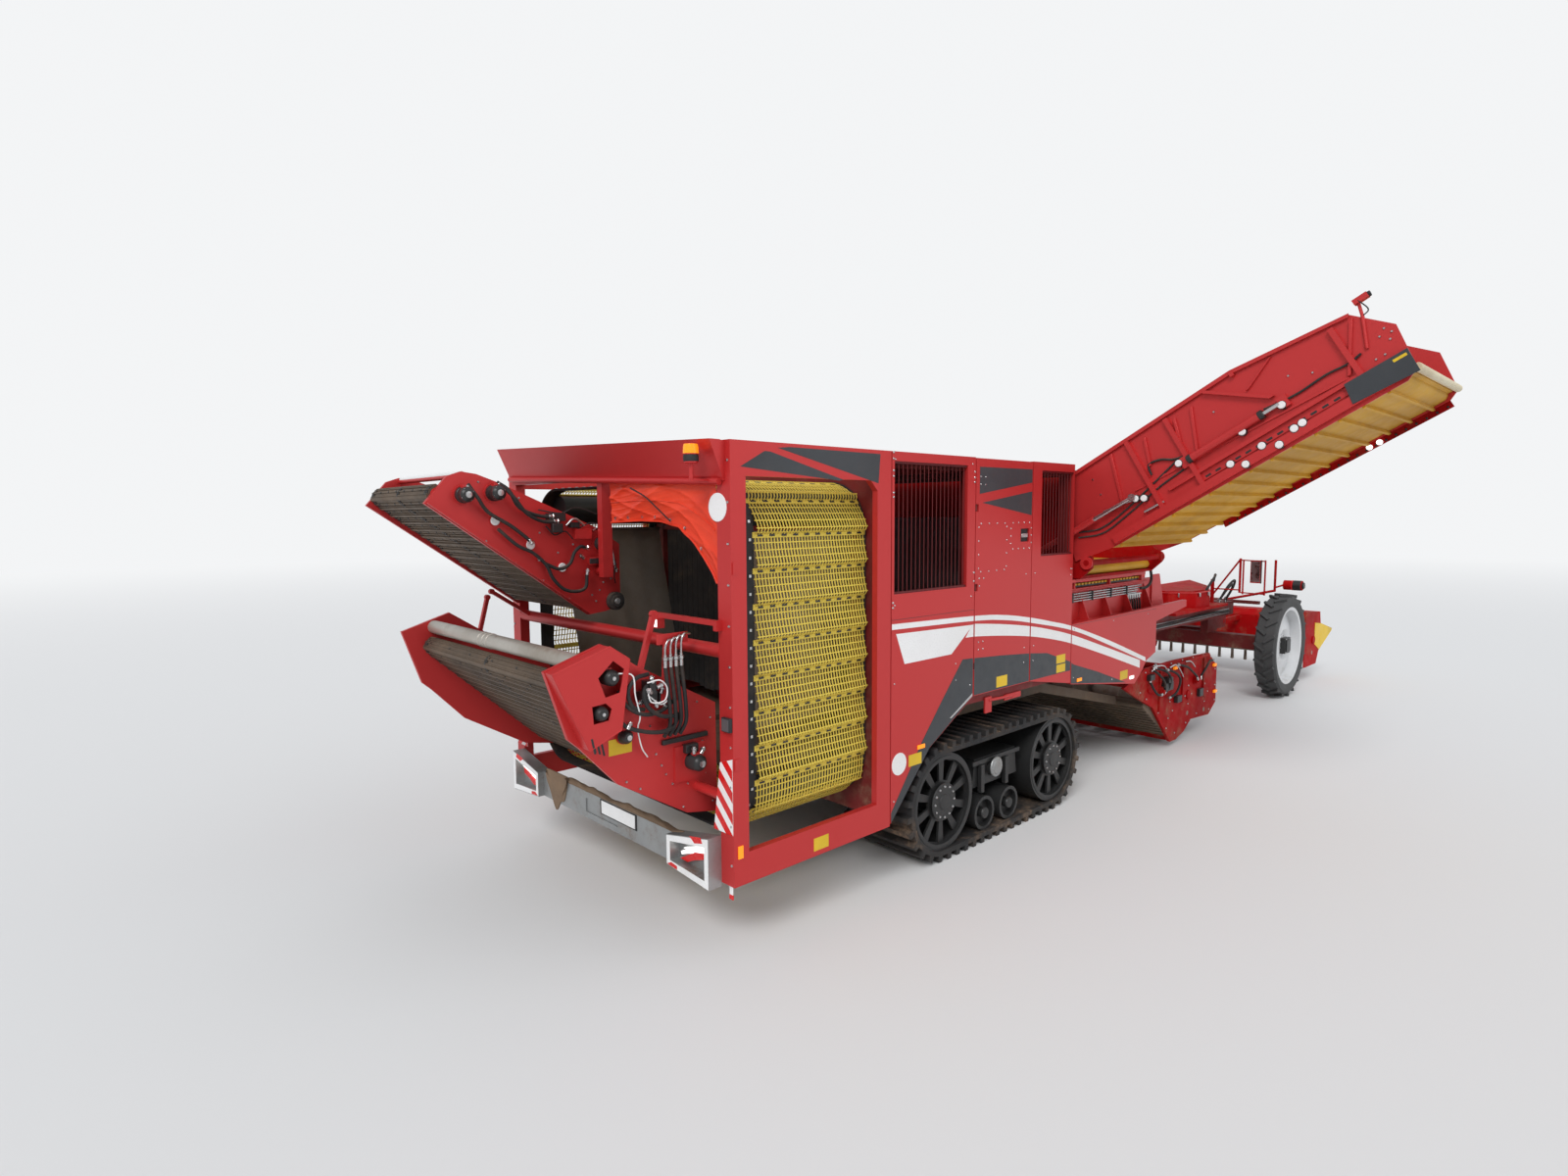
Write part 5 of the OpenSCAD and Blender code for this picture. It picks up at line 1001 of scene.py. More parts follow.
    def lamps(self, shop: Workshop) -> None:
        """Lens of the work lamp, the beacon's amber dome, the corner lamp and the blank disc."""
        shop.piece("work_lamp_lens", box(-0.1085, -0.100, -1.026, -0.934, 2.539, 2.601), LAMP_WHITE, bevel=0.003)
        dome_form = np.array([[0.059, 3.897], [0.057, 3.94], [0.0515, 3.9655]])
        shop.piece("beacon_dome", turned_form(dome_form, (-0.205, -1.65, 0), Axis.Z, 32), AMBER, smooth=True)
        base = np.array([[0.03, 3.835], [0.056, 3.84], [0.059, 3.862], [0.054, 3.896]])
        shop.piece("beacon_base", turned_form(base, (-0.205, -1.65, 0), Axis.Z, 32), BLACK_PLASTIC, smooth=True)
        case = box(-0.032, 0.0, -1.845, -1.745, 1.80, 1.91)
        lens = box(-0.036, -0.0315, -1.837, -1.753, 1.808, 1.902)
        for side in ("right", "left"):
            shop.piece(f"corner_lamp_{side}", on_side(case, side), BLACK_PLASTIC, bevel=0.005)
            shop.piece(f"corner_lens_{side}", on_side(lens, side), GREY, bevel=0.003)
        disc = turned_form(np.array([[0.10, -0.0055], [0.108, -0.004], [0.108, 0.0]]), (0.0, -1.70, 3.503), Axis.X, 40)
        shop.piece("rear_blank_disc", disc, WHITE_FILM)
        places = np.array([(0.0, -1.82, z) for z in np.arange(0.75, 3.9, 0.31)])
        head = dome(0.012, 0.010, 6).turned(Axis.Z, -90)
        both = joined(head.repeated(places), head.repeated(places * np.array([1, -1, 1])))
        shop.piece("post_bolts", both, STEEL, smooth=True)

    def strap(self, shop: Workshop) -> None:
        """The short strap with a red tip under each corner."""
        band = box(0.02, 0.026, -1.80, -1.76, 0.50, 0.582)
        tip = box(0.0185, 0.0275, -1.803, -1.757, 0.462, 0.50)
        for side in ("right", "left"):
            shop.piece(f"corner_strap_{side}", on_side(band, side), WHITE_FILM, bevel=0.001)
            # The red tips take the red lamps' glow: painted light, as they are no lamps.
            shop.piece(f"corner_strap_tip_{side}", on_side(tip, side), RED_LENS, bevel=0.001)

    def build(self, shop: Workshop) -> None:
        """Every piece of the rear face."""
        self.boards(shop)
        self.lamp_units(shop)
        self.plate(shop)
        self.soil(shop)
        self.lamps(shop)
        self.strap(shop)


@dataclass
class RodBelt:
    """Rods, edge belts and studs of one separating belt, on its plain loop."""

    name: str
    body: str
    head: tuple[float, float]
    foot: tuple[float, float]
    y0: float
    y1: float
    radius: float = 0.0765
    pitch: float = 0.036

    def path(self, s: Array, out: float) -> tuple[Array, Array]:
        """Points and normals (X, Z) round a loop over two wheels: up one straight, round, and back."""
        head, foot = np.array(self.head), np.array(self.foot)
        run = float(np.linalg.norm(head - foot))
        along = (head - foot) / run
        normal = np.array([-along[1], along[0]])
        bend = math.pi * self.radius
        s = np.mod(s, 2 * (run + bend))[:, None]
        turn_a, turn_b = (s - run) / self.radius, (s - 2 * run - bend) / self.radius
        face = np.where(s < run, normal, np.where(
            s < run + bend, np.cos(turn_a) * normal + np.sin(turn_a) * along,
            np.where(s < 2 * run + bend, -normal, -np.cos(turn_b) * normal - np.sin(turn_b) * along)))
        hub = np.where(s < run, foot + s * along, np.where(
            s < run + bend, head, np.where(s < 2 * run + bend, head - (s - run - bend) * along, foot)))
        return hub + (self.radius + out) * face, face

    def build(self, shop: Workshop) -> None:
        """Rods across the loop, three rubber bands over them and a stud on every rod's end."""
        run = float(np.linalg.norm(np.array(self.head) - np.array(self.foot)))
        length = 2 * (run + math.pi * self.radius)
        count = int(length / self.pitch)
        s = np.arange(count) * length / count
        place, normal = self.path(s, 0.003)
        zeros = np.zeros(count)
        bar = rod(0.0068, (0, self.y0 + 0.004, 0), (0, self.y1 - 0.004, 0), 6)
        spots = np.stack([place[:, 0], zeros, place[:, 1]], axis=1)
        shop.piece(f"{self.name}_rods", bar.repeated(spots), WEB_STEEL, self.body, smooth=True)
        middle = 0.5 * (self.y0 + self.y1)
        bands, studs = [], []
        fine = np.linspace(0, length, 160, endpoint=False)
        inner, _ = self.path(fine, -0.002)
        outer, _ = self.path(fine, 0.005)
        turns = np.stack([np.stack([-normal[:, 1], zeros, normal[:, 0]], axis=1),
                          np.stack([zeros, zeros + 1, zeros], axis=1),
                          np.stack([normal[:, 0], zeros, normal[:, 1]], axis=1)], axis=2)
        crown, _ = self.path(s, 0.0045)
        for centre, half in ((self.y0 + 0.045, 0.035), (middle, 0.028), (self.y1 - 0.045, 0.035)):
            rows = np.stack([np.stack([inner[:, 0], 0 * fine + centre - half, inner[:, 1]], axis=1),
                             np.stack([inner[:, 0], 0 * fine + centre + half, inner[:, 1]], axis=1),
                             np.stack([outer[:, 0], 0 * fine + centre + half, outer[:, 1]], axis=1),
                             np.stack([outer[:, 0], 0 * fine + centre - half, outer[:, 1]], axis=1)], axis=1)
            bands.append(grid(np.concatenate([rows, rows[:1]]), around=True))
            knob = box(-0.009, 0.009, centre - 0.011, centre + 0.011, 0.0, 0.0055)
            studs.append(knob.repeated(np.stack([crown[:, 0], zeros, crown[:, 1]], axis=1), turns))
        wide = np.linspace(self.y0 + 0.16, self.y1 - 0.16, 12)
        button = box(-0.008, 0.008, -0.008, 0.008, -0.004, 0.0068)
        for k in (0, 1):
            chosen = np.arange(count) % 6 == 3 * k
            for y in wide[k::2]:
                studs.append(button.repeated(np.stack([crown[chosen, 0], zeros[chosen] + y, crown[chosen, 1]], axis=1),
                                             turns[chosen]))
        shop.piece(f"{self.name}_bands", joined(*bands), RUBBER, self.body, smooth=True)
        shop.piece(f"{self.name}_studs", joined(*studs), BLACK, self.body)


@dataclass
class UpperHydraulics:
    """Motors' caps, hoses and fittings on the upper conveyor's right cheek."""

    face: float = 0.15
    caps: tuple = ((-0.923, 3.409), (-0.614, 3.198), (-0.319, 2.988))
    motors: tuple = ((-1.186, 3.622, 0.062, 0.110), (-0.93, 3.64, 0.062, 0.130), (0.07, 3.19, 0.058, 0.060))

    def build(self, shop: Workshop) -> None:
        """Everything on the cheek, riding with the conveyor."""
        body, y = "rear_upper", self.face
        cap = turned_form(np.array([[0.014, -0.006], [0.034, -0.006], [0.040, -0.002], [0.040, 0.0]]), (0, 0, 0),
                          Axis.Y, 28)
        shop.piece("upper_caps", cap.repeated(np.array([(x, y - 0.016, z) for x, z in self.caps])), WHITE_FILM, body)
        bosses, dark, bright = [], [], []
        for x, z, r, l in self.motors:
            profile = np.array([[0.5 * r, -0.028], [0.62 * r, -0.026], [1.02 * r, 0.002], [1.03 * r, 0.02],
                                [1.02 * r, 0.5 * l], [1.1 * r, 0.55 * l], [1.1 * r, 0.9 * l]])
            dark.append(turned_form(profile, (x, y - l, z), Axis.Y, 28))
            bright.append(turned_form(np.array([[0.2 * r, -0.036], [0.42 * r, -0.034], [0.45 * r, -0.025]]),
                                      (x, y - l, z), Axis.Y, 20))
            ring = np.linspace(0, 2 * np.pi, 4, endpoint=False) + 0.5
            spots = np.stack([x + 0.8 * r * np.cos(ring), 0 * ring + y - l, z + 0.8 * r * np.sin(ring)], axis=1)
            bosses.append(dome(0.009, 0.010, 6).repeated(spots))
        shop.piece("upper_motor_bodies", joined(*dark), BLACK, body, smooth=True)
        shop.piece("upper_motor_ends", joined(*bright), STEEL, body, smooth=True)
        shop.piece("upper_motor_bolts", joined(*bosses), STEEL, body, smooth=True)
        thick = (((-1.17, 0.07, 3.71), (-1.10, 0.05, 3.60), (-1.00, 0.085, 3.48), (-0.80, 0.09, 3.36),
                  (-0.62, 0.085, 3.22)),
                 ((-0.93, 0.06, 3.73), (-0.84, 0.03, 3.66), (-0.74, 0.06, 3.52), (-0.56, 0.085, 3.45),
                  (-0.40, 0.085, 3.44)),
                 ((-0.90, 0.05, 3.71), (-0.80, 0.02, 3.60), (-0.68, 0.05, 3.47), (-0.52, 0.075, 3.40),
                  (-0.36, 0.075, 3.40)),
                 ((-0.92, 0.09, 3.34), (-0.76, 0.08, 3.20), (-0.62, 0.08, 3.13), (-0.50, 0.08, 3.02),
                  (-0.44, 0.08, 2.90),
                  (-0.34, 0.08, 2.80), (-0.22, 0.08, 2.77), (-0.12, 0.085, 2.80), (-0.10, 0.09, 2.92)),
                 ((-0.50, 0.09, 3.03), (-0.38, 0.08, 2.98), (-0.28, 0.07, 3.02), (-0.23, 0.07, 3.12),
                  (-0.17, 0.07, 3.17),
                  (-0.11, 0.085, 3.16)))
        shop.piece("upper_hoses", hose_set(thick, 0.0155), RUBBER, body, smooth=True)
        thin = (((-0.55, 0.10, 3.50), (-0.35, 0.08, 3.47), (-0.20, 0.07, 3.52), (0.02, 0.09, 3.46)),
                ((-0.48, 0.11, 3.36), (-0.40, 0.10, 3.28), (-0.30, 0.10, 3.31), (-0.22, 0.11, 3.24)),
                ((0.16, 0.10, 3.10), (0.19, 0.07, 3.00), (0.17, 0.07, 2.90), (0.20, 0.10, 2.82)),
                ((-0.18, 0.10, 3.33), (-0.06, 0.08, 3.38), (0.06, 0.09, 3.36), (0.18, 0.11, 3.30)))
        shop.piece("upper_cables", hose_set(thin, 0.006, 8), BLACK, body, smooth=True)
        ends = [ferrule((-0.46, 0.085, 3.445), (1, 0, -0.05)), ferrule((-0.42, 0.075, 3.40), (1, 0, 0)),
                ferrule((-0.65, 0.085, 3.25), (0.5, 0, -0.6)), ferrule((-0.52, 0.09, 3.05), (-0.8, 0, 0.5)),
                ferrule((-0.13, 0.085, 3.16), (1, 0, 0)), ferrule((-0.10, 0.09, 2.91), (0.2, 0, 1)),
                ferrule((-1.17, 0.07, 3.70), (0, 0, -1)), ferrule((-0.92, 0.055, 3.72), (0.5, 0, -0.5)),
                ferrule((0.18, 0.08, 2.98), (0.4, 0, -1)), ferrule((-0.12, 0.10, 3.06), (-0.7, 0, 0.6))]
        elbows = hose_set((((-0.03, 0.09, 3.31), (0.03, 0.088, 3.33), (0.12, 0.085, 3.30), (0.15, 0.08, 3.20)),
                           ((0.15, 0.08, 3.16), (0.17, 0.08, 3.08), (0.18, 0.08, 2.99)),
                           ((-0.30, 0.08, 3.36), (-0.22, 0.07, 3.42), (-0.12, 0.08, 3.36))), 0.0105)
        shop.piece("upper_fittings", joined(*ends, elbows), STEEL, body, smooth=True)
        blocks = joined(box(-0.46, -0.30, y - 0.075, y - 0.0, 3.40, 3.47),
                        box(-0.44, -0.34, y - 0.095, y - 0.05, 3.30, 3.38),
                        box(-0.25, -0.16, y - 0.07, y - 0.01, 3.34, 3.39),
                        box(-0.08, 0.06, y - 0.085, y - 0.07, 3.01, 3.06))
        shop.piece("upper_valves", blocks, BLACK, body, bevel=0.006)
        wheel = np.array([[0.02, -0.012], [0.05, -0.014], [0.062, -0.004], [0.082, -0.002], [0.086, 0.004],
                          [0.086, 0.05],
                          [0.080, 0.056]])
        shop.piece("support_wheel", turned_form(wheel, (0.206, y - 0.06, 2.65), Axis.Y, 32), RUBBER, body, smooth=True)
        hub = turned_form(np.array([[0.012, -0.02], [0.026, -0.018], [0.03, -0.01]]), (0.206, y - 0.062, 2.65),
                          Axis.Y, 20)
        shop.piece("support_wheel_hub", hub, ZINC, body, smooth=True)
        spots = [(-0.02, 2.72), (0.06, 2.76), (0.02, 2.66), (0.18, 2.86), (0.10, 2.83), (-0.35, 3.12), (-0.52, 3.30),
                 (-0.2, 3.19), (-1.25, 3.62), (-1.05, 3.73), (-0.7, 3.60), (-0.3, 3.44), (0.2, 3.18), (0.24, 2.66),
                 (-0.75, 3.05), (-1.0, 3.24), (-0.5, 2.88), (-0.25, 2.70)]
        bolts = dome(0.010, 0.009, 6).repeated(np.array([(a, y, b) for a, b in spots]))
        shop.piece("upper_cheek_bolts", bolts, ZINC, body, smooth=True)
        head = rod(0.028, (-1.165, self.face + 0.045, 3.793), (-1.165, 1.605, 3.793), 20)
        shop.piece("upper_head_bar", head, WHITE_FILM, body, smooth=True)


@dataclass
class LowerHydraulics:
    """Drive, hoses, fittings and label on the lower conveyor's right cheek."""

    face: float = -1.33
    box_face: float = -1.45

    def drive(self, shop: Workshop, body: str) -> None:
        """Motors in the box's windows, its slots and folded edges."""
        dark, bright = [], []
        for x, z, r in ((-0.79, 2.275, 0.060), (-0.88, 2.025, 0.054)):
            profile = np.array([[0.4 * r, -0.034], [0.7 * r, -0.032], [0.98 * r, -0.012], [r, 0.0], [r, 0.085]])
            dark.append(turned_form(profile, (x, self.box_face + 0.012, z), Axis.Y, 28))
            bright.append(turned_form(np.array([[0.10 * r, -0.042], [0.24 * r, -0.041], [0.26 * r, -0.033]]),
                                      (x, self.box_face + 0.012, z), Axis.Y, 16))
        for x, z, r, l in ((-0.64, 1.80, 0.052, 0.06), (-0.02, 1.485, 0.064, 0.13)):
            profile = np.array([[0.5 * r, -0.030], [0.64 * r, -0.028], [1.02 * r, 0.002], [1.03 * r, 0.5 * l],
                                [1.1 * r, 0.55 * l], [1.1 * r, 0.9 * l]])
            dark.append(turned_form(profile, (x, self.face - l, z), Axis.Y, 28))
            bright.append(turned_form(np.array([[0.2 * r, -0.040], [0.4 * r, -0.038], [0.43 * r, -0.029]]),
                                      (x, self.face - l, z), Axis.Y, 16))
        shop.piece("lower_motor_bodies", joined(*dark), BLACK, body, smooth=True)
        shop.piece("lower_motor_ends", joined(*bright), STEEL, body, smooth=True)
        # The slots are not cut: thin black films on the faces paint the shade inside them.
        slots = []
        for k in range(4):
            x, z = -0.978 + 0.036 * k, 1.86 - 0.018 * k
            slots.append(np.array([(x, z), (x + 0.017, z), (x + 0.042, z - 0.115), (x + 0.025, z - 0.115)]))
        slot_shade = joined(*(prism(s, self.box_face - 0.0012, self.box_face + 0.001, Axis.Y) for s in slots[:1]),
                      *(prism(s + np.array([0.035, -0.012]), self.face - 0.0012, self.face + 0.001, Axis.Y)
                        for s in slots[1:]))
        shop.piece("lower_slots", slot_shade, BLACK, body)
        rim = [(-1.255, 2.360), (-0.803, 2.505), (-0.640, 2.395), (-0.720, 1.880), (-0.985, 1.775)]
        fold = []
        for i in range(5):
            (ax, az), (bx, bz) = rim[i], rim[(i + 1) % 5]
            fold.append(pipe(np.array([(ax, self.box_face + 0.004, az),
                                       ((ax + bx) / 2, self.box_face + 0.004, (az + bz) / 2),
                                       (bx, self.box_face + 0.004, bz)]), 0.006, 8, 2))
        shop.piece("drive_box_edges", joined(*fold), PAINT, body, smooth=True)

    def hoses(self, shop: Workshop, body: str) -> None:
        """Thick loops, upright hoses from their fittings, bent pipes and cables."""
        y = self.face
        loops = (((-0.70, y - 0.05, 2.16), (-0.66, y - 0.085, 2.05), (-0.55, y - 0.10, 1.97), (-0.42, y - 0.10, 1.95),
                  (-0.28, y - 0.09, 1.99), (-0.20, y - 0.06, 2.06)),
                 ((-0.74, y - 0.05, 2.02), (-0.68, y - 0.09, 1.90), (-0.52, y - 0.11, 1.83), (-0.36, y - 0.11, 1.80),
                  (-0.24, y - 0.09, 1.82), (-0.16, y - 0.05, 1.90)),
                 ((-0.445, y - 0.06, 2.25), (-0.58, y - 0.10, 2.24), (-0.65, y - 0.10, 2.152), (-0.61, y - 0.10, 2.03),
                  (-0.50, y - 0.08, 1.99)),
                 ((-0.42, y - 0.05, 2.18), (-0.52, y - 0.12, 2.14), (-0.50, y - 0.13, 2.02), (-0.38, y - 0.13, 1.93),
                  (-0.22, y - 0.10, 1.90)))
        shop.piece("lower_hose_loops", hose_set(loops, 0.0165), RUBBER, body, smooth=True)
        upright = tuple(((x, y - 0.12, 2.31), (x + 0.012, y - 0.13, 2.15), (x + 0.03, y - 0.13, 1.98),
                         (x + 0.05, y - 0.10, 1.84), (x + 0.02, y - 0.06, 1.74)) for x in (-0.33, -0.28, -0.23, -0.18))
        shop.piece("lower_hoses_upright", hose_set(upright, 0.016), RUBBER, body, smooth=True)
        ends = [ferrule((x, y - 0.12, 2.29), (0, 0, 1), 0.018, 0.10) for x in (-0.33, -0.28, -0.23, -0.18)]
        pipes = tuple(((x, y - 0.12, 2.38), (x + 0.005, y - 0.12, 2.45 + 0.012 * k),
                       (x + 0.03, y - 0.12, 2.495 + 0.012 * k),
                       (x + 0.06, y - 0.11, 2.50 + 0.012 * k), (x + 0.10, y - 0.10, 2.49 + 0.012 * k))
                      for k, x in enumerate((-0.33, -0.28, -0.23, -0.18)))
        shop.piece("lower_pipes", joined(hose_set(pipes, 0.0095), *ends), STEEL, body, smooth=True)
        bracket = joined(box(-0.38, -0.09, y - 0.090, y - 0.078, 2.465, 2.545),
                         prism(np.array([(-0.32, 2.47), (-0.23, 2.47), (-0.17, 2.02), (-0.35, 2.02)]), y - 0.09,
                               y - 0.078, Axis.Y),
                         box(-0.35, -0.17, y - 0.09, y + 0.0, 2.02, 2.034))
        shop.piece("lower_pipe_bracket", bracket, PAINT, body, bevel=0.003)
        cables = (((-0.74, y - 0.10, 2.30), (-0.62, y - 0.12, 2.27), (-0.60, y - 0.12, 2.12), (-0.55, y - 0.10, 1.95),
                   (-0.546, y - 0.06, 1.846), (-0.509, y - 0.05, 1.696), (-0.439, y - 0.02, 1.60)),
                  ((-0.50, y - 0.13, 2.20), (-0.40, y - 0.15, 2.21), (-0.33, y - 0.14, 2.14), (-0.36, y - 0.15, 2.05),
                   (-0.47, y - 0.14, 2.05), (-0.50, y - 0.13, 2.14)),
                  ((-0.48, y - 0.10, 2.10), (-0.38, y - 0.13, 2.02), (-0.28, y - 0.10, 2.06), (-0.30, y - 0.10, 2.17)))
        shop.piece("lower_thin_cables", hose_set(cables, 0.0055, 8), WHITE_FILM, body, smooth=True)

    def build(self, shop: Workshop) -> None:
        """Everything on the cheek, riding with the conveyor."""
        body, y = "rear_lower", self.face
        self.drive(shop, body)
        self.hoses(shop, body)
        cluster = joined(box(-0.52, -0.38, y - 0.09, y, 2.03, 2.12), box(-0.47, -0.41, y - 0.12, y, 2.10, 2.20),
                         box(-0.36, -0.30, y - 0.08, y, 2.00, 2.10), box(-0.30, 0.14, y - 0.03, y, 1.66, 1.70),
                         box(-0.10, 0.02, y - 0.06, y, 1.56, 1.63))
        shop.piece("lower_valves", cluster, BLACK, body, bevel=0.006)
        ends = [ferrule((-0.44, y - 0.115, 2.19), (-0.3, 0, 1)), ferrule((-0.41, y - 0.12, 2.15), (1, 0, 0.3)),
                ferrule((-0.50, y - 0.085, 2.06), (-1, 0, -0.3)), ferrule((-0.35, y - 0.08, 2.09), (0.4, 0, 1)),
                ferrule((-0.33, y - 0.085, 2.02), (0.5, 0, -1)), ferrule((-0.66, y - 0.10, 1.87), (0.6, 0, 1)),
                ferrule((-0.05, y - 0.09, 1.56), (0, 0, 1)), ferrule((0.01, y - 0.10, 1.55), (0.7, 0, 1)),
                ferrule((-0.46, y - 0.12, 2.12), (-0.6, -0.3, 0.4)), ferrule((-0.42, y - 0.10, 2.05), (0.2, -0.4, -1))]
        shop.piece("lower_fittings", joined(*ends), STEEL, body, smooth=True)
        label = box(-0.765, -0.565, y - 0.002, y + 0.0003, 1.665, 1.785)
        shop.piece("lower_label", label, YELLOW_LABEL, body)
        spots = [(-0.35, 1.60), (-0.30, 1.50), (-0.16, 1.52), (-0.12, 1.42), (-0.26, 1.42), (0.10, 1.62), (0.12, 1.35),
                 (-0.05, 1.30), (-0.20, 1.33), (0.18, 1.80), (0.20, 1.10), (-0.10, 1.12), (-0.62, 1.44), (-0.5, 1.36),
                 (-0.40, 1.83), (0.05, 1.95), (-0.98, 1.86)]
        bolts = dome(0.011, 0.010, 6).repeated(np.array([(a, y, b) for a, b in spots]))
        shop.piece("lower_cheek_bolts", bolts, STEEL, body, smooth=True)
        tube = rod(0.0625, (-0.96, -1.285, 2.385), (-0.96, 1.525, 2.385), 40)
        rings = [turned_form(np.array([[0.0625, -0.012], [0.068, -0.008], [0.068, 0.008], [0.0625, 0.012]]),
                             (-0.96, a, 2.385), Axis.Y, 40, bored=True) for a in (0.20, 0.28, 0.36)]
        shop.piece("lower_roller_tube", joined(tube, *rings), PALE_STEEL, body, smooth=True)


@dataclass
class Undercarriage:
    """Bolts, covers and brackets of the tracks, on both sides."""

    wheels: tuple = ((2.706, 0.5973), (4.801, 0.5973))
    rollers: tuple = ((3.448, 0.291), (3.911, 0.291))
    face: float = -1.825

    def wheel(self, x: float, z: float) -> tuple[Shape, Shape]:
        """Hub flange with a raised cap, and its twelve bolts."""
        hub = turned_form(np.array([[0.05, -0.022], [0.075, -0.020], [0.085, -0.008], [0.185, -0.006], [0.19, 0.0]]),
                          (x, self.face, z), Axis.Y, 48)
        turn = np.linspace(0, 2 * np.pi, 12, endpoint=False)
        spots = np.stack([x + 0.155 * np.cos(turn), 0 * turn + self.face - 0.006, z + 0.155 * np.sin(turn)], axis=1)
        return hub, dome(0.014, 0.014, 6).repeated(spots)

    def build(self, shop: Workshop) -> None:
        """Both sides' pieces."""
        hubs, bolts = zip(*(self.wheel(x, z) for x, z in self.wheels))
        rims = [turned_form(np.array([[0.425, -0.004], [0.440, -0.006], [0.462, -0.004], [0.466, 0.006]]),
                            (x, self.face, z), Axis.Y, 64, bored=True) for x, z in self.wheels]
        caps = [turned_form(np.array([[0.03, -0.014], [0.055, -0.012], [0.062, 0.0]]), (x, -1.81, z), Axis.Y, 32)
                for x, z in self.rollers]
        cover = turned_form(np.array([[0.02, -0.022], [0.07, -0.020], [0.078, -0.012], [0.104, -0.010], [0.110, 0.0]]),
                            (3.687, -1.79, 0.735), Axis.Y, 48)
        turn = np.linspace(0, 2 * np.pi, 8, endpoint=False)
        cover_bolts = dome(0.008, 0.006, 6).repeated(
            np.stack([3.687 + 0.09 * np.cos(turn), 0 * turn - 1.80, 0.735 + 0.09 * np.sin(turn)], axis=1))
        arm = joined(box(3.30, 4.20, -1.76, -1.735, 0.80, 0.85), box(3.42, 3.48, -1.785, -1.735, 0.50, 0.80),
                     box(3.88, 3.94, -1.785, -1.735, 0.50, 0.80))
        clip = joined(box(3.43, 3.55, -1.81, -1.79, 1.36, 1.53), box(3.80, 4.12, -1.81, -1.79, 1.44, 1.50),
                      rod(0.018, (3.50, -1.80, 1.49), (3.95, -1.80, 1.47), 12))
        for side in ("right", "left"):
            shop.piece(f"track_hubs_{side}", on_side(joined(*hubs, *rims), side), BLACK, smooth=True)
            shop.piece(f"track_hub_bolts_{side}", on_side(joined(*bolts, cover_bolts), side), STEEL, smooth=True)
            shop.piece(f"track_roller_caps_{side}", on_side(joined(*caps), side), BLACK, smooth=True)
            shop.piece(f"track_cover_{side}", on_side(cover, side), ZINC, smooth=True)
            shop.piece(f"track_frame_arms_{side}", on_side(arm, side), BLACK, bevel=0.006)
            shop.piece(f"arch_bracket_{side}", on_side(clip, side), PAINT, bevel=0.004)


# ---------------------------------------------------------------- elevator and bunker

def pad(x0: float, x1: float, y0: float, y1: float, z0: float, z1: float, square: float = 0.32) -> Shape:
    """A crowned cushion: a superellipsoid, whose sines and cosines are raised to a power below one."""
    u = np.linspace(-np.pi / 2, np.pi / 2, 25)[:, None]
    v = np.linspace(0, 2 * np.pi, 48, endpoint=False)[None]

    def power(value: Array) -> Array:
        """The value's size raised to the power, with its sign kept."""
        return np.sign(value) * np.abs(value) ** square

    ball = np.stack([power(np.cos(u)) * power(np.cos(v)), power(np.cos(u)) * power(np.sin(v)),
                     power(np.sin(u)) + 0 * v],
                    axis=-1)
    half = np.array([x1 - x0, y1 - y0, z1 - z0]) / 2
    return grid(ball * half + np.array([x0 + x1, y0 + y1, z0 + z1]) / 2, around=True)


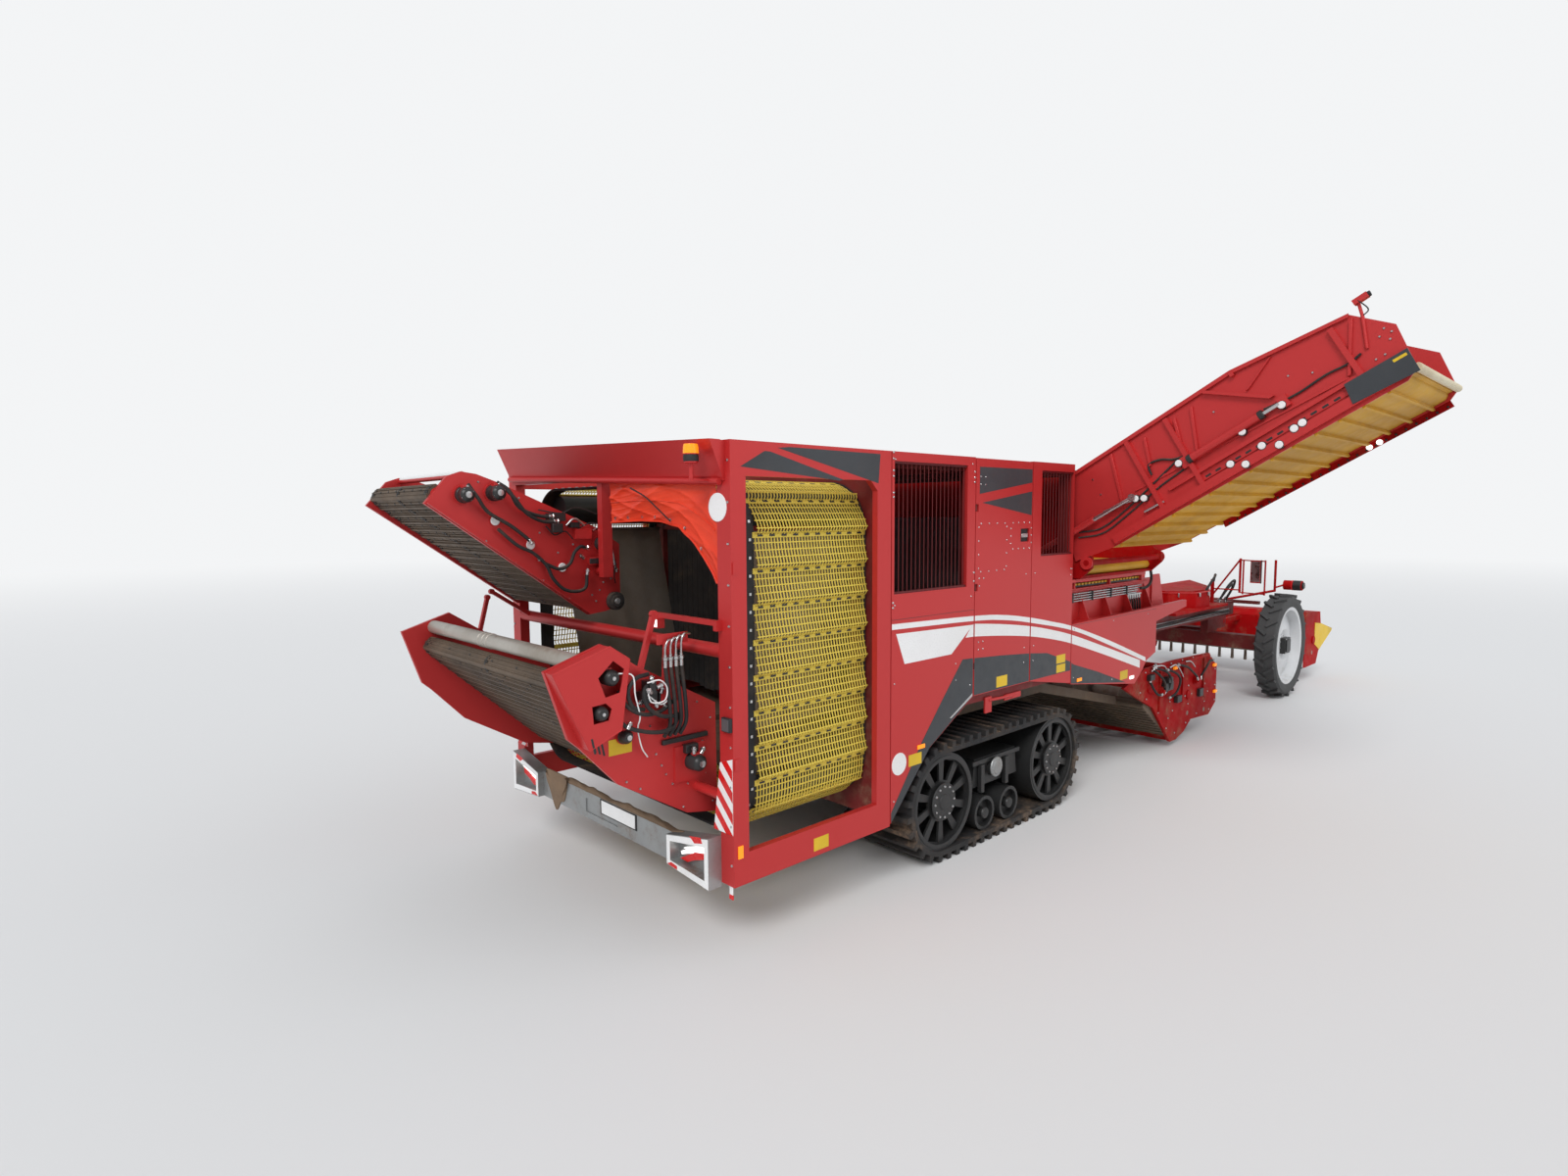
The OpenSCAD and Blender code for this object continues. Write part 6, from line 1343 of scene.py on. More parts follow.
@dataclass
class Elevator:
    """What sits on the discharge elevator's walls; s is a share of its length, t a height over its foot."""

    angle: float = 30.6
    length: float = 3.6
    pivot: tuple[float, float] = (-1.95, 2.86)
    face: float = 5.25
    middle: float = 6.25
    ribs: tuple = (((0.351, 0.873), (0.326, 0.57)), ((0.451, 0.868), (0.426, 0.512)), ((0.506, 0.874), (0.46, 0.431)),
                   ((0.738, 0.855), (0.651, 0.699)), ((0.932, 0.732), (0.863, 0.287)), ((0.24, 0.93), (0.20, 0.40)))
    caps: tuple = ((0.402, 0.421), (0.573, 0.401), (0.588, 0.355), (0.703, 0.378), (0.721, 0.124), (0.698, 0.116),
                   (0.611, 0.131), (0.648, 0.053), (0.553, 0.053), (0.243, 0.337), (0.266, 0.292), (0.52, 0.132))
    bolts: tuple = ((0.976, 0.499), (0.985, 0.438), (0.959, 0.455), (0.974, 0.386), (0.948, 0.289), (0.927, 0.292),
                    (0.30, 0.60), (0.55, 0.70), (0.60, 0.80), (0.75, 0.60), (0.80, 0.50), (0.15, 0.80), (0.15, 0.60))

    def arm(self, points: Array) -> Array:
        """(s, t) turned into (Y, Z): along the arm by s lengths, then across it by t."""
        points = np.atleast_2d(np.array(points, float))
        a = math.radians(self.angle)
        s, t = points[:, 0] * self.length, points[:, 1]
        return np.stack([self.pivot[0] - s * math.cos(a) + t * math.sin(a),
                         self.pivot[1] + s * math.sin(a) + t * math.cos(a)], axis=1)

    def plate(self, outline: Array, x0: float, x1: float) -> Shape:
        """A plate whose outline is given in (s, t)."""
        return prism(self.arm(outline), x0, x1, Axis.X)

    def run(self, points: Array, x: float, radius: float, segments: int = 10) -> Shape:
        """A hose or bar through (s, t) points at one X."""
        flat = self.arm(points)
        return pipe(np.column_stack([np.full(len(flat), x), flat]), radius, segments)

    def other(self, shape: Shape) -> Shape:
        """The shape on the far wall, turned to face forwards."""
        points = shape.points * np.array([-1, 1, 1]) + np.array([2 * self.middle, 0, 0])
        return Shape(points, tuple(b[:, ::-1] for b in shape.blocks))

    def build(self, shop: Workshop) -> None:
        """Ribs, caps, cylinders, rail, sign, studs and the end roller."""
        body, x = "elevator", self.face
        strips = []
        for (s0, t0), (s1, t1) in self.ribs:
            w = 0.0045
            strips.append(self.plate(((s0 - w, t0), (s0 + w, t0), (s1 + w, t1), (s1 - w, t1)), x - 0.03, x))
        strips.append(self.plate(((0.25, 0.415), (0.25, 0.44), (0.86, 0.29), (0.86, 0.265)), x - 0.016, x))
        rail = self.plate(((0.434, 0.128), (0.434, 0.178), (0.84, 0.186), (0.84, 0.136)), x - 0.014, x)
        near = joined(*strips, rail)
        shop.piece("arm_ribs_near", near, PAINT, body, bevel=0.003)
        shop.piece("arm_ribs_far", self.other(near), PAINT, body, bevel=0.003)
        # The rail's slots are not cut: thin black plates paint the shade inside them.
        slots = joined(*(self.plate(((s, 0.146), (s, 0.168), (s + 0.016, 0.169), (s + 0.016, 0.147)), x - 0.0155,
                                    x - 0.0135)
                         for s in np.arange(0.445, 0.83, 0.03)))
        shop.piece("arm_rail_slots", slots, BLACK, body)
        places = self.arm(self.caps)
        cap = turned_form(np.array([[0.014, -0.066], [0.030, -0.066], [0.036, -0.060], [0.036, 0.0]]), (0, 0, 0),
                          Axis.X, 24)
        boss = turned_form(np.array([[0.040, -0.052], [0.042, -0.050], [0.042, 0.0]]), (0, 0, 0), Axis.X, 24)
        spots = np.column_stack([np.full(len(places), x), places])
        shop.piece("arm_caps", cap.repeated(spots), WHITE_FILM, body, smooth=True)
        shop.piece("arm_cap_bosses", boss.repeated(spots), BLACK, body, smooth=True)
        flat = self.arm(self.bolts)
        heads = dome(0.013, 0.011, 6).turned(Axis.Z, -90).repeated(np.column_stack([np.full(len(flat), x), flat]))
        shop.piece("arm_bolts_near", heads, STEEL, body, smooth=True)
        shop.piece("arm_bolts_far", self.other(heads), STEEL, body, smooth=True)
        collars, rods = [], []
        for s0, s1, r in ((0.428, 0.442, 0.047), (0.642, 0.656, 0.047)):
            a, b = self.arm(((s0, 0.40), (s1, 0.40)))
            collars.append(rod(r, (x - 0.05, *a), (x - 0.05, *b), 28))
        a, b = self.arm(((0.655, 0.40), (0.70, 0.40)))
        rods.append(rod(0.0215, (x - 0.05, *a), (x - 0.05, *b), 20))
        for pts in (((0.135, 0.402), (0.24, 0.342)), ((0.245, 0.163), (0.311, 0.153))):
            a, b = self.arm(pts)
            rods.append(rod(0.013, (x - 0.03, *a), (x - 0.03, *b), 14))
        shop.piece("arm_cylinder_collars", joined(*collars, *(self.other(c) for c in collars)), BLACK, body,
                   smooth=True)
        shop.piece("arm_bright_rods", joined(*rods, *(self.other(r) for r in rods)), STEEL, body, smooth=True)
        hoses = joined(self.run(((0.66, 0.44), (0.743, 0.40), (0.82, 0.41), (0.874, 0.389), (0.909, 0.408)), x - 0.02,
                                0.011),
                       self.run(((0.316, 0.476), (0.324, 0.59), (0.36, 0.57), (0.39, 0.501), (0.43, 0.45)), x - 0.02,
                                0.012),
                       self.run(((0.02, 0.30), (0.10, 0.20), (0.20, 0.24), (0.32, 0.32), (0.42, 0.35)), x - 0.0115,
                                0.010),
                       self.run(((0.03, 0.35), (0.10, 0.26), (0.19, 0.29), (0.30, 0.38), (0.40, 0.47)), x - 0.0115,
                                0.010))
        shop.piece("arm_hoses", hoses, RUBBER, body, smooth=True)
        sign = self.plate(((0.844, 0.235), (0.992, 0.225), (0.988, -0.005), (0.836, 0.034)), x - 0.058, x - 0.0505)
        shop.piece("arm_blank_sign", sign, CHARCOAL, body, bevel=0.002)
        patch = self.plate(((0.954, 0.172), (0.954, 0.198), (0.985, 0.196), (0.985, 0.17)), x - 0.0592, x - 0.0575)
        shop.piece("arm_sign_patch", patch, YELLOW_LABEL, body)
        stand = joined(*(rod(0.012, (x - 0.051, *p), (x, *p), 12)
                         for p in self.arm(((0.86, 0.20), (0.955, 0.20), (0.955, 0.12)))))
        shop.piece("arm_sign_stands", stand, ZINC, body)
        flange = self.plate(((0.25, -0.075), (0.25, 0.05), (0.955, 0.03), (0.955, -0.095)), 7.236, 7.2505)
        shop.piece("arm_far_flange", flange, PAINT_DIRTY, body, bevel=0.002)
        s = np.arange(0.27, 0.95, 0.028)
        flat = self.arm(np.stack([s, -0.055 - 0.02 * (s - 0.25)], axis=1))
        studs = dome(0.014, 0.014, 6).turned(Axis.Z, -90).repeated(np.column_stack([np.full(len(flat), 7.236), flat]))
        shop.piece("arm_flange_studs", studs, BLACK, body, smooth=True)
        lamps = []
        for p in self.arm(((0.728, -0.052), (0.757, -0.055))):
            lamps.append(turned_form(np.array([[0.02, -0.03], [0.028, -0.028], [0.03, 0.0]]), (7.236, *p), Axis.X, 20))
        shop.piece("arm_lamps", joined(*lamps), LAMP_WHITE, body, smooth=True)
        p = self.arm(((0.9855, 0.05),))[0]
        shop.piece("arm_end_roller", rod(0.038, (5.268, *p), (7.232, *p), 28), CREAM, body, smooth=True)
        head = self.arm(((0.955, 0.70), (0.965, 0.86), (1.0, 0.80)))
        lens = rod(0.026, (x - 0.012, *self.arm(((0.988, 0.845),))[0]), (x - 0.012, *self.arm(((0.996, 0.842),))[0]),
                   20)
        shop.piece("arm_camera_lens", lens, BLACK_PLASTIC, body, smooth=True)
        wire = pipe(np.array([(x - 0.012, *head[0]), (x - 0.05, *(head[0] + np.array([-0.05, 0.05]))),
                              (x - 0.04, *head[1])]),
                    0.006, 8)
        shop.piece("arm_camera_wire", wire, BLACK, body, smooth=True)


@dataclass
class BunkerSide:
    """Pipes, clamps and hoses on the recessed wall over the bonnet, on the right side."""

    y: float = -1.672

    def build(self, shop: Workshop) -> None:
        """Bright pipes along X with clamps, a cluster of fittings and a black hose loop."""
        y = self.y
        pipes = joined(*(rod(0.0095, (5.2, y, z), (7.36 - 0.05 * k, y, z), 10)
                         for k, z in enumerate((2.46, 2.43, 2.40, 2.37))))
        clamps = joined(*(box(x, x + 0.03, y - 0.016, -1.64, 2.355, 2.475) for x in (5.45, 5.95, 6.45, 6.9)))
        shop.piece("bunker_pipes", pipes, STEEL, smooth=True)
        shop.piece("bunker_pipe_clamps", clamps, BLACK_PLASTIC, bevel=0.003)
        drops, ends = [], []
        for k, x in enumerate(np.linspace(6.95, 7.30, 6)):
            ends.append(ferrule((float(x), y - 0.002, 2.35), (0, 0, -1)))
            drops.append(pipe(np.array([(x, y - 0.002, 2.31), (x + 0.01, y - 0.01, 2.24),
                                        (x + 0.03, y - 0.006, 2.17 - 0.01 * k)]),
                              0.012, 8))
        shop.piece("bunker_fittings", joined(*ends, box(6.93, 7.33, y - 0.02, -1.64, 2.345, 2.36)), STEEL, smooth=True)
        shop.piece("bunker_drop_hoses", joined(*drops), RUBBER, smooth=True)
        loop = pipe(np.array([(7.30, y - 0.02, 2.42), (7.42, y - 0.05, 2.43), (7.53, y - 0.06, 2.50),
                              (7.57, y - 0.04, 2.62),
                              (7.56, y - 0.01, 2.74), (7.54, y + 0.03, 2.83)]), 0.019, 12)
        shop.piece("bunker_hose_loop", loop, RUBBER, smooth=True)
        rail = joined(box(5.16, 7.20, -1.80, -1.76, 2.62, 2.66), *(box(x, x + 0.02, -1.79, -1.66, 2.54, 2.66)
                                                                  for x in (5.3, 6.2, 7.1)))
        shop.piece("bunker_rail", rail, PAINT, bevel=0.004)
        strip = joined(*(box(x, x + 0.05, -1.755, -1.70, 2.575, 2.60) for x in np.arange(5.2, 7.1, 0.085)))
        shop.piece("bunker_belt_strip", strip, BELT_YELLOW, bevel=0.004)
        bed = box(5.16, 7.15, -1.75, -1.66, 2.555, 2.577)
        shop.piece("bunker_strip_bed", bed, BLACK_PLASTIC, bevel=0.003)


# ---------------------------------------------------------------- front

@dataclass
class DiggingUnit:
    """Hydraulics, lamps and bolts on both cheeks of the digging unit."""

    face: float = -1.73

    def build(self, shop: Workshop) -> None:
        """Right and left sides."""
        y = self.face
        thick = (((7.62, y - 0.04, 1.26), (7.75, y - 0.09, 1.16), (7.90, y - 0.09, 1.04), (7.96, y - 0.06, 0.97)),
                 ((7.70, y - 0.04, 1.27), (7.86, y - 0.11, 1.22), (8.06, y - 0.10, 1.10), (8.10, y - 0.07, 0.95),
                  (8.02, y - 0.05, 0.88)),
                 ((8.10, y - 0.05, 1.20), (8.30, y - 0.09, 1.12), (8.46, y - 0.08, 1.00), (8.40, y - 0.06, 0.84),
                  (8.20, y - 0.05, 0.78)),
                 ((8.50, y - 0.04, 1.22), (8.72, y - 0.08, 1.16), (8.92, y - 0.08, 1.06), (9.12, y - 0.07, 0.96)),
                 ((9.28, y - 0.06, 0.95), (9.42, y - 0.08, 1.06), (9.62, y - 0.06, 1.14), (9.80, y - 0.04, 1.12)),
                 ((7.55, y - 0.03, 1.10), (7.60, y - 0.07, 0.98), (7.72, y - 0.07, 0.90), (7.86, y - 0.05, 0.87)))
        bright = (((7.58, y - 0.03, 1.24), (7.72, y - 0.05, 1.30), (7.95, y - 0.05, 1.27), (8.10, y - 0.04, 1.16)),
                  ((8.16, y - 0.04, 1.22), (8.34, y - 0.06, 1.24), (8.56, y - 0.05, 1.10), (8.66, y - 0.04, 1.02)),
                  ((8.72, y - 0.04, 1.24), (8.90, y - 0.05, 1.22), (9.06, y - 0.05, 1.12)))
        ends = [ferrule(p, d, 0.018, 0.07) for p, d in (
            ((7.62, y - 0.04, 1.255), (0.4, 0, 1)), ((7.70, y - 0.04, 1.265), (-0.2, 0, 1)),
            ((8.10, y - 0.05, 1.195), (-1, 0, 0.2)), ((8.50, y - 0.04, 1.215), (-1, 0, 0.3)),
            ((8.20, y - 0.05, 0.785), (-1, 0, 0)), ((9.10, y - 0.07, 0.965), (0.6, 0, -1)),
            ((9.29, y - 0.06, 0.955), (-0.5, 0, -1)), ((9.79, y - 0.04, 1.12), (1, 0, 0)),
            ((7.85, y - 0.05, 0.87), (1, 0, 0)), ((7.55, y - 0.03, 1.09), (0, 0, 1)),
            ((8.02, y - 0.05, 0.89), (-1, 0, -0.3)))]
        blocks = joined(box(7.98, 8.24, y - 0.075, y, 0.90, 1.02), box(8.02, 8.16, y - 0.10, y, 1.02, 1.10),
                        box(7.50, 7.64, y - 0.06, y, 1.12, 1.20), box(8.44, 8.60, y - 0.06, y, 0.66, 0.76),
                        box(9.30, 9.44, y - 0.05, y, 0.62, 0.74))
        spots = [(7.45, 1.24), (7.9, 1.26), (8.3, 1.26), (8.7, 1.26), (9.1, 1.25), (9.5, 1.24), (9.8, 1.18),
                 (10.0, 0.96), (10.02, 0.7), (10.02, 0.46), (9.8, 0.34), (9.3, 0.36), (8.9, 0.28), (8.5, 0.2),
                 (8.2, 0.32), (7.9, 0.60), (7.5, 0.86), (7.3, 0.98), (9.6, 0.78), (9.48, 0.64), (9.72, 0.64),
                 (9.6, 0.50), (8.96, 0.84), (8.84, 0.70), (9.08, 0.70), (8.96, 0.56), (8.3, 0.70), (8.4, 0.55),
                 (8.25, 0.46)]
        heads = dome(0.013, 0.011, 6).repeated(np.array([(a, y, b) for a, b in spots]))
        lamps = joined(*(box(x - 0.05, x + 0.05, y - 0.032, y, z - 0.022, z + 0.022)
                         for x, z in ((8.43, 1.18), (9.95, 1.03), (10.0, 0.60))))
        for side in ("right", "left"):
            shop.piece(f"digger_hoses_{side}", on_side(hose_set(thick, 0.0165), side), RUBBER, "digger", smooth=True)
            shop.piece(f"digger_fittings_{side}", on_side(joined(hose_set(bright, 0.010), *ends), side), STEEL,
                       "digger", smooth=True)
            shop.piece(f"digger_valves_{side}", on_side(blocks, side), BLACK, "digger", bevel=0.006)
            shop.piece(f"digger_bolts_{side}", on_side(heads, side), STEEL, "digger", smooth=True)
            shop.piece(f"digger_lamps_{side}", on_side(lamps, side), AMBER, "digger", bevel=0.005)


@dataclass
class NeckDrive:
    """The black and bright drive beside the right neck beam, with pipes along the beams."""

    y: float = -1.03

    def build(self, shop: Workshop) -> None:
        """Drive, flanges, hoses and pipes along the beams."""
        y, z = self.y, 1.66
        dark = joined(rod(0.122, (7.95, y, z), (8.45, y, z), 32), rod(0.06, (8.86, y, z), (9.02, y, z), 20),
                      box(7.86, 7.95, y - 0.10, y + 0.12, z - 0.12, z + 0.12))
        silver = joined(rod(0.104, (8.45, y, z), (8.66, y, z), 32), rod(0.118, (8.66, y, z), (8.70, y, z), 32),
                        rod(0.088, (8.70, y, z), (8.86, y, z), 32))
        shop.piece("neck_drive_body", dark, BLACK, smooth=True)
        shop.piece("neck_drive_bright", silver, STEEL, smooth=True)
        routes = (((8.0, y - 0.06, z + 0.10), (8.3, y - 0.10, z + 0.20), (8.9, y + 0.02, z + 0.16),
                   (9.5, y + 0.08, z + 0.12)),
                  ((8.55, y, z + 0.10), (8.8, y - 0.02, z + 0.24), (9.3, y + 0.06, z + 0.19),
                   (9.8, y + 0.10, z + 0.10)),
                  ((9.02, y, z), (9.4, y - 0.02, z - 0.04), (10.4, y + 0.08, z - 0.06), (11.9, y + 0.10, z - 0.04),
                   (12.9, y + 0.10, z - 0.08)))
        shop.piece("neck_hoses", hose_set(routes, 0.019), RUBBER, smooth=True)
        pipes = joined(*(rod(0.010, (9.1, -0.915, zz), (12.9, -0.915, zz), 10) for zz in (1.55, 1.585, 1.62)))
        both = joined(pipes, pipes.mirrored())
        shop.piece("neck_pipes", both, ZINC, smooth=True)
        loops = (((12.55, -0.86, 1.80), (12.60, -0.98, 2.02), (12.72, -1.02, 2.10), (12.82, -0.98, 2.00),
                  (12.86, -0.86, 1.78)),
                 ((12.75, -0.80, 1.79), (12.82, -0.92, 2.06), (12.95, -0.98, 2.16), (13.06, -0.92, 2.02),
                  (13.05, -0.80, 1.78)),
                 ((11.6, -0.84, 1.80), (11.7, -0.96, 2.10), (11.95, -0.98, 2.28), (12.2, -0.90, 2.30),
                  (12.27, -0.85, 2.18)))
        shop.piece("axle_hose_loops", hose_set(loops, 0.021), RUBBER, smooth=True)
        ends = joined(*(ferrule(p, (0, 0, 1), 0.024, 0.09) for p in ((12.55, -0.86, 1.745), (12.86, -0.86, 1.745),
                                                                      (12.75, -0.80, 1.745), (13.05, -0.80, 1.745))))
        shop.piece("axle_hose_ends", ends, STEEL, smooth=True)


@dataclass
class FrontWheels:
    """Hub boxes, bolts and valves of the front wheels."""

    centre: tuple[float, float] = (13.384, 0.96)

    def build(self, shop: Workshop) -> None:
        """Both wheels, each on its own turning body."""
        x, z = self.centre
        hub = joined(box(x - 0.145, x + 0.145, -1.80, -1.708, z - 0.145, z + 0.145),
                     box(x - 0.11, x + 0.11, -1.818, -1.80, z - 0.11, z + 0.11))
        plate = turned_form(np.array([[0.17, -0.012], [0.192, -0.010], [0.198, 0.0]]), (x, -1.6975, z), Axis.Y, 48)
        turn = np.linspace(0, 2 * np.pi, 10, endpoint=False) + 0.2
        spots = np.stack([x + 0.174 * np.cos(turn), 0 * turn - 1.7085, z + 0.174 * np.sin(turn)], axis=1)
        bolts = dome(0.014, 0.018, 6).repeated(spots)
        corners = np.array([(x + a, -1.80, z + b) for a in (-0.125, 0.125) for b in (-0.125, 0.125)])
        bolts = joined(bolts, dome(0.012, 0.012, 6).repeated(corners))
        valve = rod(0.007, (x + 0.42, -1.70, z + 0.42), (x + 0.40, -1.745, z + 0.40), 10)
        for side in ("right", "left"):
            body = f"wheel_{side}"
            shop.piece(f"wheel_hub_box_{side}", on_side(hub, side), BLACK, body, bevel=0.010)
            shop.piece(f"wheel_hub_plate_{side}", on_side(plate, side), RIM_PAINT, body, smooth=True)
            shop.piece(f"wheel_bolts_{side}", on_side(joined(bolts, valve), side), STEEL, body, smooth=True)


@dataclass
class FrontDeck:
    """Mirror glass, lamp barrel, the guard, and the tank cover's rim and catches at the front."""

    guard: tuple = ((15.62, 1.165), (16.03, 1.115), (16.84, 0.935), (16.82, 0.888), (15.965, 0.57), (15.64, 0.72))

    def build(self, shop: Workshop) -> None:
        """Pieces on the deck, the posts and the topper."""
        glass = box(12.2465, 12.2505, -1.625, -1.48, 2.20, 2.565)
        shop.piece("mirror_glass", glass, STEEL, bevel=0.0015)
        back = box(12.2935, 12.304, -1.62, -1.485, 2.20, 2.565)
        shop.piece("mirror_back", back, BLACK_PLASTIC, bevel=0.004)
        edge = box(12.2505, 12.2945, -1.645, -1.634, 2.175, 2.59)
        shop.piece("mirror_edge", edge, BLACK_PLASTIC, bevel=0.003)
        sleeve = joined(rod(0.099, (14.62, -1.655, 1.99), (14.62, -1.50, 1.99), 36),
                        rod(0.065, (14.62, -1.694, 1.99), (14.62, -1.655, 1.99), 24))
        shop.piece("lamp_barrel_sleeve", sleeve, BLACK, smooth=True)
        ring = rod(0.102, (14.62, -1.50, 1.99), (14.62, -1.475, 1.99), 36)
        shop.piece("lamp_barrel_ring", ring, RED_LENS, smooth=True)
        guard = np.array(self.guard)
        plate = prism(guard, -1.6585, -1.6495, Axis.Y)
        for side in ("right", "left"):
            shop.piece(f"topper_guard_{side}", on_side(plate, side), YELLOW_LABEL, "topper",
                       bevel=0.002)
        cover_edge = np.array([(10.70, -0.68), (11.03, -1.02), (11.56, -1.05), (12.59, -0.63), (13.77, 0.15),
                               (13.26, 0.15), (11.86, 0.12), (10.70, 0.12)])
        rim = np.column_stack([cover_edge, np.full(len(cover_edge), 2.052)])
        edges = joined(*(rod(0.011, tuple(rim[i]), tuple(rim[(i + 1) % len(rim)]), 10) for i in range(len(rim))))
        shop.piece("tank_cover_rim", edges, PAINT, smooth=True)
        catches = joined(*(box(x, x + 0.05, y - 0.02, y, 1.98, 2.05)
                           for x, y in ((11.1, -1.035), (11.45, -1.05), (10.8, -0.80))))
        shop.piece("tank_catches", catches, STEEL, bevel=0.004)


@dataclass
class Cab:
    """Seat cushions, roof lamps, wiper, handles and seals of the cab."""

    x0: float = 9.95
    x1: float = 11.75
    y0: float = 0.19
    y1: float = 1.81
    z0: float = 1.89
    z1: float = 3.61

    def seat(self, shop: Workshop) -> None:
        """Cushion, back and headrest over the seat's solid, each a crowned closed form, and the controls beside it."""
        for name, shape in (("seat_cushion", pad(10.27, 10.79, 0.69, 1.21, 2.395, 2.515)),
                            ("seat_back", pad(10.315, 10.425, 0.71, 1.19, 2.50, 3.05)),
                            ("seat_headrest", pad(10.295, 10.385, 0.80, 1.10, 3.07, 3.235))):
            piece = shop.piece(name, shape, SEAT_CLOTH, smooth=True)
        ends = joined(box(10.44, 10.98, 0.545, 0.695, 2.592, 2.625), box(10.80, 10.92, 0.58, 0.66, 2.625, 2.72),
                      box(11.30, 11.33, 0.72, 1.18, 2.86, 3.06))
        shop.piece("cab_controls", ends, BLACK_PLASTIC, bevel=0.012)

    def outside(self, shop: Workshop) -> None:
        """Lamps, seals, wiper, handles and grab rails."""
        x0, x1, y0, y1, z0, z1 = self.x0, self.x1, self.y0, self.y1, self.z0, self.z1
        seals = []
        for a, b, c, d in ((y0 + 0.09, y1 - 0.09, z0 + 0.20, z1 - 0.16),):
            path = [(x1 + 0.002, a, c), (x1 + 0.002, b, c), (x1 + 0.002, b, d), (x1 + 0.002, a, d)]
            seals += [rod(0.010, path[i], path[(i + 1) % 4], 8) for i in range(4)]
        a, b, c, d = y0 + 0.16, y1 - 0.16, z0 + 0.70, z1 - 0.20
        path = [(x0 - 0.002, a, c), (x0 - 0.002, b, c), (x0 - 0.002, b, d), (x0 - 0.002, a, d)]
        seals += [rod(0.010, path[i], path[(i + 1) % 4], 8) for i in range(4)]
        path = [(x0 + 0.12, y0 - 0.002, z0 + 0.50), (x1 - 0.12, y0 - 0.002, z0 + 0.50),
                (x1 - 0.12, y0 - 0.002, z1 - 0.16),
                (x0 + 0.12, y0 - 0.002, z1 - 0.16)]
        seals += [rod(0.010, path[i], path[(i + 1) % 4], 8) for i in range(4)]
        shop.piece("window_seals", joined(*seals), RUBBER, smooth=True)
        housings, lenses = [], []
        for y in (0.36, 0.62, 1.38, 1.64):
            housings.append(box(x1 - 0.05, x1 + 0.05, y - 0.075, y + 0.075, z1, z1 + 0.11))
            lenses.append(box(x1 + 0.05, x1 + 0.056, y - 0.062, y + 0.062, z1 + 0.012, z1 + 0.098))
            housings.append(box(x0 - 0.05, x0 + 0.05, y - 0.075, y + 0.075, z1, z1 + 0.11))
            lenses.append(box(x0 - 0.056, x0 - 0.05, y - 0.062, y + 0.062, z1 + 0.012, z1 + 0.098))
        shop.piece("cab_lamp_housings", joined(*housings), BLACK_PLASTIC, bevel=0.012)
        shop.piece("cab_lamp_lenses", joined(*lenses), LAMP_WHITE, bevel=0.002)
        wiper = joined(rod(0.009, (x1 + 0.022, 1.0, z0 + 0.17), (x1 + 0.022, 0.78, z0 + 0.95), 10),
                       rod(0.006, (x1 + 0.014, 0.74, z0 + 0.60), (x1 + 0.014, 0.80, z0 + 1.25), 8),
                       rod(0.028, (x1, 1.0, z0 + 0.16), (x1 + 0.034, 1.0, z0 + 0.16), 18))
        shop.piece("cab_wiper", wiper, BLACK, smooth=True)
        rails = hose_set((((10.60, y1 + 0.005, z0 + 0.55), (10.60, y1 + 0.06, z0 + 0.60), (10.60, y1 + 0.06, z0 + 1.20),
                           (10.60, y1 + 0.005, z0 + 1.25)),), 0.014)
        shop.piece("cab_grab_rail", rails, BLACK, smooth=True)
        handle = joined(box(10.82, 10.86, y1 - 0.002, y1 + 0.012, z0 + 0.62, z0 + 0.78),
                        rod(0.010, (10.84, y1 + 0.028, z0 + 0.64), (10.84, y1 + 0.028, z0 + 0.76), 10),
                        box(10.835, 10.845, y1 + 0.010, y1 + 0.03, z0 + 0.645, z0 + 0.655),
                        box(10.835, 10.845, y1 + 0.010, y1 + 0.03, z0 + 0.745, z0 + 0.755))
        shop.piece("cab_door_handle", handle, BLACK_PLASTIC, "cab_entry", bevel=0.003)
        cap = pad(x0 + 0.02, x1 - 0.02, y0 + 0.02, y1 - 0.02, z1 - 0.05, z1 + 0.07, 0.22)
        shop.piece("cab_roof_crown", cap, PAINT, smooth=True)

    def build(self, shop: Workshop) -> None:
        """Every piece of the cab."""
        self.seat(shop)
        self.outside(shop)


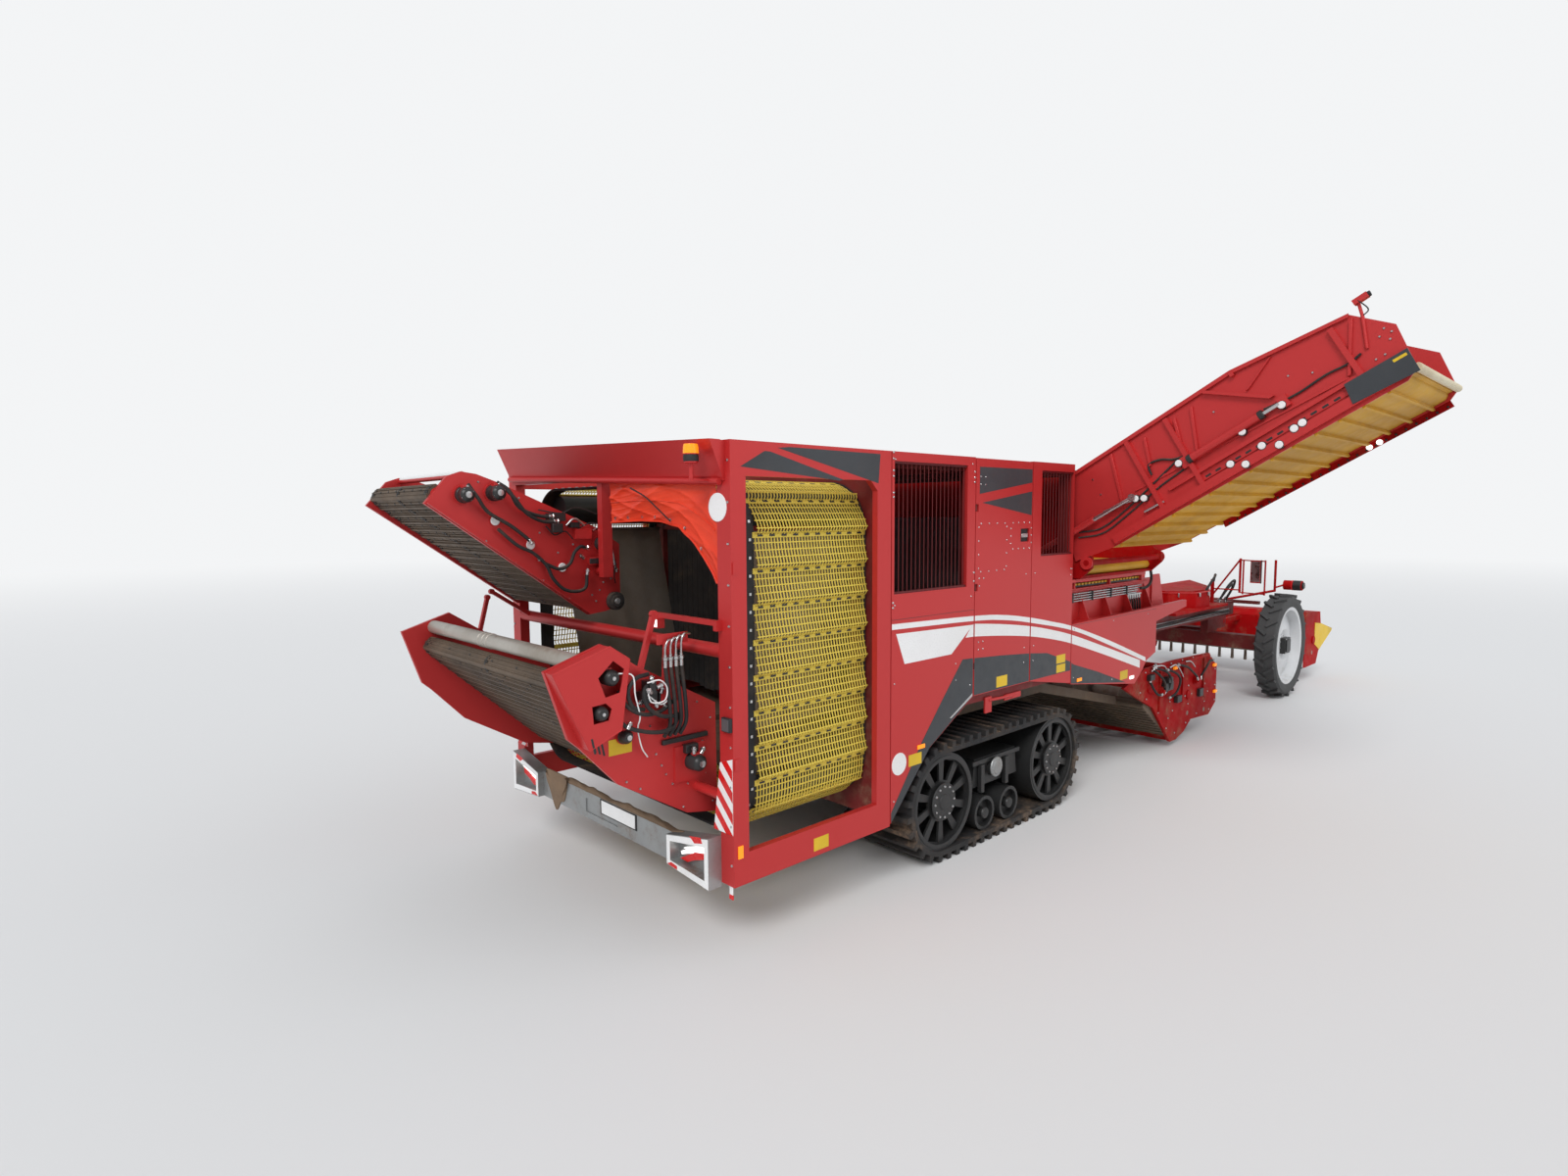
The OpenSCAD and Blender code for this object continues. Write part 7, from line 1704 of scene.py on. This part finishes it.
@dataclass
class Studio:
    """Floor, light and the camera at the photograph's place."""

    focal: float = 847.209
    yaw: float = 47.109
    pitch: float = 5.032
    roll: float = -0.366
    eye: Point = (-3.9065, -6.6324, 3.4426)

    def camera(self) -> None:
        """A camera whose axes are the view direction and its right and up, rolled a little."""
        yaw, pitch, roll = (math.radians(a) for a in (self.yaw, self.pitch, self.roll))
        ahead = np.array([math.cos(yaw) * math.cos(pitch), math.sin(yaw) * math.cos(pitch), -math.sin(pitch)])
        right = np.array([math.sin(yaw), -math.cos(yaw), 0.0])
        up = np.cross(right, ahead)
        side = math.cos(roll) * right + math.sin(roll) * up
        top = -math.sin(roll) * right + math.cos(roll) * up
        data = bpy.data.cameras.new("view")
        data.sensor_width, data.lens = 36.0, self.focal * 36.0 / 1600.0
        data.clip_end = 500.0
        made = bpy.data.objects.new("view", data)
        place = np.eye(4)
        place[:3, 0], place[:3, 1], place[:3, 2] = side, top, -ahead
        place[:3, 3] = HERE.at(np.array(self.eye))
        made.matrix_world = Matrix(place.tolist())
        bpy.context.scene.collection.objects.link(made)
        bpy.context.scene.camera = made

    def floor(self) -> None:
        """A plain pale floor, far wider than the view."""
        turn = np.linspace(0, 2 * np.pi, 96, endpoint=False)
        radius = np.array([0.01, 30.0, 260.0])[:, None]
        rows = np.stack([radius * np.cos(turn), radius * np.sin(turn), np.zeros((3, 96)) - 0.002], axis=-1)
        shape = grid(rows[::-1], around=True)
        mesh = bpy.data.meshes.new("floor")
        mesh.from_pydata(shape.points.tolist(), [], shape.blocks[0].tolist())
        material = bpy.data.materials.new("pale_floor")
        material.use_nodes = True
        shader = material.node_tree.nodes["Principled BSDF"]
        shader.inputs["Base Color"].default_value = (0.72, 0.72, 0.72, 1.0)
        shader.inputs["Roughness"].default_value = 0.9
        tree = material.node_tree
        place = tree.nodes.new("ShaderNodeTexCoord")
        reach = tree.nodes.new("ShaderNodeVectorMath")
        reach.operation = "LENGTH"
        tree.links.new(place.outputs["Object"], reach.inputs[0])
        share = tree.nodes.new("ShaderNodeMapRange")
        share.interpolation_type = "SMOOTHSTEP"
        share.inputs["From Min"].default_value, share.inputs["From Max"].default_value = 14.0, 70.0
        tree.links.new(reach.outputs["Value"], share.inputs["Value"])
        far = tree.nodes.new("ShaderNodeEmission")
        far.inputs["Color"].default_value = (0.90, 0.91, 0.92, 1.0)
        mix = tree.nodes.new("ShaderNodeMixShader")
        tree.links.new(share.outputs["Result"], mix.inputs[0])
        tree.links.new(shader.outputs[0], mix.inputs[1])
        tree.links.new(far.outputs[0], mix.inputs[2])
        tree.links.new(mix.outputs[0], tree.nodes["Material Output"].inputs["Surface"])
        mesh.materials.append(material)
        made = bpy.data.objects.new("floor", mesh)
        bpy.context.scene.collection.objects.link(made)

    def light(self) -> None:
        """An even pale sky with a broad soft sun from the left rear."""
        world = bpy.data.worlds.new("sky")
        bpy.context.scene.world = world
        world.use_nodes = True
        tree = world.node_tree
        fill = tree.nodes["Background"]
        fill.inputs["Color"].default_value = (0.93, 0.96, 1.0, 1.0)
        fill.inputs["Strength"].default_value = 0.62
        shown = tree.nodes.new("ShaderNodeBackground")
        shown.inputs["Color"].default_value = (0.90, 0.91, 0.92, 1.0)
        path = tree.nodes.new("ShaderNodeLightPath")
        mix = tree.nodes.new("ShaderNodeMixShader")
        tree.links.new(path.outputs["Is Camera Ray"], mix.inputs[0])
        tree.links.new(fill.outputs[0], mix.inputs[1])
        tree.links.new(shown.outputs[0], mix.inputs[2])
        tree.links.new(mix.outputs[0], tree.nodes["World Output"].inputs["Surface"])
        for name, strength, spread, turn in (("key", 1.7, 25.0, (48.0, 0.0, -62.0)),
                                             ("fill", 0.5, 60.0, (60.0, 0.0, 35.0))):
            data = bpy.data.lights.new(name, "SUN")
            data.energy, data.angle = strength, math.radians(spread)
            made = bpy.data.objects.new(name, data)
            made.rotation_euler = [math.radians(a) for a in turn]
            bpy.context.scene.collection.objects.link(made)
        bpy.context.scene.view_settings.view_transform = "Standard"


def main() -> None:
    """Builds the looks in order."""
    logging.basicConfig(level=logging.INFO, format="%(message)s")
    studio = Studio()
    studio.camera()
    studio.floor()
    studio.light()
    shop = Workshop()
    Paintwork().dress()
    SidePanels().build(shop)
    RingMesh().build(shop)
    InnerChute().build(shop)
    Cloth().build(shop)
    RearFace().build(shop)
    RodBelt("upper_belt", "rear_upper", (-1.367, 3.622), (-0.060, 2.665), 0.192, 1.608).build(shop)
    RodBelt("lower_belt", "rear_lower", (-0.982, 2.201), (0.135, 1.177), -1.288, 1.528).build(shop)
    UpperHydraulics().build(shop)
    LowerHydraulics().build(shop)
    Undercarriage().build(shop)
    Elevator().build(shop)
    BunkerSide().build(shop)
    DiggingUnit().build(shop)
    NeckDrive().build(shop)
    FrontWheels().build(shop)
    FrontDeck().build(shop)
    Cab().build(shop)
    LOG.info("%d pieces made", len(shop.made))
    bpy.context.view_layer.update()


if __name__ == "__main__":
    main()
